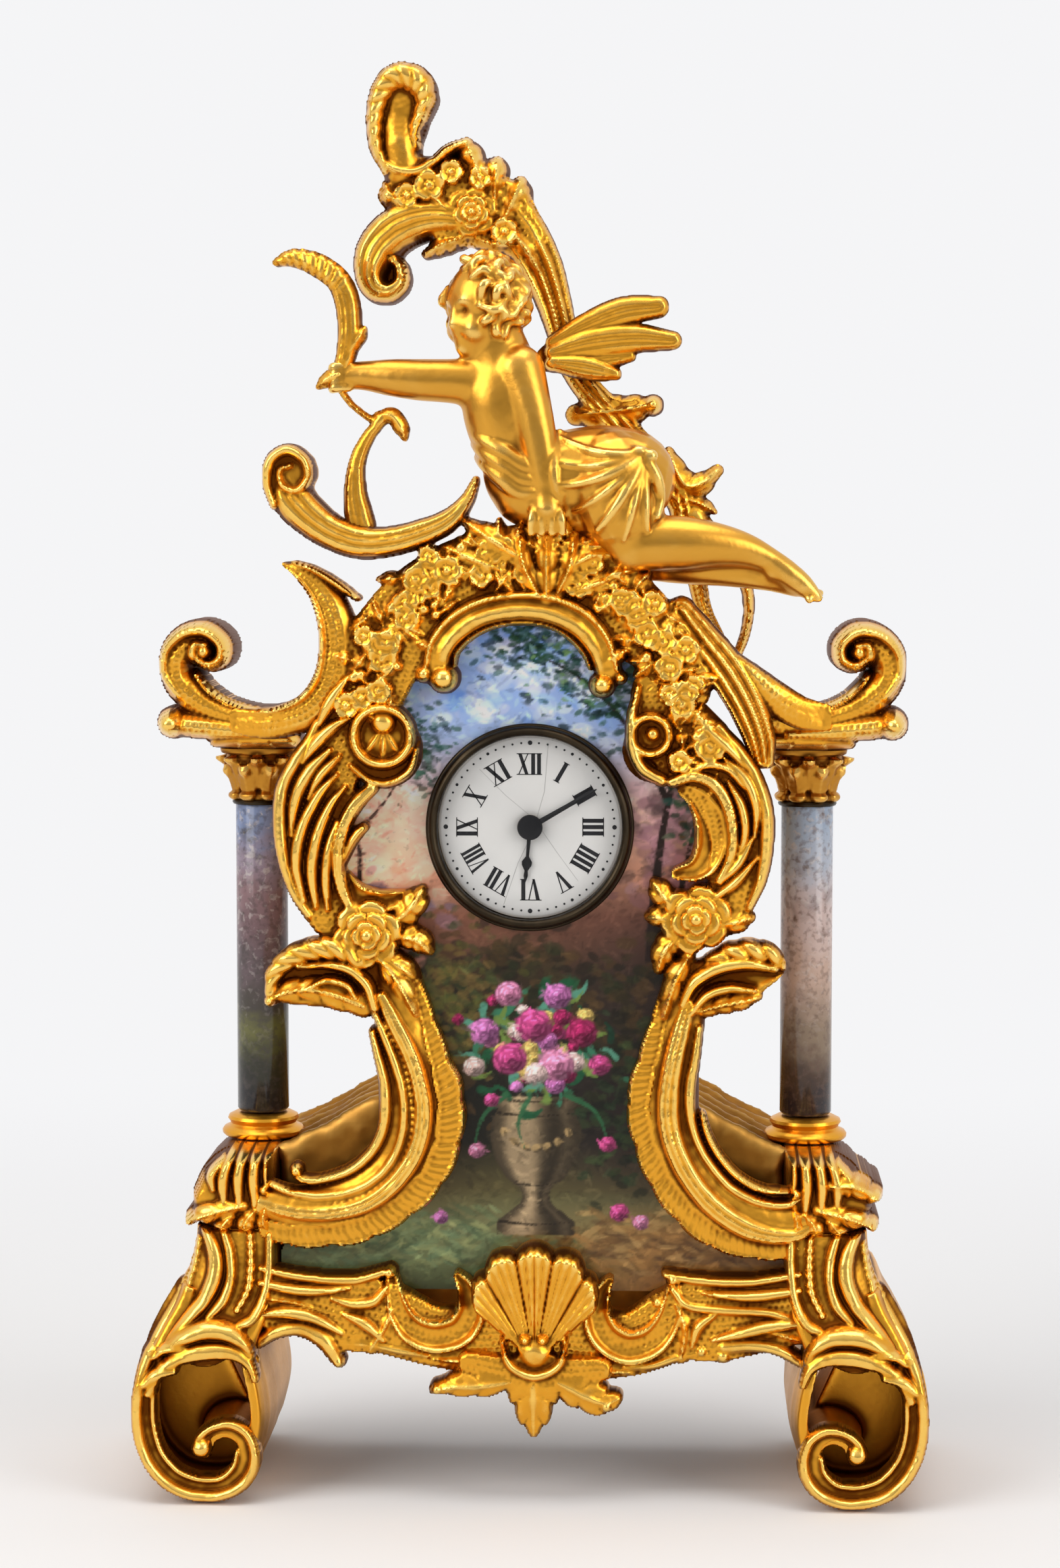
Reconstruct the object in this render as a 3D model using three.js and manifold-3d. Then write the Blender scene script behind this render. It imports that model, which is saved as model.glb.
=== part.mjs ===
// Rococo table clock: gilt castings round an enamel plaque, enamel columns and a drum movement.
// Millimetres, +Z up, front towards -Y, origin on the table under the middle of the feet.
import * as THREE from "three";
import { mergeVertices } from "three/addons/utils/BufferGeometryUtils.js";
import Module from "manifold-3d";

const wasm = await Module();
wasm.setup();

// Case
const seatGap = 0.3;
const footDepth = 44;
const columnSpacing = 93;
const columnDiameter = 8.8;
const columnLength = 53.5;
const shoulderTop = 58.5;
const shoulderDepth = 22;
const columnFootHeight = 4.2;
const capitalHeight = 9.2;
const tieRodDiameter = 2.6;
const tieRodBite = 5;
const boreClearance = 0.3;
const plaqueThickness = 1.2;
const plaqueSetForward = 13.4;
const backingThickness = 1.2;
const reliefDepth = 5.5;
const apronRelief = 4.6;
const baseWall = 1.8;
const baseBack = 19;
const armDepth = 12;
const dialDrop = 3.2;

// Drum and dial
const drumDiameter = 32.8;
const bezelLap = 0.9;
const bezelLand = 2.1;
const drumWall = 0.8;
const drumDepth = 21;
const dialThickness = 0.8;
const handRoom = 1.5;
const bezelDepth = 2.9;
const minuteHandMargin = 2.1;
const hourHandShare = 0.71;
const handThickness = 0.25;
const dialBossDiameter = 3.8;

// Movement: modules and places in the train are those of a plate of trainPlateRadius, and follow the plate
const plateClearance = 0.3;
const trainPlateRadius = 15.3;
const plateThickness = 1.2;
const pillarHeight = 8.8;
const pillarDiameter = 2.2;
const arborDiameter = 0.8;
const motionRoom = 3.5;
const wheelThickness = 0.5;
const pivotClearance = 0.15;
const barrelTeeth = 36;
const centrePinionTeeth = 9;
const centreTeeth = 48;
const thirdPinionTeeth = 6;
const thirdTeeth = 45;
const fourthPinionTeeth = 6;
const fourthTeeth = 48;
const escapePinionTeeth = 6;
const escapeTeeth = 15;
const cannonTeeth = 8;
const minuteWheelTeeth = 24;
const minutePinionTeeth = 8;
const hourTeeth = 32;
const barrelModule = 0.353;
const centreModule = 0.25;
const thirdModule = 0.22;
const fourthModule = 0.19;
const cannonModule = 0.3;
const keySpan = 13;
const keyReach = 8;
const settingKnobDiameter = 6;

// Depths, front to back, each from the one before
const plaqueFront = -plaqueSetForward;
const plaqueBack = plaqueFront + plaqueThickness;
const backingFront = plaqueBack + seatGap;
const backingBack = backingFront + backingThickness;
const baseFront = backingBack + seatGap;
const castBack = plaqueFront - seatGap;
const frameCrown = castBack - reliefDepth;

// The castings are drawn once, on a sheet with these column places, and the sheet is
// stretched beside the dial and below it when the columns are moved or made longer.
const sheetHalfSpacing = 46.5;
const sheetColumnFoot = 62.7;
const sheetColumnLength = 53.5;
const sheetStillHalf = 20;
const sheetStretchTop = 92;
const halfSpacing = columnSpacing / 2;
const columnFoot = shoulderTop + columnFootHeight;
const columnHead = columnFoot + columnLength;
const rise = columnHead - sheetColumnFoot - sheetColumnLength;

function across(x) {
  const far = Math.abs(x) - sheetStillHalf;
  if (far <= 0) return x;
  const share = (halfSpacing - sheetStillHalf) / (sheetHalfSpacing - sheetStillHalf);
  return Math.sign(x) * (sheetStillHalf + far * share);
}

function up(z) {
  const share = (z - sheetColumnFoot) / (sheetStretchTop - sheetColumnFoot);
  return z + rise * THREE.MathUtils.clamp(share, 0, 1);
}

function drawn(points) {
  return points.map(([x, z]) => [across(x), up(z)]);
}

// Geometry helpers
function solid(geometry) {
  const bare = new THREE.BufferGeometry();
  bare.setAttribute("position", geometry.getAttribute("position"));
  if (geometry.index) bare.setIndex(geometry.index);
  const merged = mergeVertices(bare, 1e-4);
  const index = merged.index.array;
  const kept = [];
  for (let i = 0; i < index.length; i += 3) {
    const [a, b, c] = [index[i], index[i + 1], index[i + 2]];
    if (a !== b && b !== c && c !== a) kept.push(a, b, c);
  }
  return new wasm.Manifold(new wasm.Mesh({
    numProp: 3,
    vertProperties: new Float32Array(merged.attributes.position.array),
    triVerts: new Uint32Array(kept),
  }));
}

function joined(list) {
  return list.reduce((sum, item) => sum.add(item));
}

function geometryOf(body) {
  const mesh = body.getMesh();
  const geometry = new THREE.BufferGeometry();
  const step = mesh.numProp;
  const places = new Float32Array(mesh.numVert * 3);
  for (let i = 0; i < mesh.numVert; i++) {
    places.set(mesh.vertProperties.subarray(i * step, i * step + 3), i * 3);
  }
  geometry.setAttribute("position", new THREE.BufferAttribute(places, 3));
  geometry.setIndex(new THREE.BufferAttribute(new Uint32Array(mesh.triVerts), 1));
  geometry.computeVertexNormals();
  return geometry;
}

// A solid from rings of points, closed at both ends with the section's own outline
function loft(rings, outline) {
  const count = outline.length;
  const places = [];
  rings.forEach((ring) => ring.forEach((p) => places.push(p.x, p.y, p.z)));
  const faces = [];
  for (let i = 0; i + 1 < rings.length; i++) {
    for (let j = 0; j < count; j++) {
      const a = i * count + j;
      const b = i * count + ((j + 1) % count);
      faces.push(a, b, a + count, b, b + count, a + count);
    }
  }
  const last = (rings.length - 1) * count;
  THREE.ShapeUtils.triangulateShape(outline, []).forEach(([a, b, c]) => {
    faces.push(a, c, b);
    faces.push(last + a, last + b, last + c);
  });
  const geometry = new THREE.BufferGeometry();
  geometry.setAttribute("position", new THREE.Float32BufferAttribute(places, 3));
  geometry.setIndex(faces);
  const made = solid(geometry);
  if (made.volume() > 0) return made;
  geometry.setIndex(faces.reverse());
  return solid(geometry);
}

function along(values, t) {
  if (!Array.isArray(values)) return values;
  const place = t * (values.length - 1);
  const i = Math.min(Math.floor(place), values.length - 2);
  return THREE.MathUtils.lerp(values[i], values[i + 1], place - i);
}

// A cast scroll: a band along a drawn line, flat behind, with two ridges and a cove in front.
// A leaf is the same with one midrib, and a strip has a flat front.
function scroll({ line, half, crown = frameCrown, back = castBack, fine = 1.05, grow = 0,
  form = "cove" }) {
  const curve = new THREE.CatmullRomCurve3(line.map(([x, z]) => new THREE.Vector3(x, 0, z)), false,
    "centripetal");
  const steps = Math.max(3, Math.round((line.length - 1) * fine));
  const rings = [];
  let outline = null;
  for (let i = 0; i <= steps; i++) {
    const t = i / steps;
    const centre = curve.getPoint(t);
    const heading = curve.getTangent(t);
    if (i === 0) centre.addScaledVector(heading, -grow);
    if (i === steps) centre.addScaledVector(heading, grow);
    const side = new THREE.Vector3(-heading.z, 0, heading.x);
    const h = along(half, t) + grow;
    const front = along(crown, t) - grow;
    const rear = along(back, t) + grow;
    const cove = THREE.MathUtils.lerp(rear, front, 0.72);
    const section = {
      cove: [[-h, rear], [-0.7 * h, front], [0, cove], [0.7 * h, front], [h, rear]],
      leaf: [[-h, rear], [0, front], [h, rear]],
      strip: [[-h, rear], [-h, front], [h, front], [h, rear]],
    }[form];
    if (!outline) outline = section.map(([s, y]) => new THREE.Vector2(s, y));
    rings.push(section.map(([s, y]) => new THREE.Vector3(centre.x + side.x * s, y,
      centre.z + side.z * s)));
  }
  return loft(rings, outline);
}

function spiral(x, z, startRadius, endRadius, startAngle, turns, count = 9) {
  const points = [];
  for (let i = 0; i <= count; i++) {
    const t = i / count;
    const angle = THREE.MathUtils.degToRad(startAngle + 360 * turns * t);
    const radius = THREE.MathUtils.lerp(startRadius, endRadius, Math.sqrt(t));
    points.push([x + radius * Math.cos(angle), z + radius * Math.sin(angle)]);
  }
  return points;
}

function circle(radius, sides = 24, turn = 0) {
  const points = [];
  for (let i = 0; i < sides; i++) {
    const angle = turn + (2 * Math.PI * i) / sides;
    points.push([radius * Math.cos(angle), radius * Math.sin(angle)]);
  }
  return points;
}

function moved(points, x, z) {
  return points.map(([a, b]) => [a + x, b + z]);
}

// A symmetrical outline from its right half
function bothSides(half) {
  const left = half.filter(([x]) => x > 0).reverse().map(([x, z]) => [-x, z]);
  return [...half, ...left];
}

function smooth(points, count) {
  const curve = new THREE.CatmullRomCurve3(points.map(([x, z]) => new THREE.Vector3(x, 0, z)), true,
    "centripetal");
  return curve.getSpacedPoints(count).slice(0, count).map((p) => [p.x, p.z]);
}

// A flat outline in the front plane, extruded between two depths, with optional holes
function plate(outline, front, back, holes = []) {
  const shape = new THREE.Shape(outline.map(([x, z]) => new THREE.Vector2(x, z)));
  holes.forEach((hole) => shape.holes.push(new THREE.Path(hole.map(([x, z]) => new THREE.Vector2(x,
    z)))));
  const geometry = new THREE.ExtrudeGeometry(shape, { depth: back - front, bevelEnabled: false,
    steps: 1 });
  geometry.rotateX(Math.PI / 2);
  geometry.translate(0, back, 0);
  return solid(geometry);
}

// An outline in the side plane, extruded across the clock
function sidePlate(outline, left, right) {
  const shape = new THREE.Shape(outline.map(([y, z]) => new THREE.Vector2(y, z)));
  const geometry = new THREE.ExtrudeGeometry(shape, { depth: right - left, bevelEnabled: false,
    steps: 1 });
  const turn = new THREE.Matrix4().makeBasis(
    new THREE.Vector3(0, 1, 0), new THREE.Vector3(0, 0, 1), new THREE.Vector3(1, 0, 0));
  geometry.applyMatrix4(turn);
  geometry.translate(left, 0, 0);
  return solid(geometry);
}

// Turned pieces: profile points are [radius, place along the axis]
function turnedUpright(profile, sides = 24) {
  const geometry = new THREE.LatheGeometry(profile.map(([r, z]) => new THREE.Vector2(r, z)), sides);
  geometry.rotateX(Math.PI / 2);
  return outward(geometry);
}

function turnedAcross(profile, sides = 32) {
  return outward(new THREE.LatheGeometry(profile.map(([r, y]) => new THREE.Vector2(r, y)), sides));
}

function outward(geometry) {
  const made = solid(geometry);
  if (made.volume() > 0) return made;
  const index = Array.from(geometry.index.array).reverse();
  geometry.setIndex(index);
  return solid(geometry);
}

function rod(radius, front, back, sides = 10, x = 0, z = 0) {
  const geometry = new THREE.CylinderGeometry(radius, radius, back - front, sides);
  geometry.translate(x, (front + back) / 2, z);
  return solid(geometry);
}

function post(radius, bottom, top, x = 0, y = 0, sides = 8) {
  const geometry = new THREE.CylinderGeometry(radius, radius, top - bottom, sides);
  geometry.rotateX(Math.PI / 2);
  geometry.translate(x, y, (bottom + top) / 2);
  return solid(geometry);
}

function block(x0, x1, y0, y1, z0, z1) {
  const geometry = new THREE.BoxGeometry(x1 - x0, y1 - y0, z1 - z0);
  geometry.translate((x0 + x1) / 2, (y0 + y1) / 2, (z0 + z1) / 2);
  return solid(geometry);
}

function ball(x, y, z, rx, ry, rz, grow = 0, wide = 8, tall = 5) {
  const geometry = new THREE.SphereGeometry(1, wide, tall);
  geometry.scale(rx + grow, ry + grow, rz + grow);
  geometry.translate(x, y, z);
  return solid(geometry);
}

// A rounded limb through [x, y, z, radius] places
function limb(places, grow = 0, sides = 6) {
  const curve = new THREE.CatmullRomCurve3(places.map((p) => new THREE.Vector3(p[0], p[1], p[2])),
    false, "centripetal");
  const steps = places.length - 1;
  const frames = curve.computeFrenetFrames(steps, false);
  const radii = places.map((p) => p[3] + grow);
  const outline = circle(1, sides).map(([a, b]) => new THREE.Vector2(a, b));
  const ringAt = (centre, i, radius) => outline.map((p) => new THREE.Vector3()
    .addScaledVector(frames.normals[i], p.x * radius)
    .addScaledVector(frames.binormals[i], p.y * radius)
    .add(centre));
  const rings = [];
  const start = curve.getPointAt(0).addScaledVector(frames.tangents[0], -radii[0] * 0.6);
  rings.push(ringAt(start, 0, radii[0] * 0.55));
  for (let i = 0; i <= steps; i++) {
    rings.push(ringAt(curve.getPoint(i / steps), i, along(radii, i / steps)));
  }
  const tip = radii[radii.length - 1];
  const end = curve.getPointAt(1).addScaledVector(frames.tangents[steps], tip * 0.6);
  rings.push(ringAt(end, steps, tip * 0.55));
  return loft(rings, outline);
}

const clock = new THREE.Group();
clock.name = "enamel_table_clock";

const finishes = {
  gilt: { color: 0xe0a030, metalness: 1, roughness: 0.35 },
  figure: { color: 0xc98a35, metalness: 1, roughness: 0.4 },
  brass: { color: 0xc9a24a, metalness: 1, roughness: 0.4 },
  steel: { color: 0x9aa0a6, metalness: 1, roughness: 0.35 },
  blued: { color: 0x14141c, metalness: 0.4, roughness: 0.45 },
  enamel: { color: 0x7f9fc0, metalness: 0, roughness: 0.2 },
  white: { color: 0xf2efe6, metalness: 0, roughness: 0.2 },
  glass: { color: 0xffffff, metalness: 0, roughness: 0.05, transparent: true, opacity: 0.25 },
};

function add(group, name, body, finish) {
  const mesh = new THREE.Mesh(geometryOf(body), new THREE.MeshStandardMaterial(finishes[finish]));
  mesh.name = name;
  group.add(mesh);
  return mesh;
}

// Scroll feet: a hollow rolled foot under a curved leg, drawn for the left and mirrored
const footSheet = [[-57.5, 46.2], [-55.4, 42.5], [-56.2, 37], [-60, 31.5], [-64.3, 24.5], [-66.5, 16],
  [-65.6, 8.5], [-61.8, 2.6], [-55.5, -0.6], [-48.6, 0.6], [-45.2, 5], [-44, 11], [-44.2, 18],
    [-46.3, 24.5],
  [-45, 28.5], [-44, 33], [-43.6, 43.4], [-50, 44.6]];
const pocketSheet = [[-64.3, 14], [-62.6, 6.5], [-57, 2.2], [-50, 2.8], [-46.6, 8], [-46.8, 15],
  [-49.6, 21.5], [-55, 24.5], [-61, 22]];
const curlSheet = [[-46, 6.5], [-46, 10.4], [-49.4, 13.4], [-53.6, 12.4], [-55.4, 9], [-53.2, 6.8],
  [-51.4, 8.4]];
const pocketDepth = 15;

function mirrored(points, side) {
  return side < 0 ? points : points.map(([x, z]) => [-x, z]);
}

function footBody(side) {
  const half = footDepth / 2;
  const waist = half - 5.5;
  const outer = drawn(mirrored(footSheet, side));
  const pocket = smooth(drawn(mirrored(pocketSheet, side)), 12);
  const profile = [[-half, 0], [half, 0], [half, 21], [waist + 1, 34], [waist, 48], [-waist, 48],
    [-waist - 1, 34], [-half, 21]];
  let body = plate(smooth(outer, 28), -half, half).intersect(sidePlate(profile, -80, 80));
  body = body.subtract(plate(pocket, -half - 1, -half + pocketDepth));
  body = body.subtract(plate(pocket, half - pocketDepth, half + 1));
  const line = drawn(mirrored(curlSheet, side));
  return body.add(scroll({ line, half: [1, 0.8, 0.6], form: "strip", crown: -half + 0.3,
    back: half - 0.3 }));
}

// Leafy shoulder blocks over the legs, flat on top for the columns
function shoulderBody(side, grow = 0) {
  const sheet = [[-58.6, 50], [-57.6, 47.6], [-54.5, 46.5], [-46, 46.5], [-43.4, 47.5],
    [-43.4, shoulderTop],
    [-53, shoulderTop], [-55.5, 55.5], [-58, 54]];
  const outline = drawn(mirrored(sheet, side));
  const front = castBack + seatGap;
  let body = plate(outline, front - grow, front + shoulderDepth + grow);
  const leaf = [[-57.2, 52], [-53, 55], [-48.5, 53], [-46, 49]];
  body = body.add(scroll({ form: "leaf", line: drawn(mirrored(leaf, side)), half: [0.7, 1.9, 1.9, 1],
    crown: front - 0.2,
    back: front + 2 }));
  return body;
}

// Apron with the two rolled scrolls, and the shell mount in front of its middle
const apronSheet = [[-43.2, 36.5], [-43.2, 30], [-42, 27.2], [-38.5, 27.4], [-34.5, 25.4],
  [-31.6, 21.8],
  [-29, 25.4], [-22, 24.6], [-16, 24], [-10, 22.5], [0, 21.5], [10, 22], [16, 23], [24, 24.4],
    [29, 25.2],
  [32.4, 22.6], [36, 24.2], [40, 25.5], [43, 28], [43.2, 36.5], [30, 36.2], [22, 34], [16, 33.4],
    [10, 37],
  [0, 39], [-10, 37.6], [-17, 35.2], [-24, 36.6], [-33, 37.4]];
const apronCrown = castBack - apronRelief;

function apronBody() {
  const base = castBack - 2;
  const parts = [plate(drawn(apronSheet), base, castBack)];
  for (const side of [-1, 1]) {
    const curl = [[-42, 31.8], [-36, 32.4], [-30, 29.8], [-24, 27.4], [-18, 26.6],
      ...spiral(-16.6, 32.6, 5.6, 2, -70, 0.95, 8)];
    parts.push(scroll({ line: drawn(mirrored(curl, side)), half: [1.2, 2.4, 2.2, 1.9, 1.6, 1.5, 1.3,
      1.1], crown: apronCrown,
      back: base + 1 }));
    const drop = [[-38, 29], [-34, 27.6], [-31.6, 23]];
    parts.push(scroll({ form: "leaf", line: drawn(mirrored(drop, side)), half: [1, 1.9, 0.5],
      crown: apronCrown + 1, back: base + 1 }));
  }
  return joined(parts);
}

function shellBody() {
  const back = apronCrown - seatGap;
  const ribs = 7;
  const x = across(1);
  const z = up(26.5);
  const reach = 16.5;
  const rings = [];
  for (let i = 0; i <= 2 * ribs; i++) {
    const angle = THREE.MathUtils.degToRad(20 + (140 * i) / (2 * ribs));
    const ridge = i % 2;
    const far = reach * (ridge ? 1 : 0.93) * (1 - 0.24 * Math.abs(Math.cos(angle)));
    const at = (r, y) => new THREE.Vector3(x + r * Math.cos(angle), y, z + r * Math.sin(angle));
    rings.push([at(1.2, back), at(1.2, back - 1.4), at(far * 0.45, back - (ridge ? 1.9 : 1.2)),
      at(far * 0.8, back - (ridge ? 1.6 : 0.9)), at(far, back - 0.8), at(far, back)]);
  }
  const outline = [[1.2, 0], [1.2, -1.4], [7, -1.9], [13, -1.6], [16, -0.8],
    [16, 0]].map(([a, b]) => new THREE.Vector2(a, b));
  const parts = [loft(rings, outline)];
  parts.push(scroll({ form: "leaf", line: drawn([[1, 29], [1, 24], [1, 18], [1, 11.5]]),
    half: [2.6, 3.2, 2.4, 0.4], crown: back - 1.8, back }));
  parts.push(scroll({ form: "leaf", line: drawn([[2, 26], [-4, 24], [-10, 23.4], [-15.5, 19.6]]),
    half: [1.6, 2.6, 2.1, 0.4],
    crown: back - 1.6, back }));
  parts.push(scroll({ form: "leaf", line: drawn([[0, 26], [6, 23.4], [11, 21], [14.5, 16.2]]),
    half: [1.6, 2.6, 2.1, 0.4],
    crown: back - 1.6, back }));
  return joined(parts);
}

// Base: a hollow cast body, open below, with hollow-curved shoulders
function baseBody() {
  const side = 42.6;
  const rim = 29;
  const slope = [[side, 57.8], [38, 59.4], [33, 62], [28, 65], [24, 66.2]];
  const right = slope.concat([[0, 66.6]]);
  const left = slope.slice().reverse().map(([x, z]) => [-x, z]);
  const outer = drawn([[-side, rim], [side, rim], ...right, ...left]);
  const inset = (x, z) => [x - Math.sign(x) * baseWall, z - baseWall];
  const innerSlope = [...right, ...left].map(([x, z]) => inset(x, z));
  const inner = drawn([[-side + baseWall, rim - 1], [side - baseWall, rim - 1], ...innerSlope]);
  const body = plate(outer, baseFront, baseBack);
  return body.subtract(plate(inner, baseFront + baseWall, baseBack - baseWall));
}

// Flowers: petals round a raised eye
function rosette(x, z, radius, back, crown, petals = 6) {
  const petal = (size) => {
    const points = [];
    for (let i = 0; i < petals * 2; i++) {
      const angle = (Math.PI * i) / petals;
      const swell = i % 2 ? 0.8 : 1;
      points.push([x + size * swell * Math.cos(angle), z + size * swell * Math.sin(angle)]);
    }
    return points;
  };
  const parts = [plate(petal(radius), crown + 0.9, back)];
  parts.push(ball(x, crown + 0.8, z, radius * 0.5, 1.3, radius * 0.5, 0, 7, 5));
  return joined(parts);
}

// Frames beside the plaque: a large C-scroll below, shell leaf and rosette between,
// and a C-scroll with a volute above
function leftFrameBody(grow = 0) {
  const parts = [];
  parts.push(scroll({ line: drawn([[-26, 87], [-21.6, 80], [-18, 71.5], [-18.4, 62], [-23, 54.4],
    [-31, 48.6], [-39, 47.4], [-45.4, 50]]),
    half: [3.4, 5, 6.2, 6.2, 5.6, 5.2, 4.2, 2.4], grow }));
  parts.push(scroll({ form: "leaf", line: drawn([[-30.5, 52], [-36, 52.4], [-39.4, 53.8], [-39.6, 56]]),
    half: [1.2, 1.7, 1.3, 0.8], grow,
    crown: frameCrown + 1 }));
  parts.push(scroll({ form: "leaf", line: drawn([[-43, 83.8], [-39.5, 88], [-34, 89.6], [-28, 88],
    [-24, 84]]), half: [0.5, 2.6, 4, 4.2, 2.6], grow }));
  parts.push(scroll({ line: drawn([[-27, 91], [-32.6, 97], [-37.6, 104.5], [-39, 113], [-36.8, 121],
    [-31, 127]]),
    half: [2.6, 3, 3, 3.4, 3.2, 2.4], grow }));
  parts.push(scroll({ line: drawn([[-24, 99.8], [-29.5, 101], [-33, 106], [-33.4, 112.5],
    [-29.5, 118.6], [-25.5, 121.4], ...spiral(-24.6, 128.2, 5.6, 2, -40, 0.9, 8)]),
    half: [0.8, 1.5, 2.4, 2.6, 2.4, 1.9, 1.6, 1.5, 1.3, 1.1], grow }));
  parts.push(scroll({ form: "leaf", line: drawn([[-32, 105], [-35.4, 113], [-32.5, 121], [-28, 126]]),
    half: 2.6, crown: frameCrown + 2, grow }));
  if (!grow) parts.push(rosette(across(-26.6), up(95.2), 5.2, castBack, frameCrown - 0.8));
  parts.push(scroll({ form: "leaf", line: drawn([[-26, 95], [-20, 95.4], [-16.6, 96.5]]),
    half: [3.4, 3, 0.5], grow }));
  return joined(parts);
}

function rightFrameBody(grow = 0) {
  const parts = [];
  parts.push(scroll({ line: drawn([[26.4, 88], [24.4, 80], [21.8, 71], [22, 63], [25.4, 55.4],
    [31, 49.8], [38, 46.4], [45.4, 46.8]]),
    half: [3.4, 4.4, 5.3, 5.4, 5.4, 5.4, 4.4, 2.4], grow }));
  parts.push(scroll({ form: "leaf", line: drawn([[33, 51], [38.6, 49.6], [43, 50.4], [44.6, 53]]),
    half: [1.2, 1.7, 1.4, 0.8], grow,
    crown: frameCrown + 1 }));
  parts.push(scroll({ form: "leaf", line: drawn([[42, 89.6], [37, 89.8], [32, 88], [26, 85]]),
    half: [0.5, 3.2, 4.2, 3], grow }));
  parts.push(scroll({ form: "leaf", line: drawn([[37.6, 83.6], [34, 84], [29.5, 84.6]]),
    half: [0.5, 2, 2.2], crown: frameCrown + 1, grow }));
  parts.push(scroll({ line: drawn([[27.4, 91], [33, 98], [37.6, 106], [37.6, 113.5], [36.2, 121],
    [33.6, 128]]),
    half: [2.6, 3, 3, 3, 3.2, 3], grow }));
  parts.push(scroll({ line: drawn([[21.5, 102.8], [27.5, 104], [32.6, 108], [33, 114], [27.6, 119.8],
    [22, 121.6], ...spiral(20.8, 127.8, 4.8, 1.8, -100, -0.9, 8)]),
    half: [0.8, 1.5, 2, 2.2, 2, 1.7, 1.5, 1.3, 1.2, 1], grow }));
  parts.push(scroll({ form: "leaf", line: drawn([[31.5, 105], [35.4, 113], [32.4, 121], [28, 127]]),
    half: 2.8, crown: frameCrown + 2, grow }));
  if (!grow) parts.push(rosette(across(28), up(97.8), 5.4, castBack, frameCrown - 0.8));
  parts.push(scroll({ form: "leaf", line: drawn([[28, 97.8], [22.6, 98.4], [19, 97.6]]),
    half: [3.4, 2.8, 0.5], grow }));
  return joined(parts);
}

// Arms on the capitals: rolled brackets that reach to the arch
const armJoin = 39.2;

function armBody(side, grow = 0) {
  const front = -armDepth + 2;
  const line = [[-38.6, 130.6], [-43, 130.2], [-49, 131], [-55, 132.6], ...spiral(-55.2, 140.6, 7, 2.6,
    -112, -0.9, 9)];
  const places = drawn(mirrored(line, side));
  const parts = [scroll({ line: places, half: [3, 3.4, 3.2, 2.8, 2.4, 2.2, 2, 1.8, 1.5, 1.2],
    crown: front - 2.4,
    back: front + armDepth, grow })];
  const leaf = drawn(mirrored([[-46, 129.8], [-53, 128.6], [-58, 129], [-62, 130.6]], side));
  parts.push(scroll({ form: "leaf", line: leaf, half: [1.4, 2.2, 1.8, 0.4], crown: front - 2,
    back: front + armDepth - 1, grow }));
  const pad = up(125.9) + seatGap;
  const x = side * halfSpacing;
  parts.push(block(x - 6.4, x + 6.4, front + 0.6, 6.2, pad, pad + 3.2));
  return joined(parts);
}

function trimmedArm(side) {
  const join = across(side * armJoin);
  const wide = 80;
  const keep = side < 0 ? block(-wide, join, -40, 40, 110, 170 + rise) : block(join, wide, -40, 40, 110,
    170 + rise);
  let body = armBody(side).intersect(keep);
  body = body.subtract(post(tieRodDiameter / 2 + boreClearance, 100,
    columnHead + capitalHeight + tieRodBite, side * halfSpacing));
  return body;
}

// Arch over the dial: moulded inner hoop, garland band, outer leaves and the scroll under the bow
function archBody(grow = 0) {
  const parts = [];
  const seam = 131.6;
  parts.push(scroll({ line: drawn([...spiral(-13, 138.4, 1.2, 2.6, 60, -0.7, 5).reverse(),
    [-15.2, 142.4], [-11.6, 146.6], [-6, 149],
    [0, 149.8], [6, 148.6], [10.4, 145.4], [13.2, 141], [12.8, 137.4]]),
      half: [0.8, 1, 1.5, 1.6, 1.6, 1.6, 1.4, 0.9], grow }));
  parts.push(scroll({ line: drawn([[-30, 130], [-27.6, 138], [-23, 146], [-16, 152], [-6, 155.4],
    [4, 156], [13, 152.6], [21, 146.4],
    [28, 139.6], [34.4, 130]]), half: [3.4, 4, 4.8, 5.2, 5, 5, 5, 4.8, 4.2, 3.6], grow }));
  parts.push(scroll({ form: "leaf", line: drawn([[-40.6, 157], [-35.5, 154.4], [-31.6, 149],
    [-32.4, 141], [-36.4, 133.4], [-39, 130.4]]),
    half: [0.5, 2, 3, 3, 2.6, 2.2], grow }));
  parts.push(scroll({ form: "leaf", line: drawn([[-20, 149], [-26, 147], [-30, 143], [-31, 137]]),
    half: [2, 4, 4, 3], crown: frameCrown + 2, grow }));
  parts.push(scroll({ form: "leaf", line: drawn([[33, 143], [35.6, 138.6], [39, 134], [39.6, 130]]),
    half: [0.8, 2.2, 3, 3], grow }));
  parts.push(scroll({ line: drawn([[-13, 157.4], [-20, 159.4], [-28, 160.4], [-34.6, 162.8],
    [-39.4, 166.6], ...spiral(-39.4, 171, 3.8, 1.4, -100, -0.8, 7)]),
    half: [3, 2.6, 2.4, 2.3, 2.2, 1.8, 1.5, 1.2, 1], crown: frameCrown + 1.5, grow }));
  parts.push(scroll({ form: "leaf", line: drawn([[-20, 157.4], [-13, 161], [-9.4, 167], [-9.6, 172]]),
    half: [2.2, 3.2, 2.4, 0.6], crown: frameCrown + 1.5,
    back: castBack + 3, grow }));
  parts.push(rosette(across(2), up(156.4), 6.6, castBack - 1, frameCrown - 1.4, 7));
  const wide = 80;
  const shelf = block(-wide, wide, -40, 20, up(seam), 260);
  const betweenArms = block(across(-armJoin) + seatGap, across(armJoin) - seatGap, -40, 20, 100,
    up(150));
  const aboveArms = block(-wide, wide, -40, 20, up(150) - 0.01, 260);
  return joined(parts).intersect(shelf).intersect(betweenArms.add(aboveArms));
}

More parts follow.
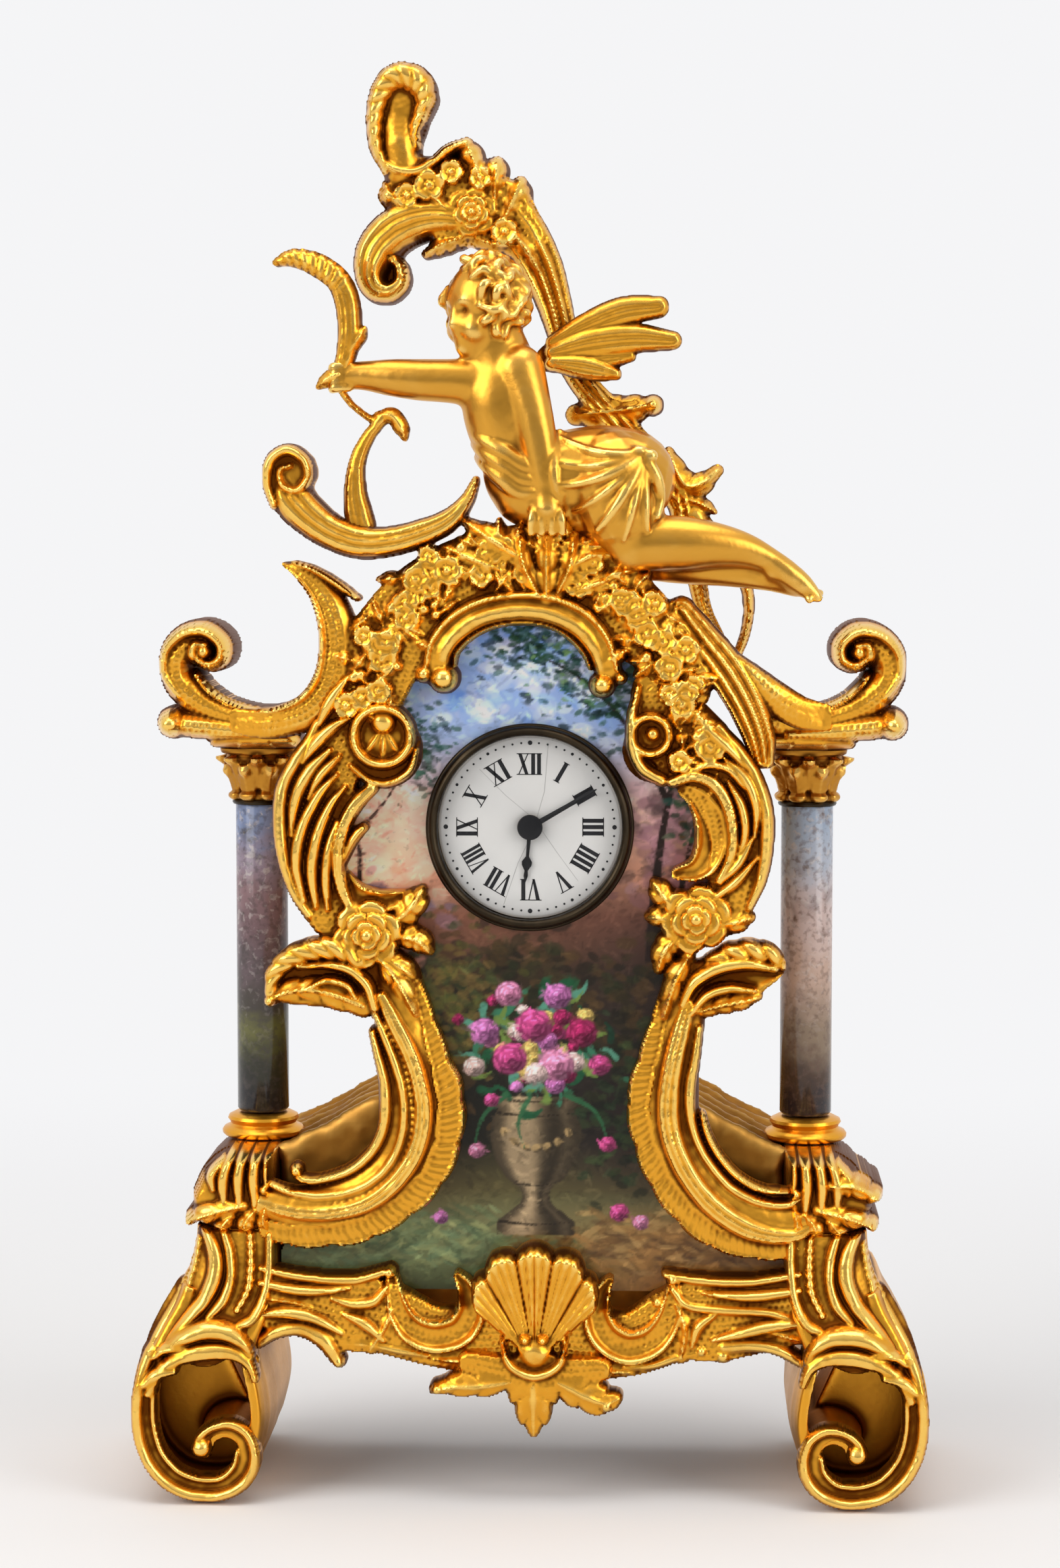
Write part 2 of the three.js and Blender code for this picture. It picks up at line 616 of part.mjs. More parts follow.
// Crest behind the figure: a long stem from the arch, bent over at the top into rolled scrolls
function crestBody(grow = 0) {
  const parts = [];
  const rear = -3;
  const plainFront = -7.6;
  const footFront = castBack + seatGap;
  parts.push(scroll({ line: drawn([[32.6, 136], [35.6, 146], [33.4, 156], [28, 166], [19.5, 175],
    [11, 184], [7, 193], [4.6, 203], [-0.6, 212.4],
    [-9, 218.6], [-18, 221], [-22, 226], [-25.4, 230.4], ...spiral(-21.4, 233.4, 5, 2, 190, -0.84, 7)]),
    half: [1.5, 1.4, 2, 2.6, 3, 3, 2.8, 3, 4, 5.6, 5, 3.4, 2.6, 2.2, 2, 1.8, 1.6, 1.2],
    crown: [footFront, footFront, -11, -9, plainFront, plainFront, plainFront, plainFront], back: rear,
      grow }));
  parts.push(scroll({ line: drawn([[-8, 215], [-17, 214.6], ...spiral(-24.4, 206.6, 5.4, 1.8, 60, 0.8,
    8)]),
    half: [2.8, 2.4, 1.9, 1.7, 1.4, 1.1], crown: plainFront + 0.6, back: rear, grow }));
  parts.push(scroll({ form: "leaf", line: drawn([[-4, 211], [-3, 216], [0, 220.6]]),
    half: [2.4, 2.6, 0.5], crown: plainFront - 1, back: rear, grow }));
  parts.push(scroll({ form: "leaf", line: drawn([[-12, 214], [-12.6, 220], [-7.4, 226]]),
    half: [2.6, 3.2, 0.5], crown: plainFront - 1.4, back: rear, grow }));
  parts.push(scroll({ form: "leaf", line: drawn([[-9, 221], [-13, 224.4], [-16.6, 225.4]]),
    half: [2.4, 1.6, 0.5], crown: plainFront + 1, back: rear, grow }));
  parts.push(scroll({ form: "leaf", line: drawn([[8, 180], [14, 182], [20.6, 184.4]]),
    half: [2.4, 2.4, 0.5], crown: plainFront + 1, back: rear, grow }));
  parts.push(scroll({ form: "leaf", line: drawn([[24, 169], [28, 171.4], [31.6, 175]]),
    half: [2, 1.8, 0.5], crown: plainFront + 1, back: rear, grow }));
  parts.push(scroll({ form: "leaf", line: drawn([[28, 163.6], [29.6, 152], [33.4, 141.5]]),
    half: [1.8, 1.3, 1], crown: plainFront - 1, back: rear, grow }));
  return joined(parts);
}

// Winged figure: kneels on the arch, one arm held out to the bow
const figureY = -14.2;

function figureBody(grow = 0) {
  const at = (x, y, z, r) => [across(x), figureY + y, up(z), r];
  const oval = (x, y, z, rx, ry, rz) => ball(across(x), figureY + y, up(z), rx, ry, rz, grow);
  return joined([
    oval(-8, -0.8, 201, 6.6, 6, 7.6),
    oval(-4, 1, 206, 5.8, 5.4, 5.4),
    limb([at(-4.6, 0.4, 196, 3.2), at(-4.2, 0.6, 190, 3.6)], grow),
    limb([at(-4.6, 0, 188, 4.4), at(-5, -0.4, 182.4, 6), at(-2.8, -0.6, 175.4, 5.8), at(4, 0, 170.4,
      5.8), at(12, 0.2, 171.6, 6.2)], grow),
    limb([at(-6, -1, 187.4, 3.8), at(-13, -1.4, 187.2, 3.4), at(-20, -1.2, 186.6, 2.9), at(-27.4, -0.6,
      187.4, 2.1), at(-31, -0.4, 187.8, 3.5)], grow),
    limb([at(-1.6, -2.2, 186.6, 3.6), at(1.4, -4.4, 178.6, 2.9), at(3, -5, 170.4, 2.1), at(3.2, -5,
      165.8, 2.5)], grow),
    oval(14, 0.8, 173, 6.8, 5.6, 5.6),
    limb([at(13.6, -1.6, 170.6, 5.6), at(17, -2.2, 163.6, 5.2), at(18.4, -2, 159.4, 4.4)], grow),
    limb([at(18.4, -2, 159.6, 4.2), at(27, -1.4, 159, 3.7), at(36, -0.8, 157.6, 3.1), at(42.6, -0.4,
      155.2, 2.2), at(47, -0.4, 151.4, 1.5)], grow),
    limb([at(16.6, 2.8, 163, 4.6), at(26, 2.4, 157, 3), at(38, 1.8, 154.6, 2)], grow),
  ]);
}

function wingBody(feathers) {
  const parts = feathers.map(({ line, y }) => scroll({ form: "leaf", line: drawn(line), half: [1.2, 2.2,
    2.2, 0.5], crown: y - 1.4, back: y + 0.6 }));
  return joined(parts);
}

function bowBody(grow = 0) {
  const mid = figureY - 0.4;
  const parts = [];
  parts.push(scroll({ line: drawn([[-41.6, 205.8], [-36.4, 207.2], [-31, 204.6], [-29.6, 198],
    [-30.8, 191], [-31.4, 186], [-28.6, 181.6], [-26, 178.4], [-28.6, 174.6],
    [-29.4, 170], [-27.6, 164.6]]), half: [0.5, 1.6, 2, 1.9, 1.4, 1.1, 1, 1.1, 1.2, 1.5, 2.3],
      crown: mid - 1.4, back: mid + 1.4, grow, form: "strip" }));
  parts.push(scroll({ line: drawn([[-28, 178], [-24.6, 178.6], [-21, 178.4]]), half: [0.8, 1.4, 0.5],
    crown: mid - 1.4, back: mid + 1.4, form: "strip", grow }));
  return joined(parts);
}

// Enamel plaque and the brass backing behind it, both pierced for the drum
const plaqueSheet = [[-41.6, 36], [-42, 41.4], [-38, 45.4], [-30, 48], [-23, 54], [-18.6, 62],
  [-18.2, 71], [-21, 79.6], [-24.4, 86.6],
  [-26, 93], [-31, 98.6], [-35.6, 105.4], [-36, 114], [-32, 122], [-26, 130], [-21.6, 138],
    [-16.4, 145.6], [-8, 150.4], [0, 151.6],
  [7, 150.2], [14.6, 145.4], [20.6, 138], [25.6, 130], [31.6, 122], [35.4, 114], [35.2, 105.6],
    [31, 99.4], [26.6, 93], [25, 86.6], [23, 79],
  [21.6, 70.6], [22, 62], [25.4, 54.6], [31, 49], [38, 44.6], [42, 41.4], [41.6, 36], [22, 34.8],
    [0, 34.4], [-22, 34.8]];

function clearance(radius) {
  return radius + seatGap;
}

const dialHeight = columnHead - dialDrop;
const drumHole = clearance(drumDiameter / 2);

const frames = { left: leftFrameBody(), right: rightFrameBody() };
const frameRoom = leftFrameBody(seatGap).add(rightFrameBody(seatGap));

for (const [word, side] of [["left", -1], ["right", 1]]) {
  const x = side * halfSpacing;
  const rodHole = (bottom, top) => post(tieRodDiameter / 2 + boreClearance, bottom, top, x);
  const rodBottom = 46.5 - tieRodBite;
  const foot = footBody(side).subtract(frameRoom).subtract(rodHole(rodBottom - seatGap, 60));
  add(clock, `${word}_foot`, foot, "gilt");
  const shoulder = shoulderBody(side).subtract(foot.translate([0, 0, seatGap])).subtract(rodHole(30,
    70));
  add(clock, `${word}_shoulder`, shoulder.subtract(frameRoom), "gilt");
  const bore = tieRodDiameter / 2 + boreClearance;
  const ringRadius = columnDiameter / 2 + 2.6;
  const base = shoulderTop + seatGap;
  const ring = turnedUpright([[bore, base], [ringRadius - 0.6, base], [ringRadius, base + 0.8],
    [ringRadius - 1.4, base + 1.8],
    [ringRadius - 1.8, columnFoot], [bore, columnFoot], [bore, base]], 12);
  add(clock, `${word}_column_foot`, ring.translate([x, 0, 0]), "gilt");
  const shaftFoot = columnFoot + seatGap;
  const radius = columnDiameter / 2;
  const shaft = turnedUpright([[bore, shaftFoot], [radius, shaftFoot], [radius, columnHead - seatGap],
    [bore, columnHead - seatGap], [bore, shaftFoot]], 20);
  add(clock, `${word}_column`, shaft.translate([x, 0, 0]), "enamel");
  const capTop = columnHead + capitalHeight;
  const capital = turnedUpright([[bore, columnHead], [radius + 1.1, columnHead],
    [radius + 1.1, columnHead + 0.8], [radius + 0.3, columnHead + 1.4],
    [radius + 0.8, columnHead + 4], [radius + 3.1, columnHead + 6.6], [radius + 2.7, capTop],
    [bore, capTop], [bore, columnHead]], 12);
  add(clock, `${word}_capital`, capital.translate([x, 0, 0]), "gilt");
  const rodTop = capTop + tieRodBite - seatGap;
  add(clock, `${word}_tie_rod`, post(tieRodDiameter / 2, rodBottom, rodTop, x), "steel");
  add(clock, `${word}_arm`, trimmedArm(side).subtract(frameRoom), "gilt");
}

add(clock, "base_casting", baseBody(), "gilt");
const apron = apronBody().subtract(frameRoom);
add(clock, "front_apron", apron, "gilt");
add(clock, "shell_mount", shellBody(), "gilt");
const seamRoom = block(-80, 80, -40, 20, up(131.3), 300);
add(clock, "left_frame", frames.left.subtract(seamRoom), "gilt");
add(clock, "right_frame", frames.right.subtract(seamRoom), "gilt");

const figure = figureBody().subtract(bowBody(seatGap));
const figureRoom = figureBody(seatGap);
const arch = archBody().subtract(figureRoom);
add(clock, "arch_casting", arch, "gilt");
const crest = crestBody().subtract(figureRoom);
add(clock, "crest", crest, "gilt");
add(clock, "winged_figure", figure, "figure");
const wings = wingBody([
  { line: [[3.6, 190.6], [9, 194], [16, 197], [23, 199]], y: -9.4 },
  { line: [[3.6, 189.6], [10, 191.4], [18, 192.6], [25, 193.5]], y: -9.8 },
  { line: [[3.4, 188.6], [7, 188.8], [11, 189], [15.4, 188.6]], y: -10.2 },
]);
const crestRoom = crestBody(seatGap);
add(clock, "wings", wings.subtract(figureRoom).subtract(crestRoom), "figure");
add(clock, "bow", bowBody().subtract(archBody(seatGap)), "gilt");

const plaqueOutline = smooth(drawn(plaqueSheet), 44);
const drumCut = moved(circle(drumHole, 24), 0, dialHeight);
add(clock, "enamel_plaque", plate(plaqueOutline, plaqueFront, plaqueBack, [drumCut]), "enamel");
const backingOutline = smooth(drawn(plaqueSheet.map(([x, z]) => [x * 0.97, z])), 32);
add(clock, "backing_plate", plate(backingOutline, backingFront, backingBack, [drumCut]), "brass");

// Drum movement, built about its own axis and set at the dial height
const drum = new THREE.Group();
drum.name = "drum_movement";
drum.position.set(0, 0, dialHeight);
clock.add(drum);

const drumRadius = drumDiameter / 2;
const drumBore = drumRadius - drumWall;
const bezelRadius = drumRadius + bezelLap;
const dialFront = plaqueFront - seatGap;
const dialBack = dialFront + dialThickness;
const dialRadius = drumBore - 0.3;
const glassBack = dialFront - handRoom;
const drumFront = dialFront;
const drumBack = drumFront + drumDepth;
const bezelFront = drumFront - bezelDepth;

add(drum, "bezel", turnedAcross([[drumBore, castBack - seatGap], [bezelRadius, castBack - seatGap],
  [bezelRadius, bezelFront + 1.4],
  [bezelRadius - 1.3, bezelFront], [bezelRadius - bezelLand, glassBack], [drumBore, glassBack],
    [drumBore, castBack - seatGap]], 26), "gilt");
const glassRadius = bezelRadius - bezelLand - pivotClearance;
add(drum, "glass", turnedAcross([[0, glassBack - 0.1], [glassRadius, glassBack + 0.1],
  [glassRadius, glassBack - 0.5], [glassRadius * 0.6, glassBack - 0.9], [0, glassBack - 1.1]], 24),
  "glass");

const plateRadius = drumBore - plateClearance;
const trainScale = plateRadius / trainPlateRadius;
const scaled = (points) => points.map(([x, z]) => [x * trainScale, z * trainScale]);
const pipeHole = 2;
add(drum, "dial", plate(circle(dialRadius, 28), dialFront, dialBack, [circle(pipeHole, 10)]), "white");

const frontPlateFront = dialBack + motionRoom;
const frontPlateBack = frontPlateFront + plateThickness;
const backPlateFront = frontPlateBack + pillarHeight;
const backPlateBack = backPlateFront + plateThickness;

// Train places, each from the one before: a wheel and the pinion it drives share a module
const polar = (from, distance, degrees) => {
  const angle = THREE.MathUtils.degToRad(degrees);
  return { x: from.x + distance * Math.cos(angle), z: from.z + distance * Math.sin(angle), angle };
};
const meshDistance = (module, a, b) => (trainScale * module * (a + b)) / 2;
const centreAt = { x: 0, z: 0 };
const barrelAt = polar(centreAt, meshDistance(barrelModule, barrelTeeth, centrePinionTeeth), 225);
const thirdAt = polar(centreAt, meshDistance(centreModule, centreTeeth, thirdPinionTeeth), 60);
const toothRise = 0.55;
const toothRoot = 1.2;
const fastTrainGap = 0.1;
const fastOpening = 2 * toothRise * thirdModule * trainScale + fastTrainGap;
const fastDistance = meshDistance(thirdModule, thirdTeeth, fourthPinionTeeth) + fastOpening;
const fourthAt = polar(thirdAt, fastDistance, -20);
const escapeAt = polar(fourthAt, meshDistance(fourthModule, fourthTeeth, escapePinionTeeth), -100);
const palletDistance = 3.9 * trainScale;
const balanceDistance = 4 * trainScale;
const palletAt = polar(escapeAt, palletDistance, -110);
const balanceAt = polar(palletAt, balanceDistance, -122);
const cannonDistance = meshDistance(cannonModule, cannonTeeth, minuteWheelTeeth);
const hourModule = (2 * cannonDistance) / (minutePinionTeeth + hourTeeth) / trainScale;
const motionAt = polar(centreAt, cannonDistance, 100);

// Turn of a driven gear's first tooth so that it stands in a gap of its driver
function phase(driverTurn, driverTeeth, drivenTeeth, angle) {
  const pitch = 2 * Math.PI;
  const share = ((angle - driverTurn) * driverTeeth) / pitch;
  return angle + Math.PI - ((0.5 - share) * pitch) / drivenTeeth;
}

function gear(teeth, module, turn = 0) {
  const points = [];
  const size = module * trainScale;
  const tipRadius = (teeth * size) / 2 + toothRise * size;
  const rootRadius = (teeth * size) / 2 - toothRoot * size;
  for (let i = 0; i < teeth; i++) {
    const tip = turn + (2 * Math.PI * i) / teeth;
    const gap = tip + Math.PI / teeth;
    points.push([tipRadius * Math.cos(tip), tipRadius * Math.sin(tip)]);
    points.push([rootRadius * Math.cos(gap), rootRadius * Math.sin(gap)]);
  }
  return points;
}

const pivotHole = arborDiameter / 2 + pivotClearance;
const arborFront = frontPlateFront + 0.2;
const arborBack = backPlateBack - 0.2;
const holeAt = (place, radius) => moved(circle(radius / Math.cos(Math.PI / 6), 6), place.x, place.z);
const arborPlaces = [thirdAt, fourthAt, escapeAt, palletAt];
const barrelArborRadius = 1.2;
const centreArborRadius = 0.7;

function plateWithHoles(front, back) {
  const holes = arborPlaces.map((place) => holeAt(place, pivotHole));
  holes.push(holeAt(balanceAt, pivotHole));
  holes.push(holeAt(barrelAt, barrelArborRadius + pivotClearance));
  holes.push(holeAt(centreAt, centreArborRadius + pivotClearance));
  return plate(circle(plateRadius, 20), front, back, holes);
}

const pillarRing = plateRadius - pillarDiameter / 2 - 0.3;
const pillarAngles = [70, 170, 290];
const pillarPlate = pillarAngles.reduce((sum, degrees) => {
  const place = polar(centreAt, pillarRing, degrees);
  return sum.add(rod(pillarDiameter / 2, frontPlateBack - 0.4, backPlateFront - seatGap, 8, place.x,
    place.z));
}, plateWithHoles(frontPlateFront, frontPlateBack).add(rod(0.5, frontPlateFront - 2.6,
  frontPlateFront + 0.4, 10, motionAt.x, motionAt.z)));
add(drum, "pillar_plate", pillarPlate, "brass");

// Gears: layers run back from the front plate
const layer = (offset, thickness = wheelThickness) => [frontPlateBack + offset,
  frontPlateBack + offset + thickness];
const barrelLayer = layer(0.3, 0.8);
const barrelTop = frontPlateBack + 6.2;
const thirdLayer = layer(2.6);
const fourthLayer = layer(4.6);
const escapeLayer = layer(5.8, 0.4);
const centreLayer = layer(7.2);

const barrelTurn = 0;
const centrePinionTurn = phase(barrelTurn, barrelTeeth, centrePinionTeeth, barrelAt.angle + Math.PI);
const barrelRadius = (barrelTeeth * barrelModule * trainScale) / 2 - 0.5;
const barrel = plate(gear(barrelTeeth, barrelModule, barrelTurn), ...barrelLayer)
  .add(rod(barrelRadius, barrelLayer[1] - 0.1, barrelTop, 18))
  .subtract(rod(barrelArborRadius + pivotClearance, barrelLayer[0] - 1, barrelTop + 1, 12));
const barrelGroup = new THREE.Group();
barrelGroup.position.set(barrelAt.x, 0, barrelAt.z);
drum.add(barrelGroup);
add(barrelGroup, "mainspring_barrel", barrel, "brass");

const ratchetTeeth = 12;
const ratchetRadius = 2.6 * trainScale;
const ratchetOutline = [];
for (let i = 0; i < ratchetTeeth; i++) {
  const angle = (2 * Math.PI * i) / ratchetTeeth;
  const next = (2 * Math.PI * (i + 0.9)) / ratchetTeeth;
  ratchetOutline.push([ratchetRadius * Math.cos(angle), ratchetRadius * Math.sin(angle)]);
  ratchetOutline.push([ratchetRadius * 0.8 * Math.cos(next), ratchetRadius * 0.8 * Math.sin(next)]);
}
const ratchetFront = backPlateBack + 0.3;
const capFront = drumBack + seatGap;
const capThickness = 1;
const capBack = capFront + capThickness;
const keyFront = capBack + 2.8;
const barrelArbor = rod(barrelArborRadius, frontPlateFront + 0.2, keyFront + 2.6, 8)
  .add(plate(ratchetOutline, ratchetFront, ratchetFront + 0.7));
add(barrelGroup, "barrel_arbor", barrelArbor, "steel");

const keyBore = barrelArborRadius + 0.2;
const keyBack = keyFront + keyReach;
const keyWing = smooth([[-1.6, keyFront + 2], [-keySpan / 2, keyFront + 3], [-keySpan / 2, keyBack - 1],
  [-1.6, keyBack - 1.6], [1.6, keyBack - 1.6], [keySpan / 2, keyBack - 1],
  [keySpan / 2, keyFront + 3], [1.6, keyFront + 2]], 16);
const keyBlade = new THREE.ExtrudeGeometry(new THREE.Shape(keyWing.map(([a, b]) => new THREE.Vector2(a,
  b))), { depth: 1.6, bevelEnabled: false, steps: 1 });
keyBlade.translate(0, 0, -0.8);
const key = rod(keyBore + 1, keyFront, keyFront + 4.4, 10).add(solid(keyBlade))
  .subtract(rod(keyBore, keyFront - 1, keyFront + 2.8, 10));
add(barrelGroup, "winding_key", key, "brass");

const clickAt = polar(barrelAt, ratchetRadius + 2 * trainScale, 200);
const clickPost = rod(0.36, backPlateBack - 0.3, ratchetFront + 0.9, 7, clickAt.x, clickAt.z);
add(drum, "back_plate", plateWithHoles(backPlateFront, backPlateBack).add(clickPost), "brass");
const clickGroup = new THREE.Group();
clickGroup.position.set(clickAt.x, 0, clickAt.z);
drum.add(clickGroup);
const click = rod(0.9, ratchetFront, ratchetFront + 0.7, 12)
  .add(plate(scaled([[-0.6, -0.5], [3.1, -1.3], [3.2, -0.9], [0.3, 0.6]]), ratchetFront,
    ratchetFront + 0.7))
  .subtract(rod(0.5, ratchetFront - 1, ratchetFront + 2, 10));
add(clickGroup, "click", click, "steel");

const setFront = capBack + 0.5;
const thirdPinionTurn = phase(0, centreTeeth, thirdPinionTeeth, thirdAt.angle);
const cannonFront = frontPlateFront - 0.4;
const centreBore = rod(centreArborRadius + pivotClearance, barrelLayer[0] - 2, centreLayer[1] + 2, 8);
const centre = rod(centreArborRadius + 0.5, barrelLayer[0], centreLayer[1], 8)
  .add(plate(gear(centreTeeth, centreModule), ...centreLayer))
  .add(plate(gear(centrePinionTeeth, barrelModule, centrePinionTurn), barrelLayer[0] - 0.1,
    barrelLayer[1] + 0.3));
add(drum, "centre_wheel", centre.subtract(centreBore), "brass");
add(drum, "centre_arbor", rod(centreArborRadius, dialFront - 0.4, setFront + 1.4, 8), "steel");
const knob = turnedAcross([[centreArborRadius + 0.15, setFront], [settingKnobDiameter / 2, setFront],
  [settingKnobDiameter / 2, setFront + 1.6], [settingKnobDiameter / 2 - 0.5, setFront + 2],
  [0, setFront + 2], [0, setFront + 1.7], [centreArborRadius + 0.15, setFront + 1.7],
    [centreArborRadius + 0.15, setFront]], 12);
add(drum, "setting_knob", knob, "brass");

function arborWheel(name, place, wheel, pinion) {
  const group = new THREE.Group();
  group.position.set(place.x, 0, place.z);
  drum.add(group);
  const body = joined([rod(arborDiameter / 2 - 0.1, arborFront, arborBack, 6), wheel, pinion]);
  add(group, name, body, "brass");
}

const thirdTurn = 0;
const fourthPinionTurn = phase(thirdTurn, thirdTeeth, fourthPinionTeeth, fourthAt.angle);
const escapePinionTurn = phase(0, fourthTeeth, escapePinionTeeth, escapeAt.angle);
const tall = ([front, back]) => [front - 0.3, back + 0.3];
arborWheel("third_wheel", thirdAt, plate(gear(thirdTeeth, thirdModule, thirdTurn), ...thirdLayer),
  plate(gear(thirdPinionTeeth, centreModule, thirdPinionTurn), ...tall(centreLayer)));
arborWheel("fourth_wheel", fourthAt, plate(gear(fourthTeeth, fourthModule), ...fourthLayer),
  plate(gear(fourthPinionTeeth, thirdModule, fourthPinionTurn), ...tall(thirdLayer)));

const escapeRadius = 2.7 * trainScale;
const escapeTurn = palletAt.angle + Math.PI / escapeTeeth;
const escapeOutline = [];
for (let i = 0; i < escapeTeeth; i++) {
  const angle = escapeTurn + (2 * Math.PI * i) / escapeTeeth;
  const lean = (0.32 * 2 * Math.PI) / escapeTeeth;
  escapeOutline.push([escapeRadius * Math.cos(angle), escapeRadius * Math.sin(angle)]);
  escapeOutline.push([escapeRadius * 0.72 * Math.cos(angle + lean),
    escapeRadius * 0.72 * Math.sin(angle + lean)]);
}
arborWheel("escape_wheel", escapeAt, plate(escapeOutline, ...escapeLayer),
  plate(gear(escapePinionTeeth, fourthModule, escapePinionTurn), ...tall(fourthLayer)));

// Lever: arms towards the escape wheel and a fork towards the balance
const leverGroup = new THREE.Group();
leverGroup.position.set(palletAt.x, 0, palletAt.z);
leverGroup.rotation.y = -(palletAt.angle + Math.PI / 2);
drum.add(leverGroup);
const leverTurn = balanceAt.angle - palletAt.angle;
const forkReach = 3;
const turned = (points, angle) => points.map(([a,
  b]) => [a * Math.cos(angle) - b * Math.sin(angle), a * Math.sin(angle) + b * Math.cos(angle)]);
const leverHalf = [[0, -0.5], [0.5, -0.5], [1.8, 0.5], [2.1, 1], [1.7, 1.2], [0, 0.5]];
const leverArms = plate(scaled(bothSides(leverHalf)), ...escapeLayer);
const forkHalf = [[0, -forkReach + 0.6], [0.45, -forkReach - 0.2], [0.75, -forkReach],
  [0.3, -forkReach + 0.8], [0.3, 0]];
const fork = turned(scaled(bothSides(forkHalf)), leverTurn);
add(leverGroup, "pallet_lever", joined([rod(arborDiameter / 2 - 0.1, arborFront, arborBack, 6),
  leverArms, plate(fork, ...escapeLayer)]), "steel");

// Balance behind the back plate, with its spring and cock
const balanceGroup = new THREE.Group();
balanceGroup.position.set(balanceAt.x, 0, balanceAt.z);
drum.add(balanceGroup);
const balanceRadius = 4.2 * trainScale;
const balanceFront = backPlateBack + 0.5;
const cockFront = balanceFront + 2.6;
const balanceRim = plate(circle(balanceRadius, 18), balanceFront, balanceFront + 0.7,
  [circle(balanceRadius - 0.8, 18)]);
const balanceArm = block(-balanceRadius + 0.4, balanceRadius - 0.4, balanceFront, balanceFront + 0.5,
  -0.5, 0.5);
const staff = rod(arborDiameter / 2 - 0.1, frontPlateFront + 0.2, cockFront - 0.1, 8);
add(balanceGroup, "balance_wheel", joined([balanceRim, balanceArm, staff]), "brass");
const springTurns = 3;
const springSides = 7;
const springLine = [];
for (let i = 0; i <= springTurns * springSides; i++) {
  const angle = (-2 * Math.PI * i) / springSides;
  const radius = trainScale * THREE.MathUtils.lerp(3.2, 0.9, i / (springTurns * springSides));
  springLine.push([radius * Math.cos(angle), radius * Math.sin(angle)]);
}
add(balanceGroup, "hairspring", scroll({ line: springLine, half: 0.09, crown: balanceFront + 1.1,
  back: balanceFront + 1.7, form: "strip" }), "steel");
const cockFoot = polar({ x: 0, z: 0 }, balanceRadius + 1.3, 20);
const cockArm = turned([[-0.9, -0.9], [balanceRadius + 2.1, -1.2], [balanceRadius + 2.1, 1.2],
  [-0.9, 0.9]], cockFoot.angle);
const cock = plate(cockArm, cockFront, cockFront + 0.9).add(rod(1, backPlateBack + 0.1, cockFront + 0.2,
  10, cockFoot.x, cockFoot.z))
  .subtract(rod(arborDiameter / 2 + 0.05, cockFront - 1, cockFront + 0.3, 8));
add(balanceGroup, "balance_cock", cock, "brass");

// Motion work and hands
const cannonTurn = 0;
const minuteWheelTurn = phase(cannonTurn, cannonTeeth, minuteWheelTeeth, motionAt.angle);
const hourTurn = phase(0, minutePinionTeeth, hourTeeth, motionAt.angle + Math.PI);
const hourHandBack = dialFront - 0.35;
const hourHandFront = hourHandBack - handThickness;
const minuteHandBack = hourHandFront - 0.2;
const minuteHandFront = minuteHandBack - handThickness;
const cannonPipe = centreArborRadius + 0.15 + 0.3;
const hourPipe = cannonPipe + 0.15 + 0.4;
const cannonBody = plate(gear(cannonTeeth, cannonModule, cannonTurn), cannonFront - 0.9, cannonFront)
  .add(rod(cannonPipe, minuteHandFront + 0.05, cannonFront - 0.4, 10))
  .subtract(rod(centreArborRadius + 0.15, minuteHandFront - 1, cannonFront + 1, 10));
add(drum, "cannon_pinion", cannonBody, "steel");
const motionGroup = new THREE.Group();
motionGroup.position.set(motionAt.x, 0, motionAt.z);
drum.add(motionGroup);
const minuteWheel = plate(gear(minuteWheelTeeth, cannonModule, minuteWheelTurn), cannonFront - 0.7,
  cannonFront - 0.2)
  .add(plate(gear(minutePinionTeeth, hourModule), cannonFront - 2.2, cannonFront - 0.5))
  .subtract(rod(0.65, cannonFront - 4, cannonFront + 1, 10));
add(motionGroup, "minute_wheel", minuteWheel, "brass");
const hourWheel = plate(gear(hourTeeth, hourModule, hourTurn), cannonFront - 1.9, cannonFront - 1.4)
  .add(rod(hourPipe, hourHandFront + 0.02, cannonFront - 1.6, 10))
  .subtract(rod(cannonPipe + 0.15, hourHandFront - 1, cannonFront, 10));
add(drum, "hour_wheel", hourWheel, "brass");

const minuteDegrees = 90 - 60;
const hourDegrees = 90 - 185;
const bossRadius = dialBossDiameter / 2;

function handBody(outline, degrees, hole, front, back) {
  const swung = turned(outline, THREE.MathUtils.degToRad(degrees - 90));
  return plate(swung, front, back).add(rod(bossRadius, front, back, 12)).subtract(rod(hole, front - 1,
    back + 1, 10));
}

const minuteHandLength = dialRadius - minuteHandMargin;
const hourHandLength = minuteHandLength * hourHandShare;
const minuteTail = 3.4;
const hourHalf = [[0.5, 0], [0.42, 0.5], [1, 0.62], [1, 0.74], [0.42, 0.82], [0.2, 1]];
const hourOutline = bothSides(hourHalf.map(([x, share]) => [x, share * hourHandLength]));
const minuteOutline = bothSides([[0.5, -minuteTail], [0.45, minuteHandLength * 0.9],
  [0.2, minuteHandLength]]);
add(drum, "hour_hand", handBody(hourOutline, hourDegrees, hourPipe + 0.1, hourHandFront, hourHandBack),
  "blued");
add(drum, "minute_hand", handBody(minuteOutline, minuteDegrees, cannonPipe + 0.1, minuteHandFront,
  minuteHandBack), "blued");

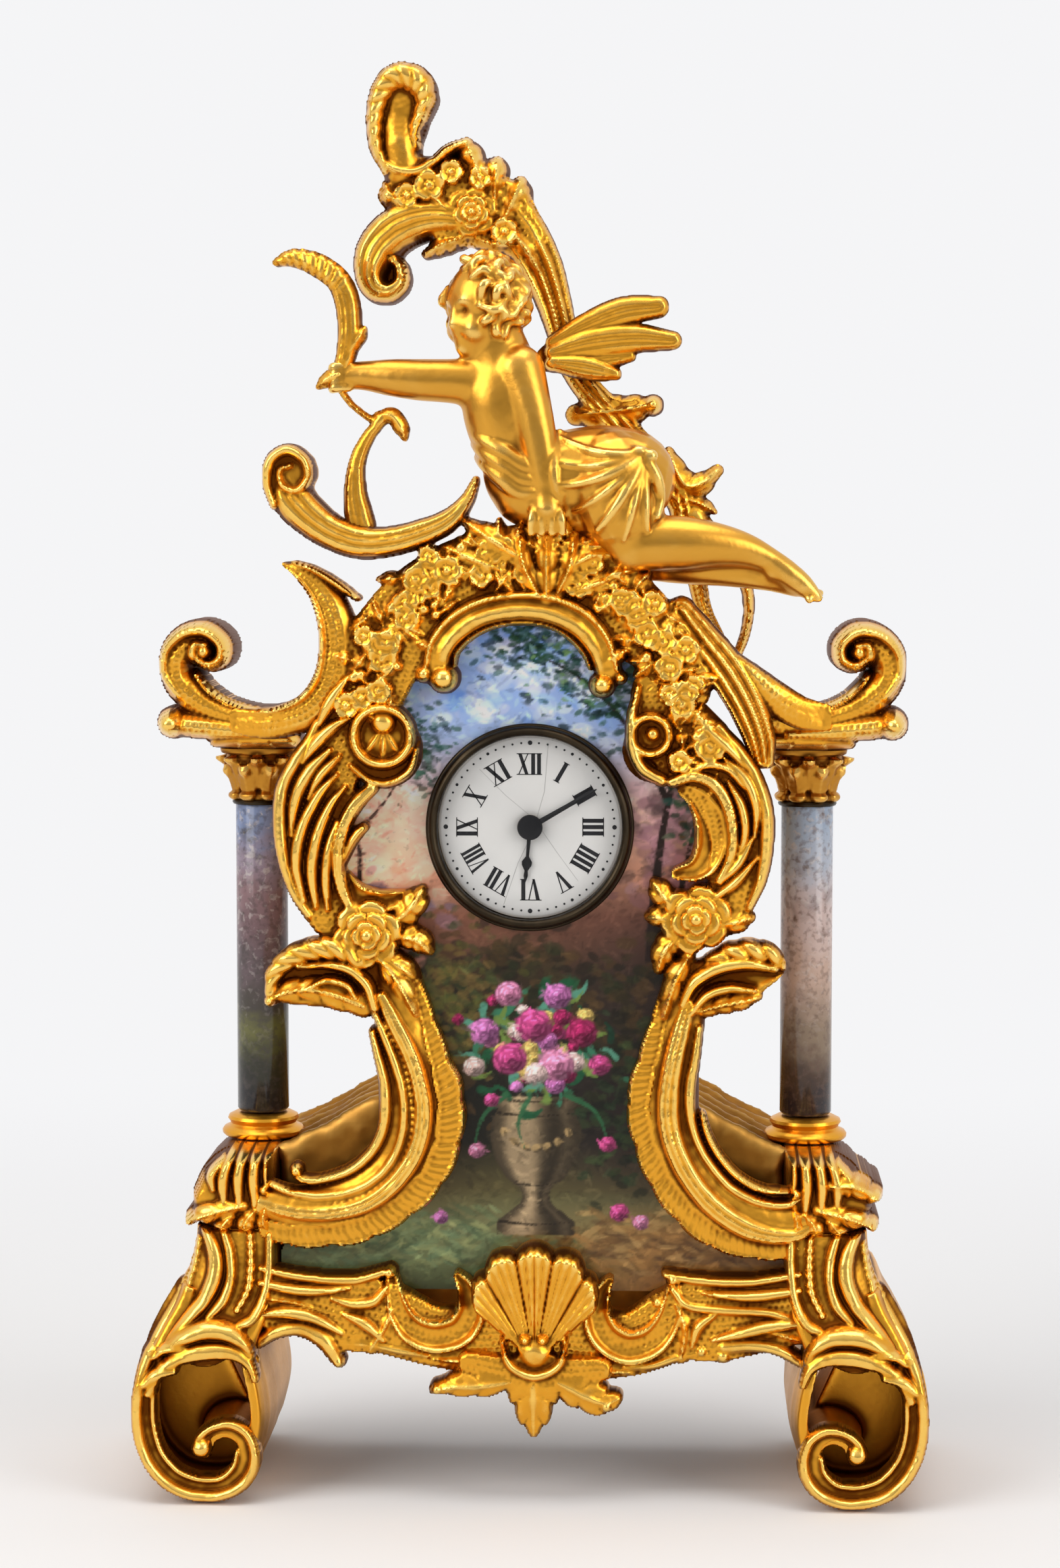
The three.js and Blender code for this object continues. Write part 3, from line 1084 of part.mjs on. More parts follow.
// Drum shell, its clamp ring behind the backing plate, and the rear cap
const drumShell = turnedAcross([[drumBore, drumFront], [drumRadius, drumFront], [drumRadius, drumBack],
  [drumBore, drumBack], [drumBore, drumFront]], 24);
add(drum, "drum_case", drumShell, "brass");
const clampRing = turnedAcross([[drumHole, backingBack + seatGap],
  [drumRadius + 2.6, backingBack + seatGap], [drumRadius + 2.6, backingBack + 2],
  [drumHole, backingBack + 2], [drumHole, backingBack + seatGap]], 20);
add(drum, "clamp_ring", clampRing, "brass");
const cap = plate(circle(drumRadius, 24), capFront, capBack, [holeAt(barrelAt, barrelArborRadius + 0.3),
  holeAt(centreAt, centreArborRadius + 0.3)]);
add(drum, "drum_cap", cap, "brass");

export default clock;
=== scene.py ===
import math
import random

import bpy
import numpy as np
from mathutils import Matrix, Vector
from mathutils.noise import fractal


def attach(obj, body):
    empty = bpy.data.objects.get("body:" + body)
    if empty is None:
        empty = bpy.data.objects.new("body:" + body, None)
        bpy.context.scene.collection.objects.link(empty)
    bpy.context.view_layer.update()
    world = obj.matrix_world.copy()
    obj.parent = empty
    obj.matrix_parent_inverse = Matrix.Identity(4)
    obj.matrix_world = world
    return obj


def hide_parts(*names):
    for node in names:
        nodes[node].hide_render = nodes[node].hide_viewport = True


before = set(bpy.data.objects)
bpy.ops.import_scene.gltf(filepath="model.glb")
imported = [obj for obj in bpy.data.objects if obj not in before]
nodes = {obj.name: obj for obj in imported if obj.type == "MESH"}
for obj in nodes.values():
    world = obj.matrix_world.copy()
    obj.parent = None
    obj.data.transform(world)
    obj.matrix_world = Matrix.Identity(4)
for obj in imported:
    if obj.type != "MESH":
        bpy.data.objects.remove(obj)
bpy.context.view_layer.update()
dice = random.Random(11)
mm = 0.001


# Shader wires: arithmetic on sockets, and one method for every other node
class Wire:
    def __init__(self, tree, socket):
        self.tree = tree
        self.socket = socket

    def add(self, kind, settings, sockets, output=0):
        node = self.tree.nodes.new(kind)
        for name, value in settings.items():
            setattr(node, name, value)
        for name, value in sockets.items():
            if isinstance(value, Wire):
                self.tree.links.new(value.socket, node.inputs[name])
            else:
                node.inputs[name].default_value = value
        return Wire(self.tree, node.outputs[output])

    def sum(self, operation, first, second):
        return self.add("ShaderNodeMath", {"operation": operation}, {0: first, 1: second})

    def __add__(self, other):
        return self.sum("ADD", self, other)

    __radd__ = __add__

    def __sub__(self, other):
        return self.sum("SUBTRACT", self, other)

    def __rsub__(self, other):
        return self.sum("SUBTRACT", other, self)

    def __mul__(self, other):
        return self.sum("MULTIPLY", self, other)

    __rmul__ = __mul__

    def clamped(self):
        return self.add("ShaderNodeClamp", {}, {0: self})

    def between(self, low, high):
        return self.add("ShaderNodeMapRange", {"interpolation_type": "SMOOTHSTEP"},
                        {"Value": self, "From Min": low, "From Max": high})

    def blend(self, first, second):
        first, second = (tone if isinstance(tone, Wire) else tone + (1,) for tone in (first, second))
        return self.add("ShaderNodeMix", {"data_type": "RGBA"}, {0: self, 6: first, 7: second}, 2)

    def into(self, shader, name):
        self.tree.links.new(self.socket, shader.inputs[name])


def newMaterial(name, constants):
    made = bpy.data.materials.new(name)
    made.use_nodes = True
    tree = made.node_tree
    shader = tree.nodes["Principled BSDF"]
    for key, value in constants.items():
        shader.inputs[key].default_value = value
    place = tree.nodes.new("ShaderNodeTexCoord").outputs["Object"]
    return made, Wire(tree, place), shader


def noise(place, scale, detail=3.0, distortion=0.0):
    return place.add("ShaderNodeTexNoise", {}, {"Vector": place, "Scale": scale, "Detail": detail,
                                               "Distortion": distortion}, "Fac")


def bump(height, strength, distance):
    return height.add("ShaderNodeBump", {}, {"Strength": strength, "Distance": distance, "Height": height})


# Gilt castings, coloured by the "hollow" attribute: red-brown in the recesses, partly dirt and partly painted
# shade; paler on the ridges, partly rubbed wear and partly painted highlight
def giltMaterial(name, ground, recessDirtAndShade, ridge, roughness, grainScale):
    made, place, shader = newMaterial(name, {"Metallic": 1.0})
    hollow = place.add("ShaderNodeAttribute", {"attribute_name": "hollow"}, {}, "Fac")
    cloud = noise(place, 45.0, 5.0, 0.6) - 0.5
    grain = noise(place, grainScale, 4.0)
    # Darker where deep: partly dirt, partly painted shade. Paler on the ridges: partly wear, partly painted
    # highlight.
    deep = (hollow + cloud * 0.4).between(0.1, 0.8)
    wornAndLit = (cloud * 0.4 - hollow).between(0.08, 0.7)
    wornAndLit.blend(deep.blend(ground, recessDirtAndShade), ridge).into(shader, "Base Color")
    rough = deep * 0.2 + (grain - 0.5) * 0.12 + roughness - wornAndLit * 0.1
    rough.clamped().into(shader, "Roughness")
    bump(grain + noise(place, grainScale * 0.28, 2.0), 0.16, 0.00018).into(shader, "Normal")
    return made


def metalMaterial(name, colour, dark, roughness, scale):
    made, place, shader = newMaterial(name, {"Metallic": 1.0})
    cloud = noise(place, scale, 5.0)
    fine = noise(place, scale * 14.0, 2.0)
    cloud.between(0.3, 0.7).blend(colour, dark).into(shader, "Base Color")
    (cloud * 0.18 + fine * 0.1 + roughness - 0.14).into(shader, "Roughness")
    bump(fine, 0.2, 0.00008).into(shader, "Normal")
    return made


# Plain finishes: two near tones in clouds, and a gloss (scale, swing, least) that wanders a little
def cloudedMaterial(name, constants, scale, first, second, gloss=None, detail=3.0, edges=None):
    made, place, shader = newMaterial(name, constants)
    cloud = noise(place, scale, detail)
    if edges:
        cloud = cloud.between(*edges)
    cloud.blend(first, second).into(shader, "Base Color")
    if gloss:
        (noise(place, gloss[0]) * gloss[1] + gloss[2]).into(shader, "Roughness")
    return made


# Tones per gilt: ground; recess, partly dirt and partly painted shade; ridge, partly wear and partly painted
# highlight
gilt = giltMaterial("gilt", (0.8, 0.37, 0.032), (0.13, 0.036, 0.003), (0.95, 0.6, 0.13), 0.3, 1500.0)
figureGilt = giltMaterial("figureGilt", (0.68, 0.33, 0.042), (0.18, 0.06, 0.006), (0.92, 0.6, 0.16), 0.31,
                          1100.0)
brownGilt = giltMaterial("brownGilt", (0.52, 0.23, 0.028), (0.13, 0.04, 0.005), (0.8, 0.45, 0.1), 0.36, 1300.0)
oldGilt = giltMaterial("oldGilt", (0.3, 0.13, 0.02), (0.13, 0.045, 0.007), (0.5, 0.26, 0.055), 0.5, 900.0)
brass = metalMaterial("brass", (0.72, 0.5, 0.19), (0.5, 0.31, 0.1), 0.34, 70.0)
steel = metalMaterial("steel", (0.5, 0.51, 0.53), (0.36, 0.36, 0.38), 0.3, 90.0)
darkBronze = metalMaterial("darkBronze", (0.045, 0.033, 0.02), (0.02, 0.015, 0.01), 0.34, 120.0)
blackSteel = cloudedMaterial("blackSteel", {"Specular IOR Level": 0.25}, 700.0, (0.006, 0.006, 0.008),
                             (0.018, 0.018, 0.02), (500.0, 0.15, 0.35))
print("materials made")


# Pieces: made, joined and finished in the same way throughout
def choose(piece):
    bpy.ops.object.select_all(action="DESELECT")
    piece.select_set(True)
    bpy.context.view_layer.objects.active = piece


def linked(name, content):
    made = bpy.data.objects.new(name, content)
    bpy.context.scene.collection.objects.link(made)
    return made


def newPiece(name, places, faces, edges=()):
    mesh = bpy.data.meshes.new(name)
    mesh.from_pydata(places, edges, faces)
    mesh.update()
    return linked(name, mesh)


def joinTo(piece, other):
    choose(piece)
    other.select_set(True)
    bpy.ops.object.join()


def turnOutward(piece):
    choose(piece)
    bpy.ops.object.mode_set(mode="EDIT")
    bpy.ops.mesh.select_all(action="SELECT")
    bpy.ops.mesh.normals_make_consistent(inside=False)
    bpy.ops.object.mode_set(mode="OBJECT")


def markHollow(piece, values):
    piece.data.attributes.new("hollow", "FLOAT", "POINT").data.foreach_set("value", values)


def finishWith(piece, material):
    piece.data.materials.clear()
    piece.data.materials.append(material)


def settle(piece, material, replaced, body="clock", angle=40):
    finishWith(piece, material)
    choose(piece)
    bpy.ops.object.shade_smooth_by_angle(angle=math.radians(angle))
    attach(piece, body)
    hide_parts(*replaced)


# Drawn lines: a spline through the rows, at equal steps where a band follows it
def smoothLine(rows, steps=8):
    rows = np.array(rows, float)
    padded = np.vstack([2 * rows[0] - rows[1], rows, 2 * rows[-1] - rows[-2]])
    t = np.linspace(0, 1, steps, endpoint=False)[:, None]
    fine = []
    for i in range(1, len(padded) - 2):
        a, b, c, d = padded[i - 1:i + 3]
        fine.append(0.5 * (2 * b + (c - a) * t + (2 * a - 5 * b + 4 * c - d) * t**2
                           + (3 * b - a - 3 * c + d) * t**3))
    return np.vstack(fine + [rows[-1:]])


def sampleLine(rows, step=0.3):
    fine = smoothLine(rows, 24)
    reach = np.r_[0, np.cumsum(np.hypot(*np.diff(fine[:, :2], axis=0).T))]
    even = np.linspace(0, reach[-1], max(8, int(reach[-1] / step)))
    return np.column_stack([np.interp(even, reach, values) for values in fine.T]), reach[-1]


def along(table, z):
    heights, values = zip(*table)
    return np.interp(z, heights, values)


def asDrawn(rows):
    return rows


def mirrored(rows):
    return [(-row[0],) + tuple(row[1:]) for row in rows]


bothSides = (("left", -1, asDrawn), ("right", 1, mirrored))


def headings(line):
    ahead = np.gradient(line, axis=0)
    return ahead / np.linalg.norm(ahead, axis=1)[:, None]


# Relief sheets: heights in mm over a grid in the front plane, built up band by band and then cast
def newSheet(left, right, low, high, step=0.24):
    x = np.arange(left, right, step)
    z = np.arange(low, high, step)
    return {"x": x, "z": z, "step": step, "h": np.zeros((len(z), len(x)))}


def windowOf(sheet, left, right, low, high):
    c0, c1 = np.searchsorted(sheet["x"], (left, right))
    r0, r1 = np.searchsorted(sheet["z"], (low, high))
    gx, gz = np.meshgrid(sheet["x"][c0:c1], sheet["z"][r0:r1])
    return (slice(r0, r1), slice(c0, c1)), gx, gz


def windowAround(sheet, x, z, reach):
    return windowOf(sheet, x - reach, x + reach, z - reach, z + reach)


def raiseTo(sheet, window, height, fillet=0.4):
    old = sheet["h"][window]
    both = (old > 0) & (height > 0)
    close = np.clip(1 - np.abs(old - height) / fillet, 0, 1)
    sheet["h"][window] = np.maximum(old, height) + both * close**2 * fillet / 4


def band(sheet, rows, section):
    line, length = sampleLine(rows)
    x, z, half, high = line.T
    half = np.maximum(half, 0.15)
    ahead = headings(line[:, :2])
    margin = half.max()
    window, gx, gz = windowOf(sheet, x.min() - margin, x.max() + margin, z.min() - margin, z.max() + margin)
    near = np.zeros(gx.shape, int)
    reach = np.zeros(gx.shape)
    for row in range(len(gx)):
        gap = ((gx[row][:, None] - x)**2 + (gz[row][:, None] - z)**2) / half**2
        near[row] = gap.argmin(1)
        reach[row] = np.sqrt(gap.min(1))
    dx = gx - x[near]
    dz = gz - z[near]
    onward = dx * ahead[near, 0] + dz * ahead[near, 1]
    lateral = dz * ahead[near, 0] - dx * ahead[near, 1]
    t = near / (len(x) - 1)
    factor = section(np.sign(lateral) * reach, t, t * length + onward, half[near])
    raiseTo(sheet, window, np.where((reach <= 1) & (factor > 0), high[near] * factor, 0))


# Sections of a band: u across it, t and s along it
def roundness(u):
    return np.sqrt(np.clip(1 - u * u, 0, 1))


def ridges(*knots):
    places, levels = zip(*knots)
    return lambda u, t, s, half: np.interp(u, places, levels)


def rounded(u, t, s, half):
    return 0.35 + 0.65 * roundness(u)


def punches(across, onward, pitch):
    row = np.floor(across / pitch)
    shifted = onward / pitch + 0.5 * (row % 2)
    chance = np.sin(np.floor(shifted) * 12.9898 + row * 78.233) * 43758.5453 % 1
    spot = ((shifted % 1) - 0.5)**2 + ((across / pitch % 1) - 0.5)**2
    return np.exp(-spot / 0.07) * (0.4 + 0.6 * chance)


def stippled(u, t, s, half):
    return 0.86 + 0.14 * roundness(u) - 0.1 * punches(u * half, s, 1.05)


def scaly(u, t, s, half):
    return (0.3 + 0.7 * roundness(u)) * (1 - 0.085 * punches(u * half, s, 1.0))


def horned(u, t, s, half):
    face = np.interp(u, (-1, -0.88, -0.7, -0.55, -0.1, 0.35, 0.7, 1),
                     (0.6, 0.98, 1, 0.84, 0.88, 0.82, 0.66, 0.45))
    return face - 0.09 * punches(u * half, s, 1.0) * (np.abs(u + 0.1) < 0.42)


cove = ridges((-1, 0.55), (-0.88, 0.98), (-0.7, 0.96), (-0.45, 0.76), (0, 0.68), (0.45, 0.76), (0.7, 0.96),
              (0.88, 0.98), (1, 0.55))
fluted = ridges((-1, 0.5), (-0.86, 0.88), (-0.62, 0.74), (-0.4, 0.98), (-0.12, 0.8), (0.14, 1), (0.4, 0.8),
                (0.64, 0.94), (0.84, 0.74), (1, 0.5))
dished = ridges((-1, 0.85), (-0.8, 0.94), (-0.4, 0.76), (0, 0.7), (0.4, 0.76), (0.8, 0.94), (1, 0.85))
lined = ridges((-1, 0.5), (-0.8, 0.84), (-0.5, 0.97), (-0.32, 0.93), (-0.1, 1), (0.12, 0.94), (0.34, 0.99),
               (0.6, 0.9), (1, 0.5))


def gadroons(pitch, lean=0.3, scallop=0.12, depth=0.16):
    def section(u, t, s, half):
        wave = np.abs(np.sin(np.pi * (s / pitch + lean * u)))
        edge = 1 - scallop * (1 - wave**0.7)
        swell = roundness(u / edge)
        return np.where(np.abs(u) <= edge, (0.62 + 0.38 * swell) * (1 - depth + depth * wave**0.6), -1)
    return section


def chasedEdge(pitch, lobe):
    def section(u, t, s, half):
        wave = np.abs(np.sin(np.pi * (s + 0.35 * u * half) / pitch))**0.7
        swell = np.abs(np.sin(np.pi * s / lobe))**0.5
        edge = 0.76 + 0.24 * swell
        across = np.abs(u) / edge
        crown = np.interp(across, (0, 0.5, 0.66, 0.86, 1), (0.86, 0.84, 0.88, 1, 0.55))
        return np.where(across <= 1, crown * (0.9 + 0.06 * swell) + 0.045 * wave * (across < 0.7), -1)
    return section


def leafy(lobes, depth=0.2, vein=0.08):
    def section(u, t, s, half):
        wave = (t * lobes - 0.5 * np.abs(u)) % 1.0
        swell = np.sin(np.pi * wave)**0.6
        edge = 1 - depth * (1 - swell)
        inner = np.abs(u) / edge
        crown = 0.46 + 0.46 * roundness(inner)
        crown = crown - vein * (1 - swell)**1.5 * np.clip(np.abs(u) * 2, 0, 1)
        return np.where(inner <= 1, crown + 0.12 * np.exp(-(u / 0.15)**2), -1)
    return section


# Stamps: single raised shapes
def lump(sheet, x, z, radius, high, lift=0.0):
    window, gx, gz = windowAround(sheet, x, z, radius)
    far = np.hypot(gx - x, gz - z) / radius
    raiseTo(sheet, window, np.where(far < 1, lift + high * roundness(far), 0))


def circle(sheet, x, z, radius, half, high):
    turns = np.linspace(0, 2 * np.pi, 25)
    band(sheet, [(x + radius * math.cos(a), z + radius * math.sin(a), half, high) for a in turns], rounded)


def flower(sheet, x, z, radius, petals, high, lift, turn=0.0):
    window, gx, gz = windowAround(sheet, x, z, radius)
    far = np.hypot(gx - x, gz - z) / radius
    wave = np.abs(np.cos(petals * (np.arctan2(gz - z, gx - x) - turn) / 2))**0.45
    edge = 0.78 + 0.22 * wave
    cup = np.clip(far / edge, 0, 1)
    petal = (0.3 + 0.6 * cup**1.4) * np.interp(cup, (0, 0.85, 1), (1, 1, 0.6)) - 0.3 * (1 - wave)
    eye = 0.5 * np.exp(-(far / 0.24)**4)
    raiseTo(sheet, window, np.where(far < edge, lift + high * np.maximum(petal + eye, 0.05), 0))


def rosette(sheet, x, z, radius, lift):
    flower(sheet, x, z, radius, 6, 1.5, lift, 0.3)
    flower(sheet, x, z, radius * 0.7, 5, 1.5, lift + 0.6, 0.95)
    flower(sheet, x, z, radius * 0.42, 4, 1.3, lift + 1.3, 0.2)
    lump(sheet, x, z, radius * 0.17, 0.9, lift + 1.9)


# Shell: lobes and fine flutes that spread from a hinge
def shellFan(sheet, x, z, openAngle, lobes):
    window, gx, gz = windowOf(sheet, *shell["grid"][:4])
    far = np.hypot(gx - x, gz - z)
    angle = np.degrees(np.arctan2(gx - x, gz - z))
    turn = lobes * (angle + openAngle) / (2 * openAngle)
    lobe = np.abs(np.sin(np.pi * turn))**0.55
    fine = np.abs(np.sin(4 * np.pi * turn))**0.7
    share = far / (along(shell["reach"], angle) * (0.93 + 0.07 * lobe))
    height = along(shell["rise"], share) - 0.75 * (1 - lobe) * np.clip(share * 1.5, 0, 1) - 0.4 * (1 - fine)
    inside = (np.abs(angle) < openAngle) & (share < 1) & (far > 3)
    raiseTo(sheet, window, np.where(inside, np.maximum(height, 0.6), 0))


# Garland: flowers, buds and leaves strewn along a line
def posy(sheet, line, count, spread, lift):
    path, _ = sampleLine([row[:2] + (0, 0) for row in line], 0.5)
    for i in range(count):
        place = path[int((i + 0.5) / count * (len(path) - 1))]
        turn = dice.uniform(0, 6.28)
        x = place[0] + dice.uniform(-spread, spread)
        z = place[1] + dice.uniform(-spread, spread)
        if i % 7 == 0:
            flower(sheet, x, z, dice.uniform(1.8, 2.6), 5, 1.5, lift + 0.3, turn)
        elif i % 7 == 1:
            lump(sheet, x, z, dice.uniform(0.7, 1.1), 1.3, lift)
        else:
            size = dice.uniform(3.0, 4.8)
            tip = (x + size * math.cos(turn), z + size * math.sin(turn), 0.4, lift + 0.5)
            middle = ((x + tip[0]) / 2, (z + tip[1]) / 2, 1.5, lift + 1.2)
            band(sheet, [(x, z, 0.9, lift + 0.6), middle, tip], leafy(2, 0.15, 0.14))


# Layers are laid in order: a section for lines, a stamp for rows of its values, a dictionary for a garland
def dress(sheet, drawing, flip):
    rightOnes = drawing.get("rightLayers", []) if flip is mirrored else []
    for layer, names in drawing["layers"] + rightOnes:
        for name in names.split():
            rows = drawing[name]
            for line in rows if isinstance(rows[0], list) else [rows]:
                if layer in (lump, circle, flower, rosette, shellFan):
                    for row in flip(line):
                        layer(sheet, *row)
                elif isinstance(layer, dict):
                    posy(sheet, flip(line), **layer)
                else:
                    band(sheet, flip(line), layer)


def blurred(field, mask, cells):
    reach = max(1, int(3 * cells))
    weights = np.exp(-0.5 * (np.arange(-reach, reach + 1) / cells)**2)
    total = field * mask
    count = mask.astype(float)
    for axis in (0, 1):
        sums = np.zeros_like(total)
        counts = np.zeros_like(count)
        for shift, weight in zip(range(-reach, reach + 1), weights):
            sums += weight * np.roll(total, shift, axis)
            counts += weight * np.roll(count, shift, axis)
        total, count = sums, counts
    return total / np.maximum(count, 1e-6)


# Hollow share: above zero in recesses, below zero on ridges; the gilt materials paint shade and highlight from
# it
def hollowOf(sheet, inside):
    h = sheet["h"]
    broad = np.clip((blurred(h, inside, 1.3 / sheet["step"]) - h) / 0.9, -1, 1)
    close = np.clip((blurred(h, inside, 0.5 / sheet["step"]) - h) / 0.22, -1, 1)
    return 0.6 * broad + 0.4 * close


# Hand chasing leaves no face quite even; the rim of a casting is rounded off towards its middle plane
def chased(sheet, inside, fine, coarse):
    rough = np.random.default_rng(7).normal(size=inside.shape)
    for cells, depth in ((0.42 / sheet["step"], fine), (1.5 / sheet["step"], coarse)):
        wave = blurred(rough, np.ones_like(inside), cells)
        sheet["h"] = np.where(inside, np.maximum(sheet["h"] + depth * wave / wave.std(), 0.005), 0)


def rimShare(inside, cells):
    core = inside
    gap = np.zeros(inside.shape)
    for k in range(int(cells) + 1):
        gap += core
        shrunk = core & np.roll(core, 1, 0) & np.roll(core, -1, 0) & np.roll(core, 1, 1) & np.roll(core, -1, 1)
        if k % 2:
            shrunk &= np.roll(np.roll(core, 1, 0), 1, 1) & np.roll(np.roll(core, -1, 0), -1, 1)
            shrunk &= np.roll(np.roll(core, 1, 0), -1, 1) & np.roll(np.roll(core, -1, 0), 1, 1)
        core = shrunk
    return np.maximum(roundness(1 - np.clip(gap / cells, 0, 1)), 0.1)


def wholeCells(inside):
    return inside[:-1, :-1] & inside[1:, :-1] & inside[:-1, 1:] & inside[1:, 1:]


def cellQuads(used, cells):
    number = np.full(used.shape, -1)
    number[used] = np.arange(int(used.sum()))
    r, c = np.nonzero(cells)
    return np.column_stack([number[r, c], number[r, c + 1], number[r + 1, c + 1], number[r + 1, c]])


def neighbourSums(values, edges):
    total = np.zeros_like(values)
    for here, there in ((0, 1), (1, 0)):
        np.add.at(total, edges[:, here], values[edges[:, there]])
    return total


# Front plane, rear plane and the share of the relief that the back repeats make a closed casting
def castPiece(name, sheet, front, rear, swell=0.0, rounding=0.9, chasing=(0.03, 0.05)):
    inside = sheet["h"] > 0
    chased(sheet, inside, *chasing)
    sheet["h"] = np.where(inside, blurred(sheet["h"], inside, 0.55), 0)
    cells = wholeCells(inside)
    used = np.zeros_like(inside)
    low, high = slice(None, -1), slice(1, None)
    for rows, columns in ((low, low), (high, low), (low, high), (high, high)):
        used[rows, columns] |= cells
    h = sheet["h"][used]
    count = len(h)
    gx, gz = np.meshgrid(sheet["x"], sheet["z"])
    flat = np.column_stack([gx[used], gz[used]])
    quads = cellQuads(used, cells)
    edges = np.vstack([quads[:, [0, 1]], quads[:, [1, 2]], quads[:, [2, 3]], quads[:, [3, 0]]])
    rim = edges[~np.isin(edges[:, 0] * count + edges[:, 1], edges[:, 1] * count + edges[:, 0])]
    plain = np.bincount(rim.ravel(), minlength=count) == 2
    for _ in range(6):  # evens out the stepped rim
        flat[plain] = 0.5 * flat[plain] + 0.25 * neighbourSums(flat, rim)[plain]
    share = rimShare(used, max(1, rounding / sheet["step"]))[used]
    front, rear = (np.broadcast_to(plane, used.shape)[used] for plane in (front, rear))
    middle = (front + rear) / 2
    depths = middle + (front - middle - h) * share, middle + (rear - middle + swell * h) * share
    places = np.vstack([np.column_stack([flat[:, 0], depth, flat[:, 1]]) for depth in depths]) * mm
    walls = np.column_stack([rim[:, 1], rim[:, 0], rim[:, 0] + count, rim[:, 1] + count])
    faces = np.vstack([quads, quads[:, ::-1] + count, walls])
    piece = newPiece(name, places.tolist(), faces.tolist())
    hollow = hollowOf(sheet, inside)[used]
    markHollow(piece, np.r_[hollow, hollow if swell else np.full(count, 0.3)])
    return piece


def dressedSheet(drawing, flip):
    left, right, *rest = drawing["grid"]
    sheet = newSheet(left, right, *rest) if flip is asDrawn else newSheet(-right, -left, *rest)
    dress(sheet, drawing, flip)
    return sheet


def castDrawing(name, node, drawing, flip=asDrawn):
    settle(castPiece(name, dressedSheet(drawing, flip), *drawing["form"]), gilt, [node])


castBack = -13.7

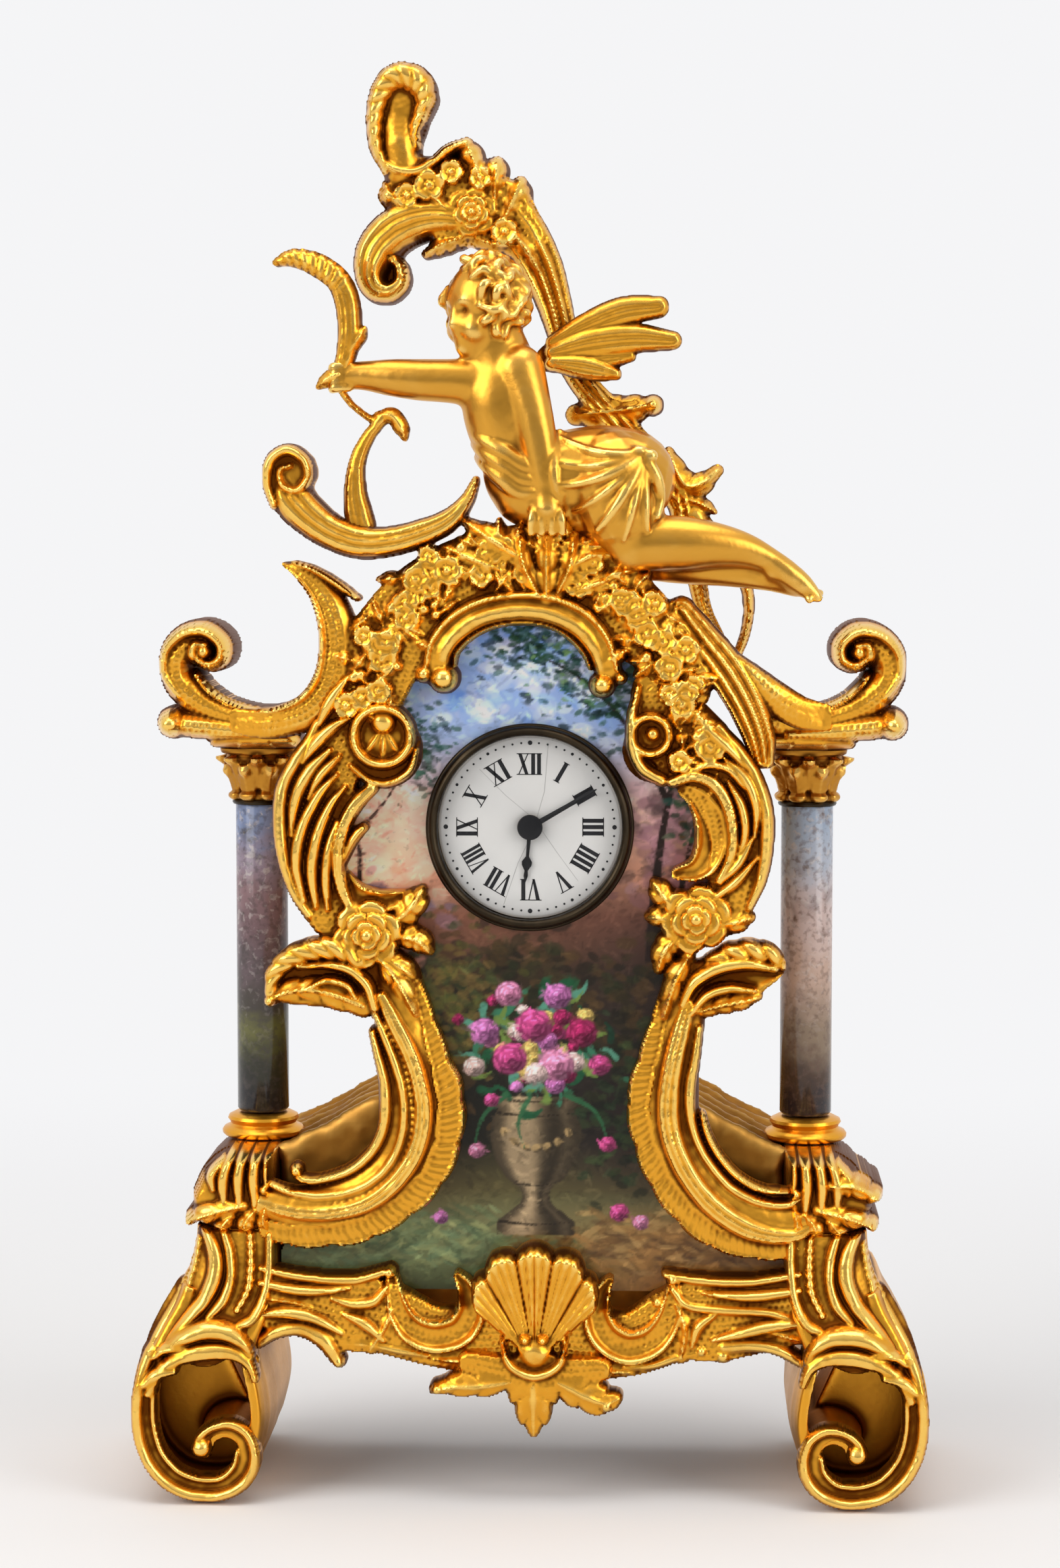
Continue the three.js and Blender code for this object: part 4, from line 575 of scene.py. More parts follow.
# Left frame: large C-scroll with a chased border, shell leaf, rosette, upper C-scroll with a volute
leftFrame = {
    "grid": (-49, -10.2, 41.2, 140), "form": (castBack, castBack),
    "layers": [(rounded, "ground"), (chasedEdge(1.25, 6.8), "border"), (rounded, "middle inner"),
        (lined, "main"), (gadroons(1.2, 0, 0.3), "beads"), (lump, "tailKnob"), (stippled, "upperGround"),
        (dished, "shellGround lowerEnd"), (leafy(4, 0.16), "shellLobe"),
        (gadroons(2.8, 0.7, 0.08, 0.09), "shellRoll"), (leafy(3, 0.16, 0.1), "leaves"),
        (rounded, "strands rim ear ringOuter shellEdges"), (lined, "ridge"), (lump, "shellKnob volute"),
        (rounded, "voluteFan"), (circle, "voluteRing"), (rosette, "rosettes")],
    "ground": [(-22, 88, 4, 4.05), (-21.4, 80, 4.4, 4.45), (-20, 72, 5, 4.65), (-19.4, 65, 5.4, 4.65),
        (-20.6, 59, 5.2, 4.65), (-24.6, 53.4, 4.8, 4.65), (-31, 49.8, 4.4, 4.45), (-38, 48.8, 3.8, 4.25),
        (-45, 49.6, 2.6, 3.85)],
    "border": [(-18.6, 87, 1, 4), (-16.9, 81, 1.4, 4.2), (-15, 74.4, 2, 4.4), (-13.4, 69, 2.6, 4.4),
        (-13.2, 64, 2.7, 4.4), (-14, 59.4, 2.7, 4.4), (-15.8, 55.2, 2.7, 4.4), (-19, 51.4, 2.7, 4.4),
        (-23, 48.2, 2.6, 4.4), (-28, 45.6, 2.6, 4.4), (-33.6, 44.5, 2.4, 4.2), (-39.4, 44.3, 2.3, 4),
        (-44, 45.2, 1.8, 3.6)],
    "main": [(-24.4, 85, 1.2, 5), (-22.4, 81, 1.7, 5.6), (-19.9, 76, 1.8, 6), (-18.3, 71.4, 1.8, 6.1),
        (-17.5, 66.4, 1.9, 6.1), (-18, 61.4, 1.9, 6.1), (-19.8, 57, 1.9, 6), (-22.8, 53.2, 1.9, 5.9),
        (-26.8, 50.2, 1.8, 5.7), (-31.4, 48.7, 1.7, 5.4), (-36.4, 48.2, 1.6, 5), (-41, 48.7, 1.5, 4.6),
        (-45, 50, 1, 4)],
    "middle": [(-25.6, 82, 0.9, 4.8), (-23.9, 78, 1.1, 5.2), (-22, 73, 1.2, 5.4), (-20.9, 68, 1.2, 5.4),
        (-21, 62.6, 1.2, 5.4), (-22.6, 58, 1.2, 5.3), (-25.8, 54.2, 1.2, 5.1), (-30, 52, 1.2, 4.8),
        (-35, 51.2, 1.1, 4.5), (-40, 51.8, 1, 4.2), (-43.4, 53, 0.8, 3.6)],
    "inner": [(-26.2, 79, 0.9, 4.8), (-25.2, 75, 1.1, 5), (-24.1, 70.6, 1.3, 5.2), (-23.9, 66, 1.4, 5.2),
        (-24.6, 62, 1.3, 5.1), (-26.6, 58.4, 1.2, 4.9), (-30, 55.6, 1.1, 4.6), (-34.4, 54, 1, 4.2),
        (-37.8, 53.8, 1, 3.9), (-39.5, 55, 0.9, 3.4)],
    "beads": [(-24, 80.4, 0.5, 4.8), (-21, 74.4, 0.5, 5.1), (-19.6, 68, 0.5, 5.2), (-19.5, 62.6, 0.5, 5.2),
        (-21.2, 57.4, 0.5, 5.1), (-24.4, 53.6, 0.5, 5), (-28.8, 51, 0.5, 4.7), (-34, 50, 0.5, 4.4)],
    "shellGround": [(-24, 86.4, 4, 4), (-29, 87.6, 5.6, 4), (-34.5, 88.2, 5.4, 3.8), (-39.6, 87.6, 4.4, 3.6),
        (-42.6, 86, 1.6, 3.4)],
    "shellLobe": [(-43.2, 84.4, 1.3, 4), (-40, 85.7, 2.1, 4.6), (-36, 86, 2.4, 4.9), (-31.6, 85, 2.9, 5),
        (-27.6, 83.4, 2.4, 4.8)],
    "shellRoll": [(-43.3, 85.6, 1.1, 4.8), (-42.5, 88.8, 1.6, 5.4), (-39.6, 91.6, 1.9, 5.9),
        (-35.4, 92.9, 2, 6.1), (-31.2, 92.7, 2, 6.1), (-28.4, 91, 1.6, 5.8)],
    "shellEdges": [[(-38.4, 90, 0.7, 5.2), (-33, 90.3, 1, 5.8), (-29.4, 89.3, 1.2, 6), (-26.8, 86.8, 1.2, 6),
        (-25.6, 83, 1, 5.4)],
        [(-37, 86.2, 0.6, 5), (-33.8, 87.6, 0.9, 5.6), (-30.4, 86.9, 0.9, 5.7), (-28.8, 84.8, 0.7, 5.2)]],
    "rim": [(-36.6, 98.4, 0.9, 4.4), (-39, 102.4, 1.3, 5), (-40.7, 108, 1.5, 5.4), (-41.3, 114, 1.6, 5.5),
        (-40.8, 119.6, 1.6, 5.5), (-38.6, 124.2, 1.5, 5.3), (-36.4, 127.4, 1.4, 5), (-35, 130.4, 1.2, 4.8)],
    "upperGround": [(-33.6, 97.6, 3, 3.75), (-35.4, 103, 4.6, 4.15), (-36.4, 109, 5.2, 4.35),
        (-36.2, 115, 5.4, 4.35), (-34.4, 121, 6, 4.35), (-32, 126.4, 5.4, 4.15), (-30.4, 131, 4.8, 3.95),
        (-29, 136.6, 4, 3.75)],
    "strands": [[(-37.4, 101, 0.8, 5), (-38.6, 107, 1.3, 5.9), (-37.6, 113, 1.4, 6.1), (-34.8, 118.6, 1.2, 6),
        (-31.8, 122, 0.6, 5.2)],
        [(-35.4, 100, 0.8, 5), (-36, 106, 1.4, 6), (-35, 112, 1.4, 6.2), (-32.8, 117, 1.1, 6),
        (-30.4, 120, 0.6, 5.2)],
        [(-33.4, 99.6, 0.7, 5), (-33.7, 104.6, 1.2, 5.9), (-33.2, 109.6, 1.2, 6), (-31.8, 114, 0.8, 5.4)],
        [(-39.4, 112, 0.8, 5.2), (-38.7, 117.6, 1.4, 6), (-36.4, 122.4, 1.5, 6.1), (-33, 126, 0.8, 5.2)],
        [(-36.6, 118, 0.7, 5.2), (-34.4, 122, 1.2, 5.9), (-31.4, 125, 0.7, 5.2)],
        [(-37.4, 124, 0.8, 5), (-35, 127.4, 1.4, 5.9), (-32.2, 130, 1.2, 5.8), (-29.6, 131.4, 0.6, 5)],
        [(-34.6, 130.4, 0.9, 5), (-33.2, 133.4, 1.5, 5.8), (-31.2, 136.4, 1.1, 5.6),
        (-29.4, 138.6, 0.5, 4.8)]],
    "leaves": [[(-25, 91.6, 1.4, 5), (-21.8, 87.6, 2.3, 5.8), (-18.9, 82, 1, 4.8)],
        [(-22, 97.6, 2.2, 4.4), (-19.4, 100.2, 2.7, 5.2), (-17.8, 102.8, 1, 4.2)],
        [(-21.6, 95, 2, 4.4), (-18.6, 94.4, 2.5, 5.2), (-16.6, 92.4, 1, 4.2)],
        [(-24, 91.6, 2, 4.4), (-21.4, 90, 2.3, 5), (-19.6, 88.4, 1, 4.2)]],
    "lowerEnd": [(-30.6, 104.4, 1.5, 4.4), (-28.6, 101.9, 2, 4.6), (-24.8, 100.8, 2, 4.6),
        (-20.8, 101.6, 1.1, 4)],
    "ridge": [(-29.6, 99.4, 0.9, 4.8), (-31.2, 103.4, 1.3, 5.6), (-31.8, 108, 1.4, 6.1),
        (-31, 112.6, 1.4, 6.2), (-29, 116.6, 1.5, 6.2), (-26.2, 119.6, 1.4, 6)],
    "ear": [(-31, 107, 0.8, 5), (-29.8, 110, 1.1, 5.4), (-28.4, 112.2, 1.2, 5.6), (-27.5, 113.1, 1.1, 5.4)],
    "ringOuter": [(-29.4, 123.4, 0.7, 5), (-26.4, 121, 0.9, 5.6), (-23, 120.7, 0.9, 5.6),
        (-19.8, 122.6, 0.9, 5.6), (-18.6, 126, 0.7, 5.2)],
    "tailKnob": [(-39, 55.4, 1.5, 4.6)], "shellKnob": [(-43.3, 84, 1.3, 5)],
    "volute": [(-24, 125.8, 6.4, 0.6, 3.4), (-24.2, 128.4, 4.7, 0.8, 3.2), (-24.1, 130.7, 2.2, 2.4, 3.4)],
    "voluteFan": [[(-24.1, 129.8, 0.5, 4.2), (-25.94, 127, 0.8, 4.6), (-27.1, 125.5092, 1, 4.4)],
        [(-24.1, 129.8, 0.5, 4.2), (-24.2, 127, 0.8, 4.6), (-24.2, 124.5, 1, 4.4)],
        [(-24.1, 129.8, 0.5, 4.2), (-22.46, 127, 0.8, 4.6), (-21.3, 125.5092, 1, 4.4)]],
    "voluteRing": [(-24.2, 128.4, 4.7, 1.05, 6.4)], "rosettes": [(-26.9, 95.3, 5.8, 3.9)],
}
castDrawing("leftFrameCast", "left_frame", leftFrame)
print("left frame made")

# Right frame: the same ornament, drawn a little tighter
rightFrame = {
    "grid": (15, 49, 39.6, 140), "form": (castBack, castBack),
    "layers": [(rounded, "ground"), (chasedEdge(1.25, 6.8), "border"), (rounded, "inner extra"),
        (lined, "main"), (stippled, "upperGround"), (dished, "shellGround"), (cove, "innerC"),
        (leafy(4, 0.18), "shellLobe"), (gadroons(3.2, 0.4, 0.16, 0.16), "shellRoll"),
        ({"count": 44, "spread": 3.2, "lift": 4.3}, "garland"), (leafy(3, 0.16, 0.1), "leaves"),
        (rounded, "strands rim topLine shellEdges"), (lined, "innerRidge"), (lump, "volute"),
        (rounded, "voluteRim"), (circle, "voluteRing"), (rosette, "rosettes")],
    "ground": [(26, 88, 3.4, 4.05), (25.4, 80, 3.8, 4.45), (24, 72, 4.4, 4.65), (23.6, 65, 4.8, 4.65),
        (25.4, 58.6, 5, 4.65), (29.4, 52.6, 5, 4.65), (35, 48.4, 4.6, 4.45), (41, 46.8, 3.8, 4.25),
        (46, 47.6, 2.2, 3.85)],
    "border": [(23, 87, 1, 4), (21.5, 81, 1.6, 4.2), (19.9, 75, 2, 4.4), (18.5, 70, 2.2, 4.4),
        (18.2, 65.6, 2.3, 4.4), (19.1, 61, 2.3, 4.4), (20.7, 56.6, 2.4, 4.4), (23, 52.4, 2.4, 4.4),
        (26.3, 48.4, 2.4, 4.4), (30.3, 45.2, 2.4, 4.3), (35, 43.3, 2.2, 4.1), (39.6, 42.4, 1.9, 3.9),
        (44.4, 42.4, 1.4, 3.5)],
    "main": [(26.4, 84, 1.3, 5), (25.3, 79.6, 1.9, 5.7), (24, 74, 2.1, 6.1), (23.3, 68.6, 2.3, 6.2),
        (23.5, 63.6, 2.3, 6.2), (25, 58.6, 2.3, 6.2), (27.6, 54, 2.3, 6.1), (31.2, 50, 2.3, 5.9),
        (35.6, 47, 2.2, 5.6), (40.2, 45.5, 1.9, 5.1), (44.6, 45.4, 1.5, 4.6), (47, 46.6, 1, 4)],
    "inner": [(28.2, 80, 0.9, 4.8), (27.5, 75, 1.2, 5.1), (26.6, 70, 1.3, 5.3), (26.8, 65, 1.2, 5.3),
        (28.1, 60.6, 1.1, 5.1), (30.5, 56.6, 1.1, 5), (33.8, 53, 1.1, 4.8), (38.2, 50.8, 1.1, 4.5),
        (42.6, 50.2, 1, 4.1), (45.2, 51.4, 0.9, 3.7)],
    "extra": [(28.8, 65.4, 0.8, 4.6), (29.7, 62.2, 0.9, 4.7), (31.6, 58.6, 0.9, 4.7), (34.8, 55, 0.9, 4.5),
        (38.8, 52.8, 0.9, 4.2), (43, 52.4, 0.8, 3.8)],
    "shellGround": [(25, 85.4, 3.2, 4), (29.4, 87, 4.6, 4), (34, 88.2, 4.4, 3.9), (38.6, 89, 2.6, 3.7),
        (41.8, 89.4, 0.8, 3.4)],
    "shellLobe": [(27.4, 82.6, 1.6, 4.6), (31.4, 83.8, 2, 5), (35, 84.5, 2, 4.9), (38.2, 85.2, 0.8, 4)],
    "shellEdges": [[(25.4, 84, 0.9, 5.2), (27.4, 87.8, 1.4, 5.9), (31.4, 90.2, 1.5, 6.1),
        (36, 90.9, 1.4, 5.9), (40.6, 90, 0.9, 5)],
        [(26.8, 82.4, 0.8, 5.2), (29.4, 85.5, 1.1, 5.7), (33, 86.7, 1.1, 5.7), (37, 86.4, 0.8, 5)]],
    "shellRoll": [(29.8, 91.2, 1.2, 5), (33, 92.5, 1.8, 5.8), (36.8, 93, 2, 5.9), (40.4, 92.2, 1.6, 5.4),
        (42, 90.2, 0.8, 4.6)],
    "rim": [(36.4, 100, 0.9, 4.6), (38.2, 104.6, 1.3, 5.2), (39.1, 110, 1.5, 5.5), (39, 116, 1.6, 5.6),
        (37.4, 121.4, 1.5, 5.5), (34.6, 126, 1.4, 5.3), (31.2, 130, 1.2, 5)],
    "upperGround": [(32.4, 98, 3, 3.75), (34, 105, 4.4, 4.15), (34.4, 112, 4.6, 4.35), (32.6, 119, 5.4, 4.35),
        (28.4, 125, 6.4, 4.15), (24, 130, 6.4, 3.95), (21, 135.4, 4.4, 3.75)],
    "strands": [[(30.4, 101.6, 0.8, 5), (34, 104.4, 1.2, 5.8), (37.6, 108.4, 0.6, 5)],
        [(31.6, 104.4, 0.8, 5), (34.6, 107.6, 1.2, 5.8), (37, 112, 0.6, 5)],
        [(34.4, 108, 0.7, 5.2), (35.6, 112.6, 1.1, 6), (35, 117, 1.2, 6), (32.8, 121, 0.6, 5.4)],
        [(37.2, 112, 0.7, 5.2), (37.4, 117, 1.2, 6), (35.6, 121.6, 1.3, 6), (32, 125, 0.6, 5.2)],
        [(35.6, 123.4, 0.8, 5.2), (32.8, 126.6, 1.3, 5.9), (29.6, 129.6, 1.1, 5.7), (27, 133, 0.6, 5)]],
    "leaves": [[(26.4, 92, 1.4, 5), (24.2, 88, 2.2, 5.8), (22.4, 82, 1, 4.8)],
        [(24.4, 99.6, 2, 4.4), (22, 102.2, 2.4, 5), (20.6, 104.2, 0.9, 4)],
        [(24, 98, 2, 4.4), (21.4, 98.4, 2, 5), (19.3, 98.4, 0.6, 4)],
        [(24.6, 95.4, 2, 4.4), (22.4, 92.8, 2.5, 5), (21.4, 89.6, 1.1, 4.2)],
        [(30, 97, 1.9, 4.4), (33.8, 97.6, 2.4, 5), (36.8, 98.4, 1, 4)]],
    "innerC": [(24.4, 105.6, 1.2, 4.2), (28, 106.6, 2.3, 4.6), (29.9, 110, 2.9, 4.8), (29.8, 114.4, 2.9, 4.8),
        (27.8, 117.9, 2, 4.6), (25.4, 119.5, 1.1, 4.2)],
    "innerRidge": [(31.4, 104.6, 0.9, 5.2), (33.1, 108, 1.1, 5.8), (33.6, 112.4, 1.2, 6.1),
        (32.7, 117, 1.3, 6.1), (30.4, 120.6, 1.3, 6.1), (27, 121.8, 1.2, 6), (23.6, 120.8, 1.1, 5.8)],
    "topLine": [(26, 122.4, 0.8, 5.4), (29.6, 123.8, 1, 5.9), (33, 123, 1, 5.9), (35.6, 120, 0.8, 5.4)],
    "voluteRim": [(17.9, 136.4, 0.8, 5), (16.9, 131.6, 1.1, 5.8), (17, 127, 1.2, 6), (18.7, 123.2, 1.3, 6),
        (21.9, 121.1, 1.3, 6)],
    "garland": [(24, 139), (25.4, 133), (27.4, 127), (29, 123.6)],
    "volute": [(20.8, 126, 5.6, 0.6, 2.6), (20, 128.6, 3.1, 0.6, 3), (20.4, 128.8, 1.3, 2, 3)],
    "voluteRing": [(20, 128.6, 3.1, 0.9, 5.8)], "rosettes": [(27.6, 98.2, 5.9, 3.9)],
}
castDrawing("rightFrameCast", "right_frame", rightFrame)
print("right frame made")

# Arch: moulded hoop over the dial, garland, horn, and the scroll that carries the bow
arch = {
    "grid": (-50, 50, 123, 178), "form": (castBack, castBack + 1.4),
    "layers": [(stippled, "garland"), (gadroons(1.9, 0, 0.05), "ladder"),
        ({"count": 260, "spread": 3.8, "lift": 4.2}, "garland"), (horned, "horn"), (fluted, "flutes"),
        (scaly, "link"), (rounded, "hornTop hoopGround hoop hoopEdges"), (lined, "bowScroll"),
        (lump, "coilGround"), (rounded, "bowCoil"), (lump, "hoopEnds"), (leafy(3, 0.12), "bunch")],
    "garland": [(-27, 133, 5.4, 3.8), (-24.4, 141.4, 6.8, 4.1), (-20.8, 147.2, 6.8, 4.3),
        (-16.6, 152, 6, 4.3), (-10, 156.2, 5.4, 4.3), (-2, 157.6, 5.6, 4.3), (6, 157, 5.8, 4.3),
        (12.6, 153.4, 5.6, 4.3), (18, 148.2, 5.6, 4.3), (22.8, 142, 5.4, 4.1), (25.6, 136.4, 4.6, 3.9)],
    "hoopGround": [(-15.2, 139.6, 2.4, 4.8), (-14.8, 143, 3, 5), (-12, 146.8, 3.2, 5.1),
        (-7.6, 149.2, 3.2, 5.1), (-1.8, 150.2, 3.2, 5.1), (3.8, 149.6, 3.2, 5.1), (8.6, 147.4, 3.2, 5.1),
        (11.8, 143.6, 3, 5), (13, 139.4, 2.4, 4.8)],
    "hoop": [(-14.4, 139.2, 1.4, 4.8), (-14.1, 142.4, 1.8, 5.4), (-11.6, 145.7, 2, 5.7),
        (-7.4, 148.1, 2, 5.8), (-2, 149, 2, 5.8), (3.4, 148.5, 2, 5.8), (7.9, 146.4, 2, 5.7),
        (10.9, 143, 1.8, 5.4), (12.2, 139, 1.4, 4.8)],
    "hoopEdges": [[(-17, 139.8, 0.7, 5.2), (-16, 144, 0.8, 5.9), (-12.7, 148, 0.9, 6.2),
        (-7.8, 150.6, 0.9, 6.2), (-1.6, 151.6, 0.9, 6.2), (4.4, 151, 0.9, 6.2), (9.5, 148.6, 0.9, 6.2),
        (13, 144.4, 0.8, 5.9), (14.5, 139.4, 0.7, 5.2)],
        [(-12.3, 140, 0.5, 4.4), (-11.9, 142, 0.6, 4.8), (-9.8, 144.3, 0.6, 5), (-6.4, 146.2, 0.6, 5),
        (-2, 147, 0.6, 5), (2.6, 146.6, 0.6, 5), (6.3, 144.8, 0.6, 5), (8.9, 142, 0.6, 4.8),
        (10, 139.4, 0.5, 4.4)]],
    "horn": [(-40.6, 156.7, 0.6, 3.2), (-37.6, 155.4, 1.6, 4), (-34.2, 152.2, 2.6, 4.6),
        (-32.1, 147.4, 3.2, 5), (-31.7, 142, 3.4, 5), (-32.8, 137, 3.4, 5), (-36, 132.7, 3.3, 4.9),
        (-41, 130.6, 2.9, 3.8), (-45.4, 130.2, 2.6, 1.8), (-49, 130.6, 2.2, 0.3)],
    "hornTop": [(-39, 157, 0.5, 3.6), (-35.4, 155.7, 0.8, 4.5), (-31.6, 153.4, 0.9, 4.9),
        (-28.4, 151, 0.8, 4.9)],
    "flutes": [(25, 149, 2.6, 4.8), (28.8, 144, 3.2, 5.3), (32.4, 139.4, 3.5, 5.4), (35.6, 134, 3.3, 5.4),
        (37.8, 128.6, 2.9, 5.1), (38.6, 124.4, 2, 4.7)],
    "ladder": [(16.6, 153, 2.6, 4.4), (21.4, 148.2, 3.2, 4.9), (25.6, 143, 3, 4.9), (28.6, 138, 2, 4.7)],
    "link": [(34.4, 141.4, 0.8, 4.4), (37, 138.4, 1.9, 4.8), (40.4, 134.8, 2.9, 4), (44.6, 132.2, 2.9, 2),
        (48.6, 131.4, 2.4, 0.3)],
    "bowScroll": [(-8.8, 170.6, 0.8, 4), (-10.4, 167, 1.4, 4.8), (-13.4, 163.8, 2.1, 5.4),
        (-18, 161.7, 2.5, 5.8), (-23, 160.4, 2.7, 6), (-28, 160.3, 3, 6.2), (-32.4, 161.8, 3.1, 6.4),
        (-36.2, 164.4, 3.4, 6.4), (-39, 167.4, 3.6, 6.2), (-40.4, 170.6, 2.6, 5.6)],
    "bowCoil": [(-42, 166.4, 1, 6), (-43, 170, 1.2, 6.6), (-42.4, 173.6, 1.3, 7), (-39.6, 175.4, 1.3, 7.2),
        (-36.8, 173.8, 1.2, 7.2), (-36.2, 170.9, 1.1, 7), (-38, 168.8, 1, 6.9), (-40.4, 169.6, 0.9, 6.9),
        (-40.8, 172, 0.8, 6.9), (-39, 172.8, 0.7, 6.9)],
    "bunch": [[(0, 157, 2, 5.6), (-5, 160, 3, 6.2), (-10.4, 163.6, 1, 4.8)],
        [(6, 155.6, 2, 5.6), (10, 158, 3, 6.2), (13.4, 158.4, 1, 4.8)],
        [(-4, 155.6, 1.8, 5.2), (-9, 157.4, 2.4, 5.8), (-14, 159.6, 0.8, 4.8)],
        [(8, 152.4, 1.8, 5.4), (11.4, 153.6, 2.4, 6), (14.2, 154.6, 0.8, 4.8)],
        [(1.6, 151.8, 1.6, 6), (-0.8, 156.6, 2.2, 6.8), (-1.6, 161.6, 1, 6)],
        [(4.6, 151.8, 1.6, 6), (6.8, 156.6, 2.2, 6.8), (7.4, 161.4, 1, 6)],
        [(3, 151.4, 1.9, 6.4), (3, 156.6, 2.5, 7.2), (3, 162, 1.2, 6.4)]],
    "coilGround": [(-39.6, 171.7, 4, 0.6, 5)],
    "hoopEnds": [(-14.1, 137.9, 2.9, 6.5), (-17.4, 138.6, 1.9, 5.4), (12, 136.8, 2.5, 6.3),
        (15, 138, 1.4, 5)],
}
castDrawing("archCast", "arch_casting", arch)
print("arch made")

# Apron with its rolled scrolls, and the shell in front of its middle
apron = {
    "grid": (-46, 46, 19, 44), "form": (castBack, castBack),
    "layers": [(stippled, "ground"), (leafy(4, 0.16), "leaves"), (cove, "scrolls"),
        (rounded, "strands ridges"), (lump, "knobs")],
    "ground": [(-45, 33.2, 4.5, 4), (-38, 32.6, 5.7, 4.2), (-31, 31.2, 6.5, 4.4), (-25, 30.6, 6.3, 4.4),
        (-16, 27.4, 5.3, 4.2), (-8, 27, 6.1, 4.2), (1, 27.6, 6.9, 4.2), (9, 26.6, 6.5, 4.2),
        (17, 26.4, 5.5, 4.2), (25, 30, 6.5, 4.4), (31, 30.4, 6.9, 4.4), (38, 31.2, 6.3, 4.2),
        (45, 32, 5.3, 4)],
    "scrolls": [[(-23, 37.4, 1.1, 4.6), (-21.8, 32.2, 2, 5.2), (-19.4, 28.9, 2.6, 5.5),
        (-15.6, 27.7, 2.9, 5.7), (-11.6, 28.9, 2.9, 5.7), (-9.8, 32.2, 2.6, 5.5), (-10.6, 35.8, 1.7, 5.1),
        (-12, 37.8, 0.9, 4.6)],
        [(24.2, 36.8, 1.1, 4.6), (23.4, 31.6, 2.2, 5.2), (20.8, 27.6, 2.8, 5.5), (16.6, 26.2, 3.1, 5.7),
        (12.9, 28.2, 3, 5.7), (11.4, 31.8, 2.5, 5.5), (12.2, 35.2, 1.6, 5.1), (13.4, 37.2, 0.9, 4.6)]],
    "ridges": [[(-45, 38.8, 1, 4.4), (-38, 37.5, 1.2, 4.8), (-30, 37, 1.3, 4.8), (-24.6, 38.4, 1.1, 4.8)],
        [(-33, 34, 0.8, 4.8), (-29.4, 33.1, 1.2, 5.4), (-26, 33.6, 1.3, 5.6), (-24.2, 35.6, 0.8, 5.2)],
        [(-46, 25.8, 1.3, 4.2), (-42.6, 28, 1.6, 4.8), (-38.4, 28.7, 1.8, 5.2), (-34.6, 27, 2, 5.4),
        (-32.2, 23.4, 1.5, 4.8)],
        [(22.8, 38.4, 1, 4.6), (28, 37.6, 1.2, 4.8), (36, 37.3, 1.2, 4.8), (45, 38.6, 1, 4.4)],
        [(24, 36, 0.9, 5), (26.4, 33.4, 1.1, 5.2), (32, 32.7, 1.2, 5.2), (40, 32.2, 1.2, 5),
        (45.6, 30.4, 1, 4.4)],
        [(32.6, 26.4, 1.7, 5), (37, 26.7, 1.5, 5.2), (41.6, 25.9, 1.4, 5), (46, 23.4, 1.3, 4.4)],
        [(-31, 26.4, 0.9, 4.2), (-26, 26, 1, 4.6), (-21.6, 25.2, 1, 4.8), (-17, 24.4, 0.8, 4.6)],
        [(29, 25.4, 0.9, 4.2), (25, 24.6, 1, 4.6), (20.6, 23.2, 1, 4.8), (16, 22.8, 0.8, 4.6)]],
    "strands": [[(-45, 36.4, 0.9, 5), (-39, 35.4, 1.3, 5.6), (-34, 35.4, 1, 5.6), (-30, 35.8, 0.5, 5)],
        [(-45, 31.2, 1, 5), (-40, 31.6, 1.5, 5.8), (-35.6, 30.6, 1.4, 5.8), (-31.4, 28.2, 0.8, 5)],
        [(-31, 31.4, 0.8, 5), (-27.4, 29.8, 1.4, 5.8), (-24.4, 27, 0.8, 5)],
        [(45, 36, 0.9, 5), (39, 35.2, 1.3, 5.6), (33, 35.2, 1, 5.6), (29, 35.6, 0.5, 5)],
        [(45, 30.4, 1, 5), (40, 30, 1.5, 5.8), (35, 28.8, 1.3, 5.8), (30.6, 27.6, 0.7, 5)],
        [(31, 32, 0.8, 5), (28.2, 29.8, 1.3, 5.8), (27.2, 26.6, 0.8, 5)]],
    "leaves": [[(25.4, 24.6, 1.6, 5), (26, 29.4, 2, 5.6), (24.6, 33.4, 0.9, 5)],
        [(-26.6, 25.4, 1.4, 4.6), (-24.4, 28.8, 1.9, 5.2), (-22.8, 32.4, 0.9, 4.8)],
        [(-45, 33.8, 1.4, 4.4), (-39, 33.2, 2.2, 4.8), (-33.4, 31.4, 0.9, 4.4)],
        [(45, 27.6, 1.4, 4.4), (38.4, 29.4, 2.2, 4.8), (31.4, 29.8, 0.9, 4.4)],
        [(-6, 24, 1.6, 4.6), (-11, 23.6, 1.9, 5), (-16, 23.8, 0.9, 4.4)],
        [(8, 23.4, 1.8, 4.6), (12, 22.2, 2, 5), (17, 21.9, 0.8, 4.4)]],
    "knobs": [(32.4, 24.8, 1.9, 5), (28.8, 25.6, 1.5, 5), (-23.4, 38.4, 1.5, 5), (24, 37.6, 1.5, 5),
        (21.4, 33.8, 1.5, 5), (-32, 23, 1.5, 5)],
}
castDrawing("apronCast", "front_apron", apron)

